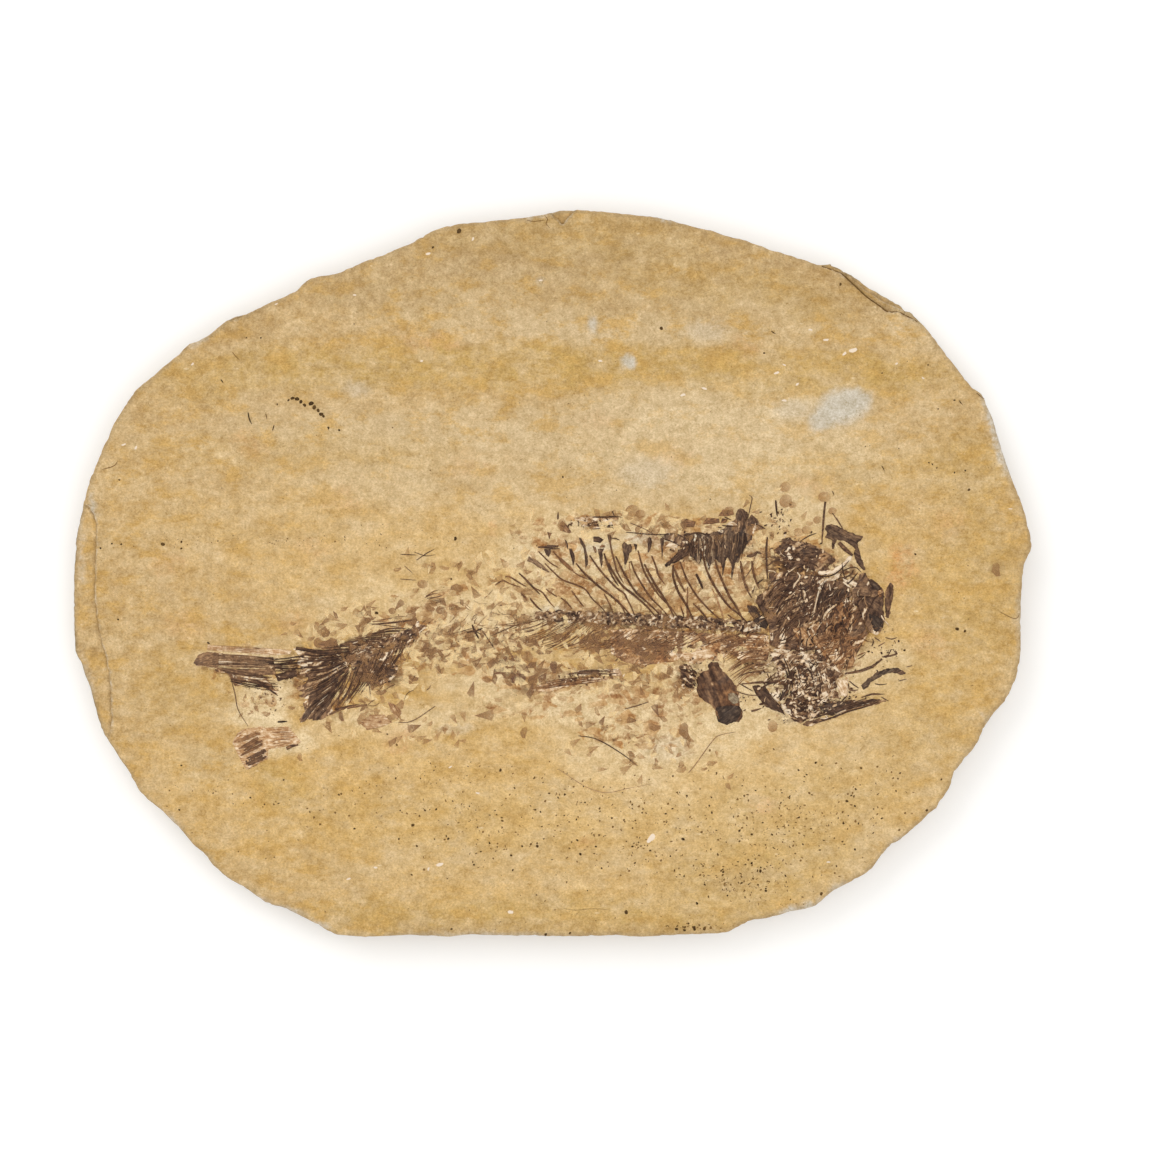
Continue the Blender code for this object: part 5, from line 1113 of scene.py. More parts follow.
# Each facet: tone, warmth (below 0 is slate grey) and outline
FACETS = {
    "belly_facets": [
        (0.5, -0.1, [(-14.4, -23.4), (-13.2, -22.9), (-12.2, -23.5), (-11.5, -23.2), (-11.8, -24.4),
            (-12.6, -25.3), (-13.6, -24.9), (-14.6, -24.7)]),
        (0.52, -0.1, [(-10.2, -25.6), (-8.6, -25.2), (-7.6, -26), (-6.6, -25.8), (-6.9, -27.2), (-8.2, -27.9),
            (-9.2, -27.3), (-10, -27.4)]),
        (0.56, 0, [(-0.6, -22.6), (0.6, -22.3), (1.4, -23), (0.9, -23.9), (-0.3, -24)]),
        (0.82, 0.7, [(32.4, -20.8), (34.5, -19), (37, -18.6), (39, -18.8), (40.6, -20.4), (38.5, -21.8),
            (36.5, -22.8), (34, -22.6)]),
        (0.2, -0.9, [(40.9, -33.6), (43.2, -33.2), (46.6, -33.2), (47.2, -34.2), (47, -35.4), (46, -37),
            (43.6, -38), (41.4, -37.2), (40.8, -35)]),
        (0.66, -1, [(43.9, -30.2), (45.2, -29.9), (46.7, -31), (46.4, -32.4), (45, -32.7), (44, -31.6)]),
    ],
    "fin_supports": [
        (0.3, -0.3, [(-2.1, 6), (-0.5, 6), (-0.4, 5), (-0.9, 4), (-1.7, 4.6)]),
        (0.3, -0.3, [(3, 8.5), (3.5, 8), (3.9, 7), (3.9, 5.9), (3.4, 6.6)]),
        (0.28, -0.3, [(4.1, 6.1), (4.8, 6.1), (5.4, 4.8), (5.6, 3.6), (5.2, 1.8), (4.6, 3.8)]),
        (0.28, -0.3, [(6.6, 8.9), (7.2, 8.6), (8.2, 7), (8.8, 4), (8.8, 2.2), (8.3, 1.2), (8, 4.4), (7.8, 6),
            (6.9, 7.6)]),
        (0.34, 0.1, [(10, 6.8), (10.8, 6.4), (11, 5.2), (10.6, 5)]),
        (0.4, 0.5, [(11.8, 6.4), (12.4, 7.1), (13.1, 6.9), (13, 6.3)]),
        (0.3, -0.3, [(11.3, 6), (12.9, 6.2), (12.5, 5.2), (12.6, 2.4), (12.2, 1.2), (11.9, 2.8),
            (11.6, 4.4)]),
        (0.22, 0, [(10.1, 9.2), (11.7, 9.1), (12.9, 8.3), (12, 7.6), (10.3, 7.8)]),
        (0.26, -0.2, [(13.7, 9.6), (14.6, 9.6), (14.8, 8.4), (14.5, 7.4), (14, 7.8)]),
        (0.3, -0.3, [(17.4, 7), (17.9, 7.9), (18.8, 7.1), (19.6, 7.3), (19.9, 6.5), (19.8, 5.4), (19.2, 4.9),
            (18.9, 3.6), (18.2, 1), (17.9, 1.6), (17.9, 3.6), (17.6, 5.2)]),
        (0.3, -0.2, [(20.3, 7.3), (21.2, 7.1), (21.1, 6), (20.8, 5.3), (20.6, 6.4)]),
        (0.26, -0.2, [(23.8, 8.6), (24.2, 9), (24.7, 8.7), (24.9, 7.6), (24.7, 6.6), (24.1, 5.2), (23.8, 5)]),
        (0.28, -0.2, [(26.8, 9.9), (27.7, 9.8), (27.8, 7.8), (27.4, 3.4), (27.2, 6), (27, 7.8)]),
        (0.26, -0.3, [(38.4, 4.4), (40, 4.2), (39.6, 2.2), (39.1, 0.6), (38.8, 2.2)]),
        (0.26, -0.3, [(41.9, 4), (43.3, 4), (43.2, 2), (42.5, -0.9), (42.4, 1.2), (42.1, 2.8)]),
        (0.26, -0.3, [(44.2, 3.6), (45.8, 3.2), (45.4, 1.2), (44.8, -2), (44.7, 0), (44.8, 2)]),
        (0.5, -0.3, [(-6.4, 3), (-5.9, 4.2), (-3.6, 3), (-0.6, 0.2), (-1, 0.1), (-3.8, 1.6), (-5, 2.5)]),
    ],
    "nape_facets": [
        (0.3, -0.1, [(46.2, 15.8), (46.9, 16.2), (48, 15.6), (48.8, 15.2), (48.7, 13.8), (48.4, 12.6),
            (47.6, 13.6)]),
        (0.32, 0, [(49.4, 14), (49.8, 14.6), (50.6, 14), (51.4, 12.8), (51, 12.2)]),
        (0.24, 0, [(28, 1.4), (29.8, 2.6), (31.5, 3.2), (34, 4.4), (34, 6.2), (32.5, 6.2), (31.5, 5.6),
            (30.6, 4)]),
        (0.95, 0, [(43.2, 12.2), (44.4, 12.9), (45.6, 12.6), (46.3, 11.9), (44.8, 11.9)]),
        (0.95, 0, [(41.6, 10.9), (42.7, 10.6), (42.6, 10), (41.5, 10.3)]),
        (0.93, 0, [(37.4, 9.2), (39, 8.8), (38.6, 8.3), (37.4, 8.7)]),
        (0.9, 0, [(28.2, 6.5), (29.4, 7.8), (31.4, 7.2), (31, 6.3)]),
        (0.92, 0, [(32.4, 8), (34.4, 7.9), (34.2, 7.4), (32.6, 7.4)]),
        (0.42, 0.5, [(31.9, 12.4), (33.4, 13.6), (35.8, 12.8), (35.4, 11.4), (33, 11.6)]),
        (0.46, 0.6, [(37.4, 12.2), (38.6, 13.8), (41.6, 13.6), (41.8, 12.6), (39.6, 12.2)]),
        (0.48, 0.5, [(41.4, 14.2), (42.6, 15.9), (45.2, 15.6), (45.4, 14.6), (43.6, 14.2)]),
        (0.44, 0.8, [(42, 12.4), (42.4, 13.7), (43.8, 13.4), (43.4, 12.6)]),
        (0.5, 0.4, [(1.8, 12.2), (2.4, 13), (3.4, 12.4), (4.8, 10.2), (4.2, 9.9), (2, 10.6)]),
        (0.5, 0.4, [(-1.3, 10.2), (-0.2, 10), (-0.8, 8.4)]),
        (0.95, 0, [(12.6, 12.2), (15, 12.1), (14.8, 13.4), (12.8, 13.5)]),
    ],
    "head_facets": [
        (0.33, -0.2, [(55.3, 5.8), (56.4, 6.2), (56.6, 7), (57.3, 7), (57.5, 8.4), (59.6, 8.5), (59.2, 7),
            (58.4, 5.6), (57, 5)]),
        (0.15, 0.1, [(58.1, 3), (60, 3.4), (60.4, 2), (59.4, 0.7), (58.3, 0.8)]),
        (0.28, -0.1, [(62.2, 5.4), (63.4, 6.8), (65.6, 6.4), (67.6, 5.2), (66.6, 3.8), (64.6, 3.8),
            (63, 4.2)]),
        (0.58, 0.5, [(66.6, 5), (68.4, 4.9), (69.2, 4.2), (68.2, 2.9), (67.2, 2.3), (66.2, 3)]),
        (0.98, 0, [(58.9, 5.2), (59.6, 4.6), (60.1, 3.7), (59.5, 3.3), (58.3, 4.2)]),
        (0.46, -0.1, [(68.4, -2), (70.2, -2), (72.2, -2.6), (73.4, -3.6), (72, -4), (70.2, -4), (68.8, -5.2),
            (67.8, -6), (67.8, -3.6)]),
        (0.26, -0.8, [(70.2, -4.2), (72.4, -4), (74.6, -4.7), (73.8, -5.6), (72.2, -6.4), (70.4, -7.8),
            (69.2, -8.6), (69.6, -6.4)]),
        (0.88, -0.2, [(66.1, -2.2), (67.4, -1.4), (68.8, -1.3), (70, -0.9), (71.2, 0), (71.9, -0.2),
            (71.4, -1.2), (70.2, -1.9), (68.7, -2), (67.9, -2.5), (67.2, -4.3), (66.6, -4.3), (66, -3.2)]),
        (0.97, 0, [(66.3, 0.5), (68, 0.6), (70, 0.9), (71.6, 1.8), (73, 2.9), (74, 4.2), (75, 4.4),
            (74.6, 3.2), (73.6, 2.3), (72, 0.9), (70.6, -0.1), (68.6, -0.5), (66.6, -0.4)]),
        (0.97, 0, [(72.4, -1.2), (73.6, -1.8), (74.8, -1.4), (76.2, -2.6), (75.6, -3.6), (74.6, -2.9),
            (73.2, -2.5)]),
        (0.64, 0.9, [(60.1, -14), (61.2, -13.7), (62.7, -15.2), (64.6, -16.7), (65.4, -18.2), (64.1, -18.5),
            (62.1, -17.2), (60.6, -15.7)]),
        (0.6, 0.8, [(65.6, -16.2), (67.1, -18), (68.6, -20.2), (67.9, -21.2), (66.6, -19.2), (65.4, -17.2)]),
        (0.66, 0.8, [(75.1, -18.7), (76.1, -20.4), (75.4, -22.4), (74.6, -23.9), (73.6, -23.2),
            (74.1, -20.8)]),
        (0.97, 0, [(61, -26.2), (61.6, -25.2), (62.6, -25.6), (63.6, -26.4), (63.1, -27.7), (62, -27.5)]),
        (0.97, 0, [(62.6, -20.8), (63.6, -20.4), (64.4, -21.4), (65.6, -22.6), (65.3, -24), (64.2, -24.3),
            (63.6, -22.8), (62.3, -22)]),
        (1, 0, [(73.4, -6.1), (74.1, -6.9), (73.8, -7.9), (73.4, -8.6), (72.8, -8.5), (72.9, -7.6),
            (72.4, -7.3), (72.8, -6.5)]),
        (0.44, -0.1, [(74.6, -4.8), (75.6, -3.6), (77, -2.4), (78.2, -2.2), (79.4, -4.4), (79.8, -5.8),
            (77.8, -5.9), (76, -5.6)]),
        (0.18, -0.6, [(78.8, -1.6), (80.2, -2.3), (81.2, -2.9), (82.2, -4.1), (81.2, -4.4), (80.2, -3.8),
            (79.4, -2.8)]),
        (0.6, 1, [(81.4, -4.2), (82.3, -4.1), (82.2, -6), (81.4, -5.8)]),
        (0.32, -0.1, [(80, -6), (81.6, -6.2), (82.1, -9.6), (80.4, -9.4), (78.4, -8), (77.8, -6.4)]),
        (0.2, -1, [(79, -10.2), (81, -10.6), (82.4, -11.6), (82.9, -12.4), (81.7, -14.5), (80.4, -14.5),
            (79.6, -12.6)]),
        (0.3, 0, [(63.3, -4.6), (65, -4.2), (65.6, -6), (64.9, -10), (63.8, -12), (63.1, -9)]),
        (0.46, 0, [(53, -6.4), (55.4, -5.4), (57, -6), (58.2, -6.2), (57.4, -8), (55, -9), (53.4, -9)]),
        (0.28, 0.1, [(51.2, -5.8), (52.6, -5.2), (52.6, -7.4), (51.6, -8.4), (50.8, -7.4)]),
        (0.16, -0.8, [(50.2, -8.4), (51.6, -10), (53.2, -11.4), (54, -13), (53.4, -14), (51.6, -13.4),
            (50.2, -12)]),
        (0.7, 0.8, [(60.3, -14), (61.6, -16.2), (62.4, -17.5), (63.2, -18.3), (64.8, -18.6), (65.4, -18),
            (64.2, -16.4), (63.5, -14.8), (63.2, -13.9), (61.8, -13.4)]),
        (1, 0, [(65.7, -18.2), (66.4, -18.4), (67.4, -19.9), (66.6, -20), (65.9, -19.3)]),
        (0.97, 0, [(61.7, -18.3), (62.8, -19), (62, -19.4)]),
        (0.97, 0, [(54.3, -15), (55, -15), (55.1, -16.8), (54.4, -16.7)]),
        (0.97, 0, [(57.3, -18), (57.8, -18), (57.7, -19), (58.8, -19.4), (58.6, -19.9), (56, -19.7),
            (55.3, -19), (56.8, -19)]),
        (0.98, 0, [(62.2, -20.2), (63.8, -20.1), (64, -21.4), (65.1, -22.6), (65.9, -23.6), (65.3, -24.6),
            (64.1, -24.6), (63.6, -23.6), (62.8, -21.8)]),
        (0.98, 0, [(61.6, -25), (62.3, -25), (63.6, -26.6), (63.6, -27.6), (62.8, -28), (62, -27.4),
            (61.2, -27.8), (60.5, -27.3), (60.8, -26.2)]),
        (0.98, 0, [(70, -23.2), (70.8, -23), (71.9, -24.9), (71, -24.6), (68.6, -24), (68.6, -23.5)]),
        (0.9, 0.4, [(71.4, -26.7), (74, -26.5), (73.8, -29), (73.8, -31), (71.8, -30.6), (71.2, -28.5)]),
        (0.97, 0, [(56.6, -24.7), (57.6, -25), (56.8, -26.2), (56, -26.6), (56.5, -25.6)]),
        (0.98, 0, [(58.6, -33.9), (59.4, -34.1), (59.6, -35.1), (58.7, -35.3), (57.8, -34.4)]),
        (0.98, 0, [(64, -29.6), (65.2, -28.8), (65.3, -29.9), (64.3, -30.1)]),
        (0.97, 0, [(66.2, -33), (67.4, -31.6), (68.4, -31.4), (69.4, -31.9), (67.8, -32.4)]),
        (0.96, 0, [(54.2, -30), (56.9, -29.6), (56.6, -31.9), (56.2, -32.2), (55.4, -31.6)]),
        (0.98, 0, [(66.9, -25.4), (67.9, -25), (68.7, -25.9), (68.2, -27), (67.3, -26.9)]),
        (0.97, 0, [(67.3, -29.9), (68.4, -29.6), (69, -30.4), (68.2, -31.2), (67.3, -30.8)]),
        (0.96, 0, [(57, -32.6), (58.2, -32.7), (58.6, -33.8), (57.5, -34.2)]),
        (0.97, 0, [(61.3, -29.4), (62.6, -29.3), (63, -30.3), (62, -30.9), (61.2, -30.3)]),
        (0.97, 0, [(63.6, -33.1), (64.9, -33), (65.2, -34), (64.2, -34.5)]),
        (0.98, 0, [(65, -25.9), (66, -25.8), (66.2, -27), (65.3, -27.3)]),
        (0.26, -0.2, [(50, -28.3), (53.3, -28.4), (54.2, -30), (56.3, -32.6), (57.4, -34), (58.3, -35.6),
            (57.2, -35), (55.6, -34), (53.4, -33.6), (51.8, -31.6), (50.6, -30)]),
        (0.26, -0.1, [(58.2, -26.8), (59, -25.4), (60, -24), (60.2, -26), (59.4, -28.6), (58.6, -31),
            (57.8, -29.6)]),
        (0.24, -0.6, [(66.6, -33.6), (68.4, -32.5), (69.8, -32.1), (74, -32.1), (76.6, -32.8), (77.6, -33.2),
            (75, -33.8), (72.6, -34), (71.8, -34.8), (70, -35.7), (68.9, -35.6), (68, -34.8), (67, -34.2)]),
        (0.26, 0, [(66.2, -20.6), (68.4, -20.2), (68.8, -21.4), (67.6, -22), (66, -21.8)]),
        (0.2, 0, [(69, -25), (70.2, -25.1), (70.2, -26), (69, -26)]),
        (0.2, 0, [(70, -27), (70.8, -27.2), (71.2, -28.6), (70.4, -28.8)]),
    ],
    "tail_facets": [
        (0.54, 0.1, [(-89.8, -22.6), (-88.5, -20.4), (-86.3, -19.7), (-83.4, -20.1), (-83.6, -23.9),
            (-86.4, -23.3)]),
        (0.5, 0.1, [(-84.4, -23.6), (-78, -24), (-69.4, -24), (-69.2, -25.3), (-74.4, -25.9),
            (-80.8, -25.4)]),
        (0.84, 0.9, [(-86.2, -17.9), (-80, -18.6), (-72, -18.9), (-65.1, -19.2), (-65.6, -20.3), (-70, -20.6),
            (-78, -19.9), (-86.3, -19.3)]),
        (0.36, -0.2, [(-63.2, -37.4), (-61.8, -34.6), (-58, -30), (-56.8, -30.4), (-60, -34.6),
            (-62, -37.2)]),
        (0.36, -0.2, [(-60, -36.9), (-58.6, -33.6), (-55.4, -29.6), (-54.4, -30.6), (-56.8, -34.6),
            (-58.6, -36.8)]),
        (0.28, -0.3, [(-44.8, -24.3), (-43.6, -23), (-41.6, -22.6), (-39.8, -23.2), (-39.2, -24.6),
            (-40.2, -26), (-42.2, -26.6), (-44.2, -25.9)]),
        (0.14, 0, [(-73.6, -21), (-69.7, -21), (-69.6, -22.9), (-73.5, -22.7)]),
        (0.42, 0.4, [(-81.1, -25.2), (-79.4, -28.3), (-76.5, -26.7)]),
        (0.28, 0, [(-69.3, -25.4), (-64.5, -24.4), (-64.1, -25.8), (-68.7, -27.1)]),
        (0.25, -0.1, [(-43.9, -24), (-42.4, -23.4), (-40.3, -24.2), (-40.4, -25.4), (-42, -25.9),
            (-43.8, -25.2)]),
        (0.80, 1, [(-80.1, -42.4), (-76.5, -38.9), (-72.4, -38.7), (-66, -38.4), (-62.8, -42.2), (-64, -43),
            (-71, -44), (-71.2, -46.5), (-76.5, -49.2), (-77.4, -47.8), (-78.8, -45.1)]),
        (0.42, 0.1, [(-77.2, -47), (-73.6, -44), (-71.6, -43.4), (-71.2, -46.3), (-76.5, -49)]),
        (0.2, 0.1, [(-64.1, -18.4), (-57.1, -19.4), (-49.6, -21.2), (-49.7, -22), (-57.2, -20.4),
            (-64.2, -19.2)]),
        (0.56, 0.4, [(-58.7, -17.6), (-56, -16.7), (-52.4, -16.9), (-51.7, -18.2), (-54, -19.2),
            (-57.6, -19)]),
        (0.72, 0.5, [(-48.3, -37.4), (-45.4, -35.4), (-42.1, -35.4), (-40, -37.4), (-43, -38.6),
            (-46.3, -39.3)]),
        (0.68, 0.5, [(-41.3, -32), (-38.8, -33.3), (-37.6, -34.9), (-38.8, -36.6), (-40.4, -34.4)]),
        (0.45, 0.3, [(-55.8, -35.6), (-52.5, -34.2), (-46.3, -33.2), (-46.4, -32.7), (-52.5, -33.6),
            (-55.9, -35.1)]),
    ],
}


def face_tree(pieces):
    """The pieces' faces together, to find what lies uppermost at a place."""
    corners, faces = [], []
    for piece in pieces:
        first = len(corners)
        corners += [vertex.co for vertex in piece.data.vertices]
        faces += [[first + index for index in face.vertices] for face in piece.data.polygons]
    return BVHTree.FromPolygons(corners, faces)


laid_surface = face_tree([slab, column] + plates)


def laid_height(x, y):
    """Height of the stone or of the bone that lies on it, in millimetres."""
    return height_at(laid_surface, x, y, FACE_HEIGHT)


def facet_mesh(name, facets):
    """Closed flakes over their outlines, as one mesh."""
    dice = random.Random(len(facets))
    shape = bmesh.new()
    tones, warms, fibre_places = [], [], []
    for tone, warm, corners in facets:
        corners = [Vector(corner) for corner in corners]
        spans = [far - near for near in corners for far in corners]
        way = max(spans, key=lambda span: span.length).normalized()
        outline, floor = frayed_floor(corners, 0.1, 0.0)
        low = [min(place[axis] for place in outline) for axis in (0, 1)]
        high = [max(place[axis] for place in outline) + FACET_GRID for axis in (0, 1)]
        rim = kdtree.KDTree(len(outline))
        for index, place in enumerate(outline):
            rim.insert((place.x, place.y, 0.0), index)
        rim.balance()

        def wanted(x, y):
            return rim.find((x, y, 0.0))[2] > 0.5 * FACET_GRID and is_within(x, y, outline)

        def height_of(index, place):
            return laid_height(place.x, place.y) + FACET_CROWN * (0.4 if index < len(outline) else 1.0)

        inner = [Vector(place) for place in grid_points(FACET_GRID, low, high, wanted, dice)]
        places = closed_sheet(shape, outline, floor, inner, height_of)
        tones += [tone + 0.12 * noise.noise((place.x * 0.8, place.y * 0.8, 4.0)) for place in places]
        warms += [warm] * len(places)
        fibre_places += [(place.dot(way), place.cross(way)) for place in places]
    return finished_bone(name, shape, tones, warms, fibre_places)


facet_pieces = []
for name, facets in FACETS.items():
    piece = add_piece(name, facet_mesh(name, facets))
    piece.data.materials.append(BONE)
    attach(piece, "root")
    if name == "fin_supports":
        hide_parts(*[node for node in sorted(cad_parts) if node.startswith("fin_support")])
    facet_pieces.append(piece)


# The slivers: hair-thin ribs, fin rays and splinters of bone, laid along the stone singly or in sheaves.
# Each is a line on the stone's face, and Geometry Nodes sweep all of them into tapered rods.

# The spacing of the points along a sliver, in millimetres
SLIVER_STEP = 0.55


def geometry_tree(name, inputs):
    """A Geometry Nodes group with a geometry input and output and further named inputs."""
    tree = bpy.data.node_groups.new(name, "GeometryNodeTree")
    tree.interface.new_socket("Geometry", in_out="INPUT", socket_type="NodeSocketGeometry")
    for label, (kind, value) in inputs.items():
        socket = tree.interface.new_socket(label, in_out="INPUT", socket_type=kind)
        if value is not None:
            socket.default_value = value
    tree.interface.new_socket("Geometry", in_out="OUTPUT", socket_type="NodeSocketGeometry")
    return tree, tree.nodes.new("NodeGroupInput").outputs, tree.nodes.new("NodeGroupOutput").inputs


def named(tree, name, kind="FLOAT"):
    return place_node(tree, "GeometryNodeInputNamedAttribute", {"Name": name}, data_type=kind).outputs[0]


def sliver_tree():
    """Sweeps lines into rods as thick as their points say."""
    tree, entry, leave = geometry_tree("slivers_on_lines", {
        "Sides": ("NodeSocketInt", 6), "Material": ("NodeSocketMaterial", None)})
    lines = place_node(tree, "GeometryNodeMeshToCurve", {"Mesh": entry["Geometry"]}).outputs[0]
    ring = place_node(tree, "GeometryNodeCurvePrimitiveCircle",
                      {"Resolution": entry["Sides"], "Radius": 1.0}).outputs[0]
    swept = place_node(tree, "GeometryNodeCurveToMesh", {
        "Curve": lines, "Profile Curve": ring, "Scale": named(tree, "thickness"),
        "Fill Caps": True}).outputs[0]
    soft = place_node(tree, "GeometryNodeSetShadeSmooth", {"Geometry": swept,
                                                           "Shade Smooth": True}).outputs[0]
    real = place_node(tree, "GeometryNodeRealizeInstances", {"Geometry": soft}).outputs[0]
    done = place_node(tree, "GeometryNodeSetMaterial", {"Geometry": real, "Material": entry["Material"]})
    tree.links.new(done.outputs[0], leave["Geometry"])
    return tree


def grow(name, mesh, tree, values):
    """Runs a Geometry Nodes tree on a mesh and returns the result as a plain new object."""
    source = bpy.data.objects.new(name + "_source", mesh)
    bpy.context.scene.collection.objects.link(source)
    modifier = source.modifiers.new("growth", "NODES")
    modifier.node_group = tree
    for socket in tree.interface.items_tree:
        if socket.in_out == "INPUT" and socket.name in values:
            modifier[socket.identifier] = values[socket.name]
    bpy.context.view_layer.update()
    evaluated = source.evaluated_get(bpy.context.evaluated_depsgraph_get())
    result = bpy.data.meshes.new_from_object(evaluated)
    result.name = name
    bpy.data.objects.remove(source, do_unlink=True)
    return add_piece(name, result)


laid_surface = face_tree([slab, column] + plates + facet_pieces)


def line_mesh(name, slivers):
    """All slivers as one mesh of lines. Each sliver is (width, tone, warmth, points)."""
    places, edges, thickness, tones, warms = [], [], [], [], []
    for width, tone, warm, points in slivers:
        line = smooth_path(points, SLIVER_STEP)
        heights = [laid_height(place.x, place.y) for place in line]
        for index, place in enumerate(line):
            share = index / (len(line) - 1)
            taper = 0.35 + 0.65 * math.sin(math.pi * min(1.0, 0.12 + 0.88 * share)) ** 0.6
            radius = 0.5 * width * taper * (1.0 + 0.25 * noise.noise((place.x * 2, place.y * 2, 8.0)))
            near = heights[max(0, index - 1):index + 2]
            if index:
                edges.append((len(places) - 1, len(places)))
            places.append((place.x * MM, place.y * MM, (sum(near) / len(near) + 0.3 * radius) * MM))
            thickness.append(radius * MM)
            tones.append(tone + 0.14 * noise.noise((place.x * 0.7, place.y * 0.7, 5.0)))
            warms.append(warm)
    mesh = bpy.data.meshes.new(name)
    mesh.from_pydata(places, edges, [])
    store_mask(mesh, "thickness", thickness)
    store_mask(mesh, "tone", np.clip(tones, 0.0, 1.0))
    store_mask(mesh, "warm", warms)
    return mesh


def sheaf(count, starts, ends, bend, width, tone, seed, warm=0.15):
    """Slivers side by side: they start along one line, x, y to x, y, end along another and bow one way."""
    dice = random.Random(seed)
    slivers = []
    for index in range(count):
        share = (index + dice.uniform(0.1, 0.9)) / count
        start = Vector(starts[:2]).lerp(Vector(starts[2:]), share)
        end = Vector(ends[:2]).lerp(Vector(ends[2:]), min(1.0, max(0.0, share + dice.uniform(-0.08, 0.08))))
        cut = dice.uniform(0.0, 0.22)
        end = end.lerp(start, cut)
        start = start.lerp(end, dice.uniform(0.0, 0.25))
        side = Vector((start.y - end.y, end.x - start.x)).normalized()
        points = [start.lerp(end, t) + side * (bend * math.sin(math.pi * t) + dice.uniform(-0.15, 0.15))
                  for t in (0.0, 0.3, 0.6, 1.0)]
        slivers.append((dice.uniform(*width), dice.uniform(*tone), warm, points))
    return slivers


def strewn_slivers(count, oval, length, width, tone, heading, seed, warm=0.15):
    """Short curved slivers that lie about in a soft-edged oval, mostly one way."""
    dice = random.Random(seed)
    x, y, half_width, half_height, turn = oval
    turn = math.radians(turn)
    slivers = []
    for _ in range(count):
        along = max(-1.3, min(1.3, dice.gauss(0.0, 0.5))) * half_width
        across = max(-1.3, min(1.3, dice.gauss(0.0, 0.5))) * half_height
        middle = Vector((x + along * math.cos(turn) - across * math.sin(turn),
                         y + along * math.sin(turn) + across * math.cos(turn)))
        way = math.radians(dice.gauss(heading[0], heading[1]))
        half = Vector((math.cos(way), math.sin(way))) * dice.uniform(*length) / 2
        bow = Vector((-half.y, half.x)) * dice.uniform(-0.35, 0.35)
        slivers.append((dice.uniform(*width), dice.uniform(*tone), warm,
                        [middle - half, middle + bow, middle + half]))
    return slivers


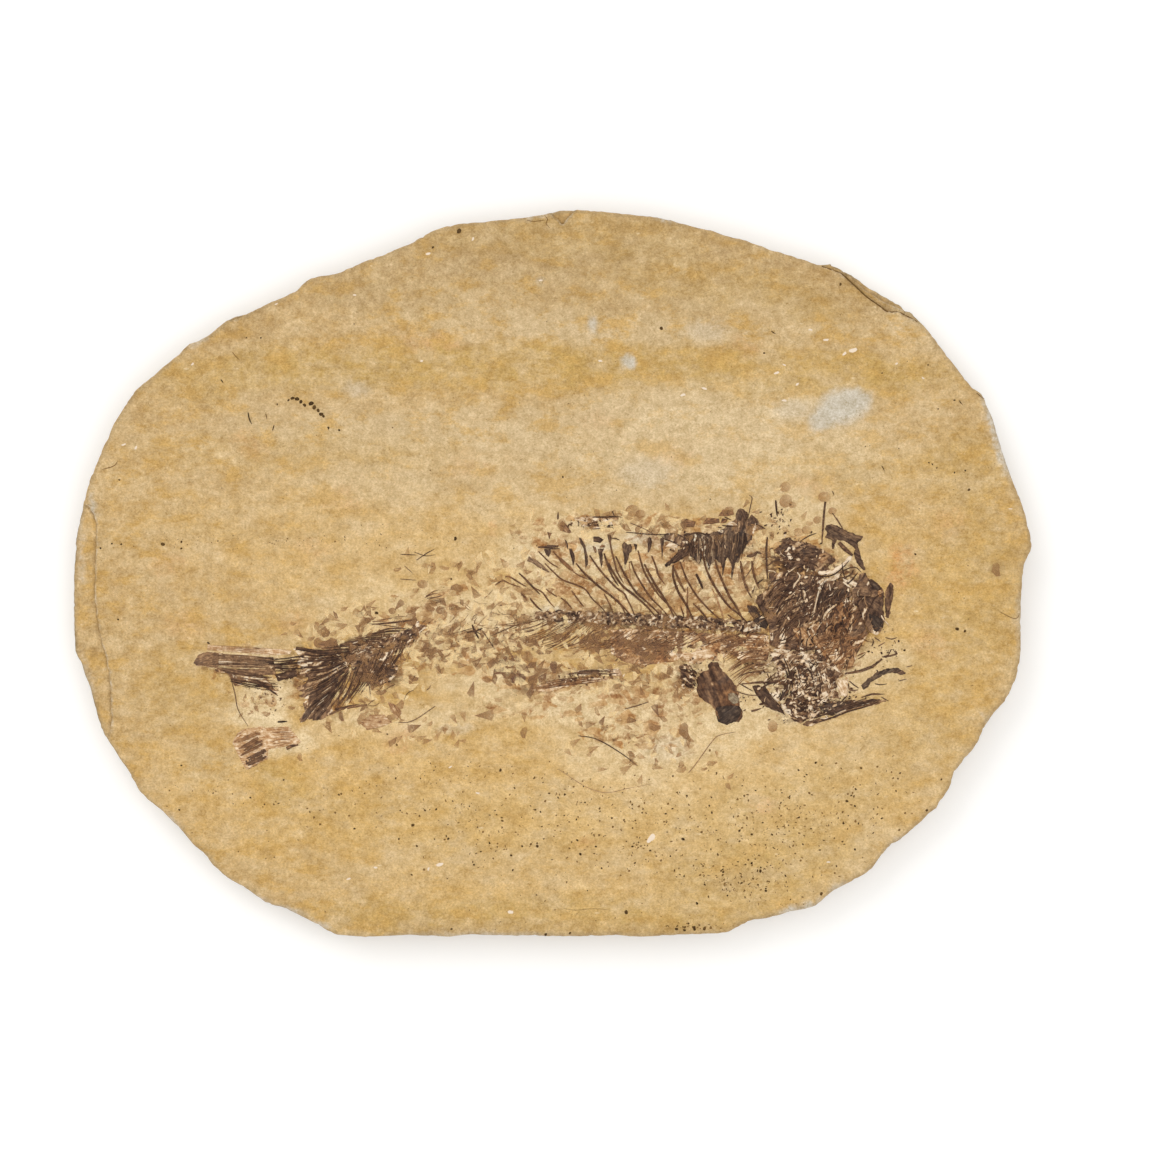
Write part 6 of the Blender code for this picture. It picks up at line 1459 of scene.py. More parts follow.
# Slivers that stand out: width, tone and line of each
SINGLE_SLIVERS = [
    (0.5, 0.2, [(55.8, 18.2), (56, 16), (56.2, 14.1)]),
    (0.3, 0.2, [(80.6, -27.7), (82, -27.9), (83.6, -27.7)]),
    (0.35, 0.3, [(47.2, -25.6), (49.6, -24.8), (54.6, -24.8)]),
    (0.3, 0.25, [(6.5, -40.7), (10, -41.2), (13, -42.5), (16, -44.3), (18.5, -46), (21, -48)]),
    (0.6, 0.2, [(-20.1, -12.9), (-19.4, -14.6), (-18.4, -16.4)]),
    (0.4, 0.2, [(-19.4, -14.6), (-17.5, -13.8)]),
    (0.35, 0.25, [(-21.4, -14.9), (-19.4, -14.6), (-17.8, -15.4)]),
    (0.4, 0.25, [(-53.3, -25.6), (-54.2, -28), (-54.8, -30.4)]), (0.5, 0.1, [(-68.7, -37.2), (-66.3, -37.1)]),
    (0.22, 0.6, [(34, -50), (36, -47.5), (40, -42), (42, -40.5), (46, -39.7)]),
    (0.18, 0.72, [(1.5, -49), (8.1, -53.3), (13.3, -54.9), (18.6, -53.9), (25.2, -52.6)]),
    (0.3, 0.4, [(18, -34), (21, -33.2), (24, -32.2)]), (0.25, 0.3, [(-15.5, -15.8), (-9, -13), (-5, -12)]),
    (0.25, 0.35, [(-26, -15.5), (-20, -13.8)]), (0.25, 0.3, [(-38, 4.7), (-34, 4.5)]),
    (0.25, 0.3, [(-34, 3.2), (-31.5, 4.9), (-29.5, 6)]),
    (0.2, 0.35, [(-34.5, 5.2), (-31.6, 4.3), (-29.2, 4.6)]), (0.2, 0.45, [(-37, 1.8), (-35, 0)]),
    (0.2, 0.4, [(-38, -1.5), (-34, -1.8)]), (0.25, 0.4, [(19.5, 12.5), (22.6, 11.2), (26, 9.3)]),
    (0.3, 0.25, [(62, 8), (64, 9.2), (66, 10)]), (0.2, 0.6, [(50, -34.3), (52, -33.8)]),
    (0.25, 0.3, [(88.5, -23.5), (90, -23.1)]), (0.25, 0.3, [(86.5, -27), (88.5, -26.5)]),
    (0.3, 0.35, [(82.2, -31), (84, -32)]), (0.3, 0.3, [(77.4, -31.1), (79.8, -30.2), (83, -30.3)]),
    (0.3, 0.35, [(83.2, -16.1), (84.8, -16.5), (86.2, -16.1)]), (0.3, 0.45, [(81.4, -18.3), (83.2, -17.3)]),
    (0.3, 0.4, [(80.5, -16.1), (82, -17.1)]),
    (0.3, 0.35, [(82.4, -21), (84, -20.4), (84.6, -19.2), (85.4, -19.1)]),
    (0.3, 0.35, [(83, -21.1), (85, -20.6), (86.2, -20.2), (85.6, -19.2)]),
    (0.2, 0.45, [(85.4, -16.8), (85.9, -17.8)]),
    (0.25, 0.45, [(-80.7, -25.4), (-79.4, -30), (-78.6, -34.1), (-76.1, -38.3)]),
    (0.3, 0.4, [(-81.1, -24.2), (-75.3, -25), (-71.2, -26.2)]),
    (0.6, 0.18, [(-74, -26.7), (-71.4, -28.6), (-68.7, -30.6)]),
    (0.3, 0.12, [(-69.5, -22.9), (-67, -22.5), (-64.4, -22)]),
    (0.25, 0.45, [(-29.3, -33.3), (-35.1, -37), (-39.6, -37.4)]),
    (0.3, 0.3, [(-86.4, -17.4), (-85.6, -17.7)]), (0.2, 0.4, [(-75, -18.7), (-73, -18.9)]),
    (0.22, 0.4, [(-46, -12.6), (-41, -13.2), (-36, -14)]),
    (0.4, 0.2, [(10, 14), (13, 14), (15, 14.1), (17, 14), (17.6, 13.7)]),
    (0.3, 0.25, [(15, 15.5), (15.4, 14.2)]), (0.35, 0.25, [(8.8, 12.1), (10.4, 12.6), (12.2, 12.9)]),
    (0.25, 0.3, [(8, 11.9), (10.6, 12), (13.2, 11.9)]), (0.25, 0.3, [(10, 11), (11.4, 11.1), (12.8, 11.2)]),
    (0.25, 0.3, [(13.6, 11.5), (15, 11.4), (15.4, 10.8)]),
    (0.4, 0.3, [(-3.7, 6.5), (-2, 6.35), (0, 6.1), (1.8, 6.1)]), (0.3, 0.35, [(-1.4, 6.9), (1.5, 6.8)]),
    (0.35, 0.3, [(14.8, 8.7), (15.9, 8.6), (16.8, 8.2)]), (0.5, 0.4, [(1.3, 13.4), (1.4, 15.2)]),
    (0.3, 0.2, [(18.4, 10.2), (26, 9.6), (31, 9.9)]),
    (0.45, 0.2, [(32.8, 9.5), (34, 9.6), (35.5, 10), (37, 10), (39.2, 9.4)]),
    (0.3, 0.25, [(28, 8.4), (30, 7.8), (31.8, 6.7)]), (0.3, 0.25, [(31, 9.8), (32, 9.3), (33.6, 8.5)]),
    (0.35, 0.2, [(42.4, 11.9), (44.4, 11.7), (46, 11.6)]), (0.3, 0.3, [(43, 14), (44.8, 13.2)]),
    (0.3, 0.25, [(41.4, 11.5), (42.6, 11.2)]), (0.5, 0.18, [(48.1, 10), (48.2, 6.3)]),
    (0.4, 0.75, [(45.4, 7.5), (44.8, 5)]), (0.3, 0.9, [(43, 7), (43.3, 6)]),
    (0.35, 0.25, [(50.8, 12.2), (52, 11.7), (53.2, 11)]),
    (0.8, 0.4, [(48.6, 4.2), (50, 4.4), (51.2, 5.2), (52.2, 4.8)]),
    (0.25, 0.35, [(49.2, 19.4), (49.9, 18.8), (49.4, 16.2), (48.7, 13)]),
    (0.45, 0.3, [(53.7, 9), (53.4, 6), (53.6, 2), (53.8, -1.6)]),
    (0.4, 0.25, [(50.1, 0), (51, -2.4), (51.8, -4)]),
    (0.5, 0.97, [(61.2, 0.1), (61.8, -0.7), (61.5, -1.7), (60.7, -2.6), (60.2, -3.9)]),
    (0.7, 0.97, [(60.6, -2.6), (60.1, -3.8)]), (0.4, 0.93, [(58.3, -0.8), (58.7, 0), (60, 0.9), (60.9, 1.6)]),
    (0.45, 0.95, [(54, 0.6), (55.2, 0.5), (55.8, 0.1)]), (0.5, 0.16, [(61, 1.2), (62.4, 1.6), (64.4, 1.4)]),
    (0.35, 0.12, [(62, -2), (62.1, -4), (62.4, -6), (62.5, -8)]),
    (0.6, 0.9, [(62.6, -4.3), (63.1, -5.2), (62.8, -6.4)]),
    (0.5, 0.95, [(66.6, -4.4), (66, -7), (65.4, -9.6), (65.1, -12.2)]),
    (0.35, 0.14, [(63.2, -0.5), (67, -0.9), (70, -0.5), (72.6, 1.4), (74.2, 3.2)]),
    (0.5, 0.12, [(67.6, -3.6), (67.1, -5.4), (66.5, -7.4), (66.1, -9.6)]),
    (0.5, 0.95, [(70.2, -1.8), (71.4, -1.1), (71.8, -0.4)]),
    (0.7, 0.9, [(71, -7.8), (69.6, -8.8), (68.4, -10), (67.6, -11.6)]),
    (0.3, 0.14, [(76, -5.7), (78, -5.9), (79.6, -5.9)]),
    (0.35, 0.32, [(72, 0.1), (73.4, 0.9), (74.8, 1.4), (76, 1.3), (77.2, 0.2)]),
    (0.35, 0.3, [(75.2, 0.8), (74.9, 0), (74.2, -0.6), (73, -1.1), (71.5, -1.4), (71.6, -2)]),
    (0.5, 0.95, [(72.6, -2.2), (73.6, -3), (74.6, -3.7)]), (0.6, 0.4, [(75.4, -1.9), (76, -2.1)]),
    (0.4, 0.93, [(82.2, -10.6), (82.6, -11.5), (83.8, -12.7), (84.1, -13.3)]),
    (0.4, 0.97, [(63.8, -14.2), (64.3, -15.6), (65, -16.8)]),
    (0.4, 0.97, [(65, -36.4), (65.8, -35.4), (66.8, -34.4)]),
    (0.4, 0.97, [(67, -36.4), (68.8, -36.2), (68, -35.4)]),
    (0.5, 0.93, [(70.8, -35.4), (72, -34.8), (73.4, -34.2)]),
    (0.35, 0.2, [(66, -37.4), (70, -36.1), (74, -34.6), (78, -33.5), (81.5, -32.2)]),
    (0.4, 0.95, [(67.2, -26), (68, -27.5), (69, -27.4), (69.6, -29)]),
    (0.4, 0.95, [(66, -22.2), (67.6, -22.3)]), (0.5, 0.3, [(52.6, -28.4), (55, -27.4), (57.6, -27.4)]),
    (0.3, 0.3, [(50, -27.4), (52.6, -27)]), (0.3, 0.3, [(46.5, -27.5), (50.2, -29.6)]),
    (0.3, 0.4, [(44, -28.8), (48.6, -30.4), (52, -30.6)]),
    (0.35, 0.3, [(74.2, -27), (75.4, -28), (76.6, -28.8)]),
    (0.4, 0.45, [(74, -27.6), (74.2, -29), (75, -29.4), (76.4, -29.2)]),
    (0.3, 0.45, [(71, 13.8), (73.4, 9.6)]), (0.3, 0.5, [(70, 15), (72.6, 11)]),
]

# Sheaves of slivers: how many; where they start, x, y to x, y, and where they end; how far they bow; their
# width and tone, each from and to; a seed, and how warm they are
SHEAVES = [
    # The fibres of the breast fin, the ribs and the threads of the belly
    (44, (54, -15.2, 54.4, -24), (40, -16.5, 45.5, -29), -1, (0.14, 0.26), (0.4, 0.66), 1, 0.6),
    (40, (4, -13.4, 47, -15.2), (-4, -19, 29, -20), 0.8, (0.14, 0.26), (0.35, 0.6), 2, 0.5),
    (20, (-2, -11, 12, -12), (-16, -13, 0, -21), 0.5, (0.14, 0.26), (0.34, 0.55), 3, 0.5),
    (8, (3.2, -25.2, 6, -24.4), (17, -25.6, 16.6, -24), 0.1, (0.16, 0.34), (0.2, 0.5), 12),
    (12, (-5.4, -29.2, -3, -27.4), (13.6, -27, 12, -25.8), 0.2, (0.16, 0.34), (0.4, 0.62), 13, 0.6),
    (9, (-33, -6, -31, -8), (-28.5, -4, -26, -7.6), 0.1, (0.12, 0.22), (0.4, 0.6), 22, 0.5),
    # The rays and fine bones of the tail
    (44, (-50, -19.6, -50.5, -25), (-64.5, -19, -61.5, -37.4), 0.6, (0.2, 0.42), (0.1, 0.42), 4),
    (30, (-34.5, -13.2, -49, -20.5), (-45, -14.8, -62.5, -20.4), -0.3, (0.18, 0.34), (0.15, 0.45), 5, 0.2),
    (34, (-35, -15.2, -50, -22.5), (-42.5, -27, -57, -36.2), 0.6, (0.16, 0.34), (0.2, 0.5), 6, 0.3),
    (14, (-68, -21.4, -69, -24.2), (-88.6, -20.2, -87, -23.2), -0.2, (0.16, 0.3), (0.35, 0.8), 7, 0),
    (12, (-67.4, -26.6, -68.4, -29.4), (-84, -23.6, -79.6, -28.4), 0.2, (0.14, 0.3), (0.15, 0.45), 8, 0.2),
    (10, (-62, -20.2, -62, -24.6), (-71, -21.4, -71, -24.4), 0.1, (0.2, 0.36), (0.1, 0.35), 23),
    (6, (-72.4, -38.9, -72.4, -43.2), (-80, -42.2, -77.6, -46.2), 0, (0.6, 0.9), (0.5, 0.64), 9, 0.5),
    (5, (-71.6, -43.7, -71.4, -46.2), (-77.2, -46.6, -76.4, -48.8), 0, (0.5, 0.7), (0.42, 0.52), 10, 0.1),
    (10, (-71, -38.6, -70.5, -43.5), (-64.5, -38.5, -64, -42.6), 0.1, (0.12, 0.2), (0.5, 0.7), 17, 0.5),
    (8, (-69, -18.9, -68.5, -20.4), (-86, -17.9, -86.5, -19.5), 0, (0.1, 0.16), (0.6, 0.8), 18, 0.4),
    (6, (-48, -12.6, -40, -11), (-42, -12.2, -35, -10.6), 0.1, (0.1, 0.2), (0.4, 0.6), 21, 0.4),
    # The rays of the back fin and the spikes that hang from the nape
    (34, (33, 8.8, 48, 10.6), (33, 4.6, 47.4, 3), 0.2, (0.2, 0.4), (0.15, 0.55), 14, -0.2),
    # The fibres and splinters of the head, dark ones and the cream of stone that shows between them
    (26, (53, -5.5, 56.5, -18), (61.5, -0.8, 66, -10), 1.2, (0.2, 0.42), (0.15, 0.5), 15, 0.2),
    (16, (66.2, -11.5, 72, -8.5), (67.5, -3, 75, -4.6), 1.1, (0.22, 0.45), (0.15, 0.42), 16),
    (16, (64, -36.6, 66, -35.4), (82.5, -31.8, 80, -30.8), 0, (0.16, 0.34), (0.1, 0.45), 19),
    (14, (56, -20, 70, -24), (58, -30, 71, -31), 0.5, (0.2, 0.4), (0.1, 0.42), 20),
]
# Slivers strewn over the head, tail and flank: how many; oval as middle x, middle y, half width, half height
# and turn; length, width and tone, each from and to; heading and its spread in degrees; a seed, and warmth
STREWN_SLIVERS = [
    (90, (61, -8, 9, 10, 0), (1.6, 5), (0.16, 0.45), (0.15, 0.6), (55, 24), 31, 0),
    (60, (73, -10, 8, 10, 0), (1.6, 5), (0.16, 0.45), (0.15, 0.6), (70, 24), 32, 0.1),
    (70, (72, -17, 6, 5, 0), (1.5, 4), (0.16, 0.36), (0.3, 0.7), (35, 26), 33, 0.9),
    (26, (60.5, 2.5, 6, 3.4, -20), (1.4, 4), (0.16, 0.45), (0.15, 0.5), (-15, 26), 34, 0),
    (100, (63, -26, 9, 7, 0), (1, 3), (0.16, 0.36), (0.1, 0.5), (30, 40), 35, 0.2),
    (75, (65, -9, 11, 11, 0), (0.8, 2.6), (0.14, 0.3), (0.84, 1), (60, 34), 36, 0),
    (46, (62, -25, 9, 7, 0), (0.8, 2.2), (0.14, 0.32), (0.84, 1), (30, 40), 37, 0),
    (40, (-50, -20.5, 11, 2.6, 26), (0.8, 2.6), (0.14, 0.28), (0.84, 1), (15, 30), 39, 0),
    (24, (34, -16.2, 16, 2, 0), (1, 3), (0.14, 0.26), (0.84, 1), (20, 14), 40, 0),
    (50, (14, -16.5, 16, 4, -6), (1.5, 5), (0.12, 0.24), (0.3, 0.6), (25, 16), 41, 0.6),
    (60, (-20, -14, 18, 7, 8), (1.2, 4), (0.1, 0.2), (0.4, 0.65), (20, 40), 42, 0.5),
    (50, (-44, -24, 10, 8, 20), (1.2, 4), (0.12, 0.26), (0.25, 0.55), (50, 30), 43, 0.4),
]

slivers = [(width, tone, 0.1, points) for width, tone, points in SINGLE_SLIVERS]
for row in SHEAVES:
    slivers += sheaf(*row)
for row in STREWN_SLIVERS:
    slivers += strewn_slivers(*row)

SLIVERS = sliver_tree()
sliver_bones = grow("slivers", line_mesh("sliver_lines", slivers), SLIVERS, {"Sides": 5, "Material": BONE})
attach(sliver_bones, "root")


def rooted(line):
    """The spine's line carried on down to the backbone, where it stops short of it."""
    (x, y), (last_x, last_y) = line[-2:]
    drop = last_y + 9.8 + 0.06 * last_x
    if not 0.6 < drop < 6.0 or last_x < 8.0:
        return line
    lean = (last_x - x) / (y - last_y)
    return line + [(last_x + 0.45 * drop * lean, last_y - 0.5 * drop),
                   (last_x + 0.8 * drop * lean, last_y - drop)]


spines = [(1.25 * width, tone + 0.02, 0.7, rooted(line)) for width, tone, line in NEURAL_SPINES]
spine_bones = grow("backbone_spines", line_mesh("spine_lines", spines), SLIVERS,
                   {"Sides": 7, "Material": BONE})
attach(spine_bones, "root")
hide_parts("backbone")


# The scales: thin tan films, whole or broken to wedges, strewn over the flank and washed out over the belly.
# They lie flat on the stone, see-through where they are thinnest and darker where they overlap.

# The outlines of whole and broken scales, as shares of their half length
SCALE_SHAPES = {
    "half_scale": [(-0.8, -0.5), (-0.85, 0.2), (-0.2, 0.85), (0.65, 0.65), (0.95, 0.0), (0.55, -0.35),
                   (-0.2, -0.3)],
    "kite_scale": [(-1.0, -0.05), (-0.1, 0.7), (0.9, 0.35), (0.45, -0.6)],
    "wedge_scale": [(-1.0, 0.0), (0.1, 0.5), (0.85, 0.75), (0.95, 0.0), (0.7, -0.6)],
    "whole_scale": [(math.cos(t * math.tau / 11), math.sin(t * math.tau / 11)) for t in range(11)],
}


def flake_mesh(name, outline, crown):
    """A thin lens over the outline: a raised middle above and a flat underside."""
    shape = bmesh.new()
    rim = [shape.verts.new((x, y, 0.0)) for x, y in outline]
    inner = [shape.verts.new((x * 0.6, y * 0.6, crown)) for x, y in outline]
    foot = shape.verts.new((0.0, 0.0, -crown))
    for index in range(len(rim)):
        after = (index + 1) % len(rim)
        shape.faces.new((rim[index], rim[after], inner[after], inner[index]))
        shape.faces.new((rim[after], rim[index], foot))
    shape.faces.new(inner)
    bmesh.ops.recalc_face_normals(shape, faces=shape.faces)
    mesh = bpy.data.meshes.new(name)
    shape.to_mesh(mesh)
    shape.free()
    store_mask(mesh, "across", [vertex.co.x for vertex in mesh.vertices])
    return mesh


def kit_of(name, shapes):
    """A collection, not in the scene, of the shapes that a scatter picks from."""
    kit = bpy.data.collections.new(name)
    for shape_name, mesh in shapes.items():
        kit.objects.link(bpy.data.objects.new(shape_name, mesh))
    return kit


def scatter_tree():
    tree, entry, leave = geometry_tree("strewn_on_points", {
        "Kit": ("NodeSocketCollection", None), "Material": ("NodeSocketMaterial", None),
        "Wobble": ("NodeSocketFloat", 0.0001), "Wobble Size": ("NodeSocketFloat", 0.0012)})
    points = place_node(tree, "GeometryNodeMeshToPoints", {"Mesh": entry["Geometry"],
                                                           "Radius": 0.0001}).outputs[0]
    kit = place_node(tree, "GeometryNodeCollectionInfo", {
        "Collection": entry["Kit"], "Separate Children": True, "Reset Children": True}).outputs[0]
    strewn = place_node(tree, "GeometryNodeInstanceOnPoints", {
        "Points": points, "Instance": kit, "Pick Instance": True,
        "Instance Index": named(tree, "kind", "INT"), "Rotation": named(tree, "turn", "FLOAT_VECTOR"),
        "Scale": named(tree, "size", "FLOAT_VECTOR")}).outputs[0]
    real = place_node(tree, "GeometryNodeRealizeInstances", {"Geometry": strewn}).outputs[0]
    place = tree.nodes.new("GeometryNodeInputPosition").outputs[0]
    scale = times(tree, 1.0, entry["Wobble Size"], "DIVIDE")
    lumps = place_node(tree, "ShaderNodeTexNoise", {"Vector": place, "Scale": scale, "Detail": 1.0})
    centred = place_node(tree, "ShaderNodeVectorMath", {0: lumps.outputs["Color"], 1: (0.5, 0.5, 0.5)},
                         operation="SUBTRACT").outputs[0]
    flat = place_node(tree, "ShaderNodeVectorMath", {0: centred, 1: (1.0, 1.0, 0.15)},
                      operation="MULTIPLY").outputs[0]
    shift = place_node(tree, "ShaderNodeVectorMath", {0: flat, "Scale": entry["Wobble"]},
                       operation="SCALE").outputs[0]
    moved = place_node(tree, "GeometryNodeSetPosition", {"Geometry": real, "Offset": shift}).outputs[0]
    done = place_node(tree, "GeometryNodeSetMaterial", {"Geometry": moved, "Material": entry["Material"]})
    tree.links.new(done.outputs[0], leave["Geometry"])
    return tree


STREWN = scatter_tree()


def point_mesh(name, strewn):
    """One point for each piece. Each is (x, y, lift, size, turn, kind, tone); size is (x, y, z)."""
    mesh = bpy.data.meshes.new(name)
    mesh.from_pydata([(x * MM, y * MM, (laid_height(x, y) + lift) * MM) for x, y, lift, *_ in strewn], [], [])
    for label, column, unit in (("size", 3, MM), ("turn", 4, 1.0)):
        values = np.array([piece[column] for piece in strewn], dtype=np.float32) * np.float32(unit)
        mesh.attributes.new(label, "FLOAT_VECTOR", "POINT").data.foreach_set("vector", values.ravel())
    mesh.attributes.new("kind", "INT", "POINT").data.foreach_set("value", [piece[5] for piece in strewn])
    store_mask(mesh, "tone", [piece[6] for piece in strewn])
    store_mask(mesh, "warm", [0.5 * (1.0 + noise.noise((piece[0], piece[1], 3.0))) for piece in strewn])
    return mesh


# Scales that stand out, placed one by one: x, y, half length, turn in degrees, shape (0 half, 1 kite, 2
# wedge,
# 3 whole) and tone
PLACED_SCALES = [
    (58.2, 21.5, 1.5, 20, 3, 0.66), (58.3, 18, 1.8, 60, 3, 0.60), (60, 17, 1, 0, 3, 0.62),
    (68, 19, 1.6, 0, 3, 0.68), (70, 15.5, 1.1, 0, 3, 0.62), (66.2, 13.3, 1.1, 30, 3, 0.62),
    (61.5, 10.2, 1.3, 0, 3, 0.66), (63.5, 10.7, 1.3, 0, 3, 0.66), (9.5, -37.8, 1.4, 190, 2, 0.55),
    (12.5, -36.8, 1.3, 240, 2, 0.36), (13, -38.7, 1.2, 200, 0, 0.5), (20, -36.8, 1.5, 170, 2, 0.40),
    (26, -34.3, 1.7, 110, 2, 0.34), (25.5, -38.3, 1.8, 160, 0, 0.48), (33.3, -39.5, 2.4, 96, 0, 0.46),
    (34, -42.5, 1.3, 90, 2, 0.56), (10.3, -43.8, 1.5, 200, 2, 0.62), (9.5, -45, 1.2, 230, 2, 0.64),
    (21, -43, 0.8, 0, 2, 0.6), (25.3, -44.8, 0.9, 40, 2, 0.6), (29.5, -43, 0.8, 100, 2, 0.6),
    (18.5, -48.8, 1.8, 210, 2, 0.62), (20.3, -47.5, 1.3, 150, 2, 0.58), (22, -51.5, 1.3, 250, 2, 0.64),
    (12.5, -49, 1.3, 180, 2, 0.66), (32, -47.8, 1, 60, 2, 0.64), (-13.2, -24.8, 1.6, 20, 2, 0.30),
    (-8.5, -26.5, 2.1, 0, 0, 0.26), (-12.5, -22, 1.4, 0, 2, 0.32), (-9, -22.3, 1.5, 60, 2, 0.42),
    (-18, -23, 1.5, 200, 2, 0.5), (-22.5, -23, 1.3, 180, 2, 0.52), (-24, -18, 1.5, 160, 2, 0.5),
    (-30, -19.5, 1.2, 180, 2, 0.44), (-30.5, -15.5, 1.5, 0, 3, 0.5), (-17, -35.7, 2.5, 0, 2, 0.48),
    (-24.5, -36.5, 1.3, 120, 2, 0.58), (-7, -36, 1.3, 90, 2, 0.60), (-7, -40, 1.6, 70, 0, 0.54),
    (-22.5, -42, 1, 0, 2, 0.6), (-40.5, -36.5, 1.6, 20, 0, 0.52), (-38.5, -35.5, 1.4, 120, 2, 0.56),
    (-32.5, -2.8, 1.3, 0, 3, 0.56), (-40, -9.5, 1, 0, 3, 0.5), (-28, -9.3, 1.2, 0, 3, 0.46),
    (-24, -4, 1.8, -20, 0, 0.5), (-19.5, -4.8, 1.8, -60, 2, 0.5), (-6.5, -5, 1.8, 0, 0, 0.6),
    (-10, -8, 1.5, 0, 2, 0.62), (-7, -12, 2.4, 0, 0, 0.55), (0.5, -23.5, 1.7, 80, 0, 0.34),
    (2.5, 12, 1.8, 80, 0, 0.56), (2.5, 7, 1.3, 0, 2, 0.6), (5, 7.5, 1.2, 0, 2, 0.6),
    (20, 15.5, 1.8, 0, 3, 0.60), (22, 14.8, 1.3, 0, 3, 0.62), (27, 13.5, 1.5, 40, 2, 0.6),
    (25.5, 11.5, 1.5, 200, 2, 0.6), (33, 12.3, 1.5, 90, 0, 0.42), (37.5, 13.5, 1.2, 20, 2, 0.56),
    (39, 11.5, 1, 0, 2, 0.5), (44, 15.5, 1.6, 20, 0, 0.54), (-55, -17.8, 2.3, -6, 0, 0.42),
    (-58.2, -17.4, 1.6, 20, 3, 0.5), (-47, -36.5, 2.3, 20, 0, 0.6), (-44, -35.2, 1.6, 80, 2, 0.58),
    (-63, -46, 1.2, 90, 0, 0.62), (55, -38.3, 1.5, 90, 3, 0.62), (111.2, 0.8, 2, 90, 0, 0.56),
    (50.8, 15.2, 1.2, 0, 2, 0.6),
]

# The share of scales that have faded to cream
CREAM_SCALES = 0.3
# Where scales lie thickly: middle x, y, half width, half height, turn in degrees, how many, half length from
# and to, tone from and to
SCALE_FIELDS = [
    (-22, -17, 24, 9, 6, 230, 0.8, 1.5, 0.40, 0.70), (-9, -23, 8, 5, 0, 46, 1, 1.7, 0.28, 0.50),
    (-12, -2, 20, 7, -12, 80, 0.8, 1.5, 0.58, 0.76), (24, -4, 22, 7, -6, 90, 0.8, 1.5, 0.56, 0.74),
    (18, -25, 20, 5, -3, 60, 0.9, 1.5, 0.46, 0.68), (22, -42, 17, 9, -12, 60, 0.6, 1.3, 0.52, 0.72),
    (20, 11.5, 18, 4.5, 2, 60, 0.8, 1.5, 0.48, 0.68), (-46, -25, 11, 13, 30, 110, 0.8, 1.5, 0.36, 0.62),
    (-50, -12, 12, 4, 14, 40, 0.7, 1.4, 0.42, 0.66), (-30, -39, 16, 6, -3, 24, 0.6, 1.3, 0.56, 0.74),
    (-74, -32, 7, 5, 0, 26, 0.4, 0.9, 0.5, 0.7), (26, -17, 22, 5, 3, 90, 0.8, 1.5, 0.30, 0.52),
    (6, -15, 10, 4, 0, 40, 0.8, 1.4, 0.46, 0.64), (50, 6, 6, 8, 0, 26, 0.7, 1.3, 0.46, 0.66),
    (-62, -14.5, 6, 2.5, 0, 10, 0.7, 1.2, 0.5, 0.66), (60, 14, 10, 6, 0, 16, 0.5, 1.1, 0.62, 0.74),
    (36, -28, 10, 6, 0, 24, 0.7, 1.3, 0.5, 0.7),
]


# Ground that nothing lies on: the belly plate and the row of fin supports
FIN_SUPPORT_ROW = [Vector(corner) for corner in ((-2, 9.4), (29, 10), (29, 4.4), (-2, 2.6))]
BARE_GROUND = [footprint("belly_plate"), FIN_SUPPORT_ROW]
# Dark bones, and the dark ground under the ribs, that no cream scale lies on
DARK_BONES = ("tail_fan", "tail_vertebrae", "nape_bones", "shoulder_wedge", "gill_cover", "skull_roof",
              "upper_tail_lobe")
RIB_GROUND = [Vector(corner) for corner in ((8, -14.6), (34, -14), (33, -18), (26, -21.6), (17, -21.2),
                                            (9, -18))]
DARK_GROUND = [footprint(node) for node in DARK_BONES] + [RIB_GROUND]


def scattered(fields, seed):
    """Places in soft-edged ovals beside the bare ground, with the dice for what lies there."""
    dice = random.Random(seed)
    for x, y, half_width, half_height, turn, count, *rest in fields:
        turn = math.radians(turn)
        for _ in range(count):
            along = max(-1.4, min(1.4, dice.gauss(0.0, 0.52))) * half_width
            across = max(-1.4, min(1.4, dice.gauss(0.0, 0.52))) * half_height
            place = (x + along * math.cos(turn) - across * math.sin(turn),
                     y + along * math.sin(turn) + across * math.cos(turn))
            if not any(is_within(*place, outline) for outline in BARE_GROUND):
                yield (*place, dice, rest)


scales = []
for x, y, half, turn, kind, tone in PLACED_SCALES:
    scales.append((x, y, 0.05, (half, half * 0.85, 1.0), (0.0, 0.0, math.radians(turn)), kind, tone))
for x, y, dice, (small, large, dark, pale) in scattered(SCALE_FIELDS, 5):
    half = 1.3 * dice.uniform(small, large)
    height, width, turn = dice.uniform(0.02, 0.09), half * dice.uniform(0.6, 0.95), dice.gauss(math.pi, 1.1)
    kind, tone = dice.choice((0, 1, 1, 2, 2)), dice.uniform(dark, pale)
    if dice.random() < CREAM_SCALES and not any(is_within(x, y, outline) for outline in DARK_GROUND):
        tone = 1.0
    scales.append((x, y, height, (half, width, 1.0), (0.0, 0.0, turn), kind, tone))


SCALE_TAN = linear(196, 148, 92)
SCALE_BROWN = linear(120, 82, 60)
SCALE_CREAM = linear(255, 226, 170)


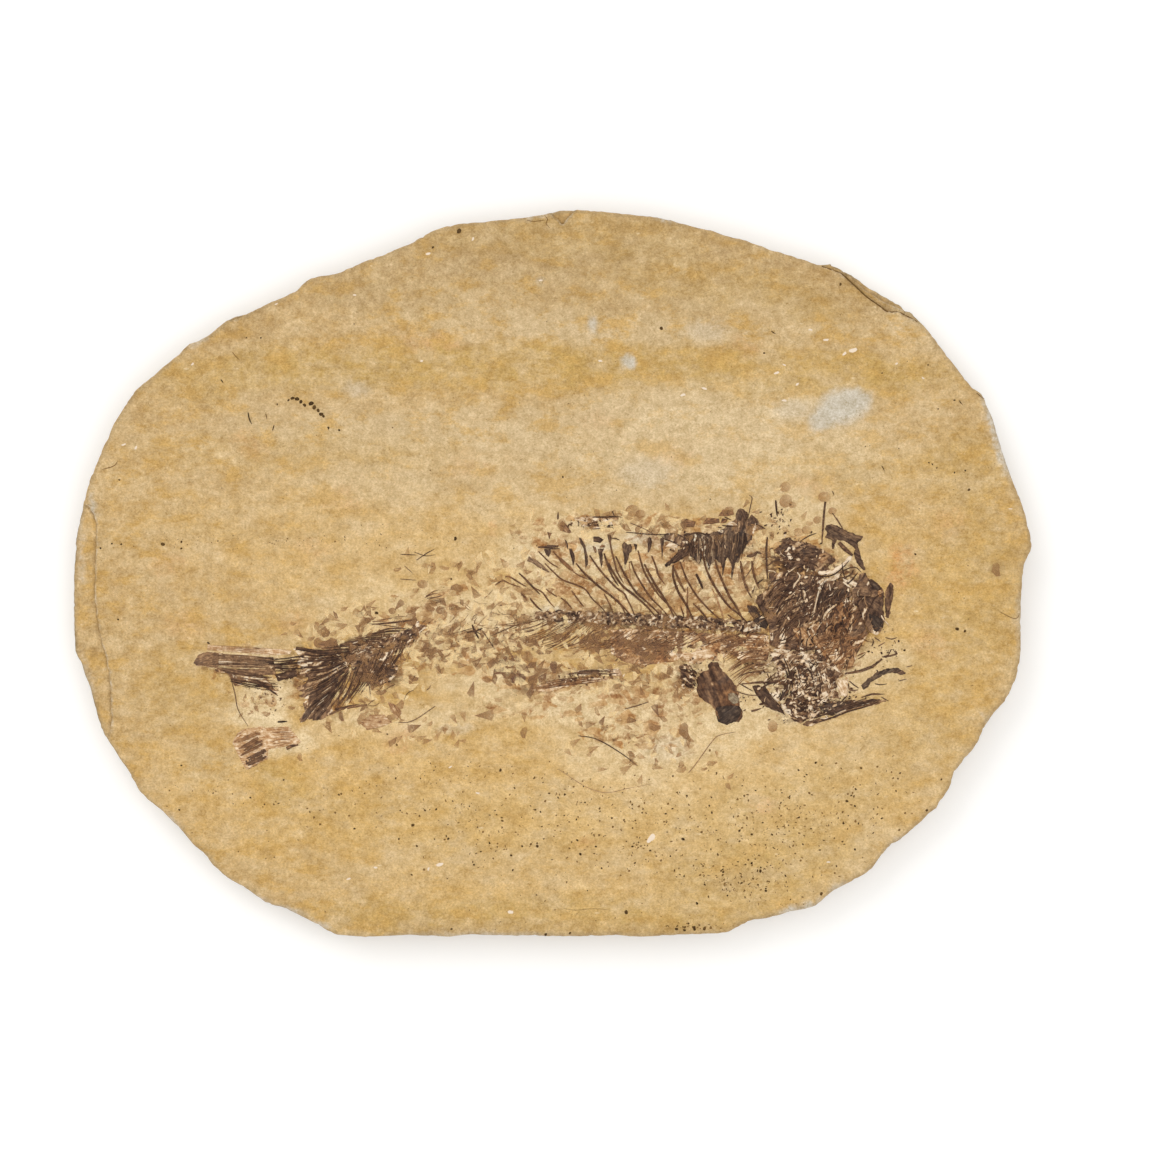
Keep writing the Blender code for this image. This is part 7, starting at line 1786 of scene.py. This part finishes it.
def scale_material():
    """Tan film: denser at the broken end, thinner and more see-through towards the other."""
    made, tree, shader, spot = new_material("scale_film", 0.3)
    mottle = grain_noise(tree, spot, 0.0008, 4.0, 0.7)
    tone = times(tree, mask_of(tree, "tone"), reach(tree, mottle, 0.3, 0.7, -0.12, 0.10), "ADD")
    tan = blend_colours(tree, reach(tree, tone, 0.2, 0.75), SCALE_BROWN, SCALE_TAN)
    cream = reach(tree, mask_of(tree, "tone"), 0.86, 0.94)
    fade = reach(tree, mask_of(tree, "across"), -0.9, 0.95, 1.0, 0.35)
    dense = times(tree, reach(tree, tone, 0.25, 0.75, 0.92, 0.24), times(tree, cream, 0.5), "ADD")
    feed(tree, shader, {
        "Base Color": blend_colours(tree, cream, tan, SCALE_CREAM),
        "Alpha": times(tree, times(tree, fade, dense), reach(tree, mottle, 0.34, 0.56, 0.4, 1.0)),
        "Roughness": reach(tree, mottle, 0.3, 0.7, 0.5, 0.75),
        "Normal": bump_of(tree, 0.3, 0.0001, mottle)})
    return made


# The height of a scale's lens, in millimetres
SCALE_CROWN = 0.00005 / MM
SCALE_KIT = kit_of("scale_kit", {name: flake_mesh(name, outline, SCALE_CROWN)
                                 for name, outline in SCALE_SHAPES.items()})
scale_films = grow("scales", point_mesh("scale_points", scales), STREWN, {
    "Kit": SCALE_KIT, "Material": scale_material(), "Wobble": 0.0003, "Wobble Size": 0.0009})
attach(scale_films, "root")


# The crumbs: splinters of bone and of pale stone, pressed together where the throat, jaws and backbone were
# crushed. Each is a small angular chip stuck in the surface.

# The outlines of the chips, and the height of a chip's middle, as shares of its half length
CRUMB_CROWN = 0.3
CRUMB_SHAPES = {
    "splinter": [(-1.0, 0.05), (-0.4, 0.3), (0.5, 0.26), (1.0, -0.05), (0.3, -0.3), (-0.5, -0.22)],
    "block": [(-0.8, -0.3), (-0.6, 0.5), (0.1, 0.75), (0.8, 0.3), (0.6, -0.6), (-0.2, -0.7)],
    "corner": [(-0.9, -0.4), (0.0, 0.8), (0.9, 0.1), (0.5, -0.5)],
}

# Where crumbs lie: middle x, y, half width, half height, turn in degrees, how many, half length from and to,
# darkest tone, palest dark tone, share of cream crumbs, and the way that they point in degrees
CRUMB_FIELDS = [
    (63, -27, 9, 7.5, 0, 250, 0.3, 0.9, 0.2, 0.5, 0.4, 30),
    (22, -11.9, 27, 1.6, -2.5, 430, 0.14, 0.34, 0.3, 0.7, 0.28, 40),
    (64, -8, 11, 11, 0, 240, 0.25, 0.8, 0.1, 0.45, 0.22, 50),
    (66, -34, 9, 2.6, 12, 170, 0.2, 0.6, 0.08, 0.4, 0.34, 15),
    (36, 6.5, 9, 3, 10, 60, 0.25, 0.6, 0.2, 0.5, 0.15, 70),
    (34, -26, 2.6, 4, -20, 70, 0.25, 0.65, 0.08, 0.4, 0.35, -40),
    (83, -19, 4, 5, 0, 26, 0.2, 0.5, 0.1, 0.35, 0, 20),
    (-42, -18, 10, 1.8, 26, 130, 0.2, 0.5, 0.1, 0.4, 0.35, 25),
    (56, 14, 4, 3, 0, 26, 0.2, 0.55, 0.1, 0.35, 0, 60),
    (34, -18, 20, 5, 3, 150, 0.2, 0.55, 0.2, 0.5, 0.12, 30),
    (-6, -16, 26, 8, 0, 150, 0.15, 0.4, 0.25, 0.55, 0.3, 0),
    (62, 4, 9, 5, -20, 90, 0.25, 0.7, 0.1, 0.4, 0.25, 30),
    (52, -22, 4, 8, 0, 60, 0.25, 0.7, 0.2, 0.5, 0.3, 70),
    (46, -31, 2.5, 3, 0, 30, 0.2, 0.6, 0.08, 0.35, 0.3, 40),
    (-66, -24, 4, 3, 0, 40, 0.2, 0.5, 0.08, 0.35, 0.1, 10),
    (-70, -30, 6, 5, 0, 60, 0.15, 0.4, 0.3, 0.55, 0, -30),
    (10, 12.5, 7, 1.6, 2, 50, 0.2, 0.6, 0.15, 0.45, 0.5, 5),
    (8, -26.4, 10, 1.4, 6, 50, 0.2, 0.7, 0.2, 0.5, 0.45, 8),
]

crumbs = []
for x, y, dice, (small, large, dark, pale, cream_share, heading) in scattered(CRUMB_FIELDS, 9):
    half = dice.uniform(small, large)
    tone = dice.uniform(0.84, 1.0) if dice.random() < cream_share else dice.uniform(dark, pale)
    turn = math.radians(heading) + dice.gauss(0.0, 0.7)
    crumbs.append((x, y, dice.uniform(-0.08, 0.12), (half, half * dice.uniform(0.4, 0.8), half),
                   (dice.uniform(-0.3, 0.3), dice.uniform(-0.3, 0.3), turn), dice.randrange(3), tone))
CRUMB_KIT = kit_of("crumb_kit", {name: flake_mesh(name, outline, CRUMB_CROWN)
                                 for name, outline in CRUMB_SHAPES.items()})
crumb_bones = grow("crumbs", point_mesh("crumb_points", crumbs), STREWN, {
    "Kit": CRUMB_KIT, "Material": BONE, "Wobble": 0.00015, "Wobble Size": 0.0006})
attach(crumb_bones, "root")


# The specks: crusts of black manganese ore that grew in the stone. They are flat blobs, most of them under a
# millimetre wide, a few large ones in a chain above the tail and the rest scattered thickest below the fish.

# Specks that stand out: x, y, half length in millimetres
PLACED_SPECKS = [
    (-23.3, 85.5, 0.7), (-29.9, 81.4, 0.35), (72, 72.2, 0.4), (27.2, 61.2, 0.5), (52.9, 55, 0.3),
    (-76.5, 58.8, 0.25), (-72.9, 58.8, 0.25), (2.6, 24, 0.3), (-24.3, 8.6, 0.5), (-25.3, -1.5, 0.3),
    (90.7, 4.7, 0.35), (88, -19.3, 0.35), (79, -19.6, 0.35), (101.2, -14, 0.55), (103.1, -14.5, 0.4),
    (104.1, 20.8, 0.4), (94.1, 27.6, 0.25), (95, 27.2, 0.25), (96.1, 26.3, 0.25), (103.2, 25.6, 0.25),
    (100.5, 25.1, 0.25), (-97.4, 7.2, 0.55), (-92.8, 7.8, 0.35), (-92.8, 6.1, 0.3), (-107.8, 7.2, 0.3),
    (-113, 6.2, 0.3), (-108.3, 23.3, 0.3), (-108.6, -11.6, 0.3), (-44, -10, 0.5), (93.9, 52, 0.25),
    (82.4, 50, 0.25), (96.4, 41, 0.25), (100.5, 43.2, 0.3), (-34.9, -63, 0.45), (-38.4, -66.5, 0.3),
    (-49.5, -63.9, 0.3), (-13, -49.3, 0.45), (-9.5, -53.7, 0.3), (-3.8, -68.3, 0.4), (-7.6, -68.3, 0.3),
    (-17.9, -69.6, 0.3), (-3, -59.7, 0.3), (-39.2, -51.3, 0.3), (-53.4, -55.4, 0.3), (-35.2, -75.4, 0.3),
    (8.1, -57.4, 0.3), (6.2, -66.8, 0.3), (7, -70.3, 0.4), (12.3, -73.8, 0.3), (20.6, -72.5, 0.3),
    (18.4, -84.8, 0.6), (36.1, -82.6, 0.4), (52, -74.5, 0.45), (32.6, -66.5, 0.5), (33.6, -55.7, 0.3),
    (39.7, -56.1, 0.3), (39.2, -58.2, 0.3), (41, -50, 0.3), (30, -58.9, 0.3), (28.3, -60.2, 0.3),
    (61.5, -49.3, 0.3), (63.5, -50.4, 0.3), (73.6, -57, 0.4), (75.6, -58.3, 0.3), (74.7, -55.6, 0.3),
    (75.6, -69.1, 0.3), (67.2, -80.2, 0.5), (93.6, -59.3, 0.4), (97.2, -51.6, 0.3), (86.9, -50, 0.3),
    (-93.3, -59.2, 0.3), (-75.5, -56.2, 0.3), (-67.2, -51.7, 0.3), (-25.2, -89, 0.35), (4.4, -90, 0.4),
    (-1.7, -90.4, 0.4), (-65, 43.7, 0.55), (-63.9, 43.5, 0.6), (-62.9, 42.8, 0.5), (-62, 42, 0.5),
    (-60.4, 42.4, 0.7), (-59.6, 41.4, 0.6), (-58.6, 40.6, 0.5), (-57.8, 39.7, 0.6), (-57.2, 39.2, 0.4),
    (-66, 43.2, 0.35), (-68.8, 42.2, 0.3), (-56, 36.3, 0.35), (-53.3, 35.7, 0.35), (-86, -17.5, 0.3),
    (31, -89, 0.5), (33, -89.3, 0.4), (35.4, -88.6, 0.45), (38, -88.9, 0.5), (34, -87.6, 0.3),
]

# Where they lie thickly: middle x, y, half width, half height, turn in degrees, how many, half length to
SPECK_FIELDS = [
    (10, -62, 76, 15, -3, 520, 0.34), (46, -77, 12, 4, -6, 120, 0.36), (58, -62, 34, 13, 8, 260, 0.36),
    (-62, 8, 46, 1.6, 0, 60, 0.26), (34, -88.4, 7, 1.4, 0, 26, 0.4), (-78, -56, 17, 2, -8, 30, 0.26),
    (92, 4, 16, 30, 0, 50, 0.2), (-20, -50, 50, 6, 0, 70, 0.22), (0, -6, 60, 20, 0, 90, 0.18),
    (0, 30, 90, 36, 0, 90, 0.2), (21.5, -68, 2, 1, 0, 12, 0.3), (14, -86, 60, 5, 0, 60, 0.24),
]


def near_slab_edge(x, y):
    return Vector((x, y)).length > side_place(turn_of(x, y), WHOLE_OUTLINE_HEIGHT).length - 1.0


def crust_material(name, dark, pale, roughness):
    """A crust of mineral: two close tones, mottled."""
    made, tree, shader, spot = new_material(name, 0.1)
    mottle = grain_noise(tree, spot, 0.0005, 3.0)
    share = times(tree, mottle, mask_of(tree, "tone"), "ADD")
    feed(tree, shader, {"Base Color": blend_colours(tree, reach(tree, share, 0.4, 1.4), dark, pale),
                        "Roughness": reach(tree, mottle, 0.3, 0.7, roughness, roughness + 0.2)})
    return made


# The outlines of round and long crusts, and the height of their middle, as shares of their half length
CRUST_TURNS = [index * math.tau / 7 for index in range(7)]
ROUND_CRUST = [(math.cos(turn) * (1.0 + 0.2 * (index % 2)), math.sin(turn))
               for index, turn in enumerate(CRUST_TURNS)]
LONG_CRUST = [(x, y * 0.55) for x, y in ROUND_CRUST]
CRUST_CROWN = 0.15
CRUST_KIT = kit_of("crust_kit", {"long_crust": flake_mesh("long_crust", LONG_CRUST, CRUST_CROWN),
                                 "round_crust": flake_mesh("round_crust", ROUND_CRUST, CRUST_CROWN)})
MANGANESE = crust_material("manganese_crust", linear(50, 36, 20), linear(130, 98, 56), 0.7)
# How far a speck may be turned, in radians
FULL_TURN = 6.3
dice = random.Random(21)
specks = []
for x, y, half in PLACED_SPECKS:
    turn = (0.0, 0.0, dice.uniform(0, FULL_TURN))
    specks.append((x, y, 0.0, (half, half * 0.8, half * 0.6), turn, 1, dice.uniform(0, 0.3)))
for x, y, own, (largest,) in scattered(SPECK_FIELDS, 22):
    if not near_slab_edge(x, y):
        half = largest * own.uniform(0.35, 1.0)
        size = (half, half * own.uniform(0.5, 1.0), half * 0.5)
        turn = (0.0, 0.0, own.uniform(0, FULL_TURN))
        specks.append((x, y, 0.0, size, turn, own.randrange(2), own.uniform(0, 1.0)))
ore = grow("manganese_specks", point_mesh("speck_points", specks), STREWN, {
    "Kit": CRUST_KIT, "Material": MANGANESE, "Wobble": 0.00025, "Wobble Size": 0.0004})
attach(ore, "root")


# The hairlines: cracks in the stone that the same ore has filled, and short strokes of it. They are thin as a
# thread and lie level with the stone.

# Width, tone and line of each
HAIRLINES = [
    (0.3, 0, [(-82.9, 48.4), (-82.6, 48), (-82.3, 47.5)]),
    (0.35, 0, [(-76.1, 40.1), (-75.8, 38.6), (-75.2, 37.2)]),
    (0.25, 0.6, [(-71.7, 39.8), (-71.5, 39.1), (-71.4, 38.4)]),
    (0.35, 0.1, [(-69.6, 36.9), (-69.8, 36.3), (-70, 35.6)]),
    (0.2, 0.9, [(-80, 55.2), (-79.2, 54.2), (-78.2, 53.2)]),
    (0.2, 0.9, [(-112.5, 25.9), (-109.6, 26.8), (-108.7, 28)]),
    (0.4, 0.6, [(67.4, 76.6), (71.9, 75), (75.4, 72), (78.4, 69.2), (81.9, 66.7), (83.9, 65.3), (86.9, 65.2),
        (91.4, 62.8)]),
    (0.2, 0.6, [(106, 45), (107, 44.2), (108, 43.5)]), (0.18, 0.8, [(112, -9.8), (115.6, -11.4), (117, -10)]),
    (0.1, 0.9, [(2.8, -83.9), (6, -84.3), (10, -83.9), (14, -84.2)]),
    (0.3, 0.2, [(54.7, 60.5), (55.2, 60.1), (55.8, 59.8)]),
    (0.3, 0.2, [(101.7, 43.1), (102, 42.6), (102.5, 42.1)]),
    (0.25, 0.3, [(82.3, 26.8), (82.8, 26), (83, 25.4)]),
    (0.25, 0.3, [(69.9, 20.5), (70.2, 20), (70.4, 19.4)]),
    (0.18, 0.7, [(-2, 89.4), (-1.2, 88.4), (-1.6, 87.4), (-0.6, 86.2)]),
    (0.16, 0.8, [(-6.4, 88.2), (-4.4, 87.9), (-1.6, 88.3)]),
]
veins = [(width, tone, 0.0, line) for width, tone, line in HAIRLINES]
vein_threads = grow("hairline_veins", line_mesh("vein_lines", veins), SLIVERS,
                    {"Sides": 5, "Material": MANGANESE})
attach(vein_threads, "root")


# The calcite flecks: chips of white crystal in the stone, one to three millimetres long. They are level with
# its face, most of them near the pale patch and along the rim.

# Each fleck: x, y, half length in millimetres and turn in degrees
CALCITE_FLECKS = [
    (75, 55.6, 1.3, 12), (73, 54.8, 0.6, 40), (64.5, 60.8, 0.5, 0), (86, 52.4, 0.5, 30),
    (92.7, 48.7, 0.5, -40), (-31.2, 79.8, 0.7, 10), (-19.9, 83.5, 0.5, 60), (-49.4, 69.5, 0.5, 0),
    (-3, 73.2, 0.5, 0), (-32.7, 53, 0.5, 20), (-90, 52.3, 0.5, 50), (-69, 67.3, 0.5, 20),
    (-44.3, -73.6, 0.5, 0), (-51, -76.5, 0.6, 30), (-28, -72.9, 1, 10), (-31, -74, 0.5, 70),
    (-18.6, -55, 0.5, 0), (-25.5, -48.5, 0.5, 30), (69, -72.3, 0.5, 0), (114.6, 16, 0.6, 0),
    (24.8, -66.2, 1.6, 45), (32.8, 44.6, 0.8, 20), (38, 46.1, 0.7, -10), (68.4, 58.3, 0.7, 0),
    (61.3, 47.2, 0.6, 40), (58, 43.1, 0.6, 0), (-104.2, 31.3, 0.6, 70), (-107.2, 32.1, 0.6, 20),
    (-10.5, -84.8, 0.9, 0), (12, 53, 0.6, 0), (56, 50, 0.7, 20), (58, 52, 0.5, -20),
]

CALCITE = crust_material("calcite", linear(226, 204, 178), linear(238, 222, 202), 0.6)
flecks = []
for x, y, half, turn in CALCITE_FLECKS:
    flecks.append((x, y, 0.0, (half, half * 0.45, 0.15), (0.0, 0.0, math.radians(turn)), 1, 0.5))
calcite = grow("calcite_flecks", point_mesh("fleck_points", flecks), STREWN, {
    "Kit": CRUST_KIT, "Material": CALCITE, "Wobble": 0.0006, "Wobble Size": 0.0007})
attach(calcite, "root")


# The table and the light: the slab lies on a plain white table under a soft overhead light, and the camera
# looks straight down on it with a long lens.

# What the photograph's frame shows, its width and middle in millimetres; lens and sensor in millimetres
FRAME_WIDTH = 288.5
FRAME_MIDDLE = (6.125, -1.0)
LENS = 90.0
SENSOR = 36.0
# Half the table's width, and how far it lies under the slab, in metres
TABLE_HALF = 3
TABLE_GAP = 0.0002

table_mesh = bpy.data.meshes.new("table")
table_mesh.from_pydata([(x * TABLE_HALF, y * TABLE_HALF, 0) for x, y in ((-1, -1), (1, -1), (1, 1), (-1, 1))],
                       [], [(0, 1, 2, 3)])
table = add_piece("table", table_mesh)
white, tree, shader, spot = new_material("white_table", 0.5)
dust = grain_noise(tree, spot, 0.4)
whites = (0.93, 0.93, 0.93, 1.0), (0.955, 0.955, 0.95, 1.0)
feed(tree, shader, {"Base Color": blend_colours(tree, dust, *whites), "Roughness": 0.8})
table_mesh.materials.append(white)
table.location.z = -TABLE_GAP

camera_data = bpy.data.cameras.new("camera")
camera_data.lens = LENS
camera_data.sensor_width = SENSOR
camera_data.clip_start = 0.01
camera = bpy.data.objects.new("camera", camera_data)
distance = FRAME_WIDTH * MM * LENS / SENSOR
camera.location = (FRAME_MIDDLE[0] * MM, FRAME_MIDDLE[1] * MM, FACE_HEIGHT * MM + distance)
bpy.context.scene.collection.objects.link(camera)
bpy.context.scene.camera = camera

ROOM_COLOUR = (1.0, 0.99, 0.97, 1.0)
ROOM_STRENGTH = 0.78
world = bpy.data.worlds.new("room")
world.use_nodes = True
feed(world.node_tree, world.node_tree.nodes["Background"],
     {"Color": ROOM_COLOUR, "Strength": ROOM_STRENGTH * LIGHT_GAIN})
bpy.context.scene.world = world


def area_light(name, place, width, power, colour):
    data = bpy.data.lights.new(name, "AREA")
    data.shape = "SQUARE"
    data.size = width
    data.energy = power * LIGHT_GAIN
    data.color = colour
    lamp = bpy.data.objects.new(name, data)
    lamp.location = place
    lamp.rotation_euler = (-Vector(place)).to_track_quat("-Z", "Y").to_euler()
    bpy.context.scene.collection.objects.link(lamp)


area_light("window", (-0.8, 0.9, 1.2), 1.1, 6.4, (1.0, 0.985, 0.96))
area_light("ceiling", (0.4, -0.2, 1.9), 1.8, 10.0, (1.0, 1.0, 1.0))
bpy.context.scene.view_settings.view_transform = "Standard"
bpy.context.scene.view_settings.look = "None"
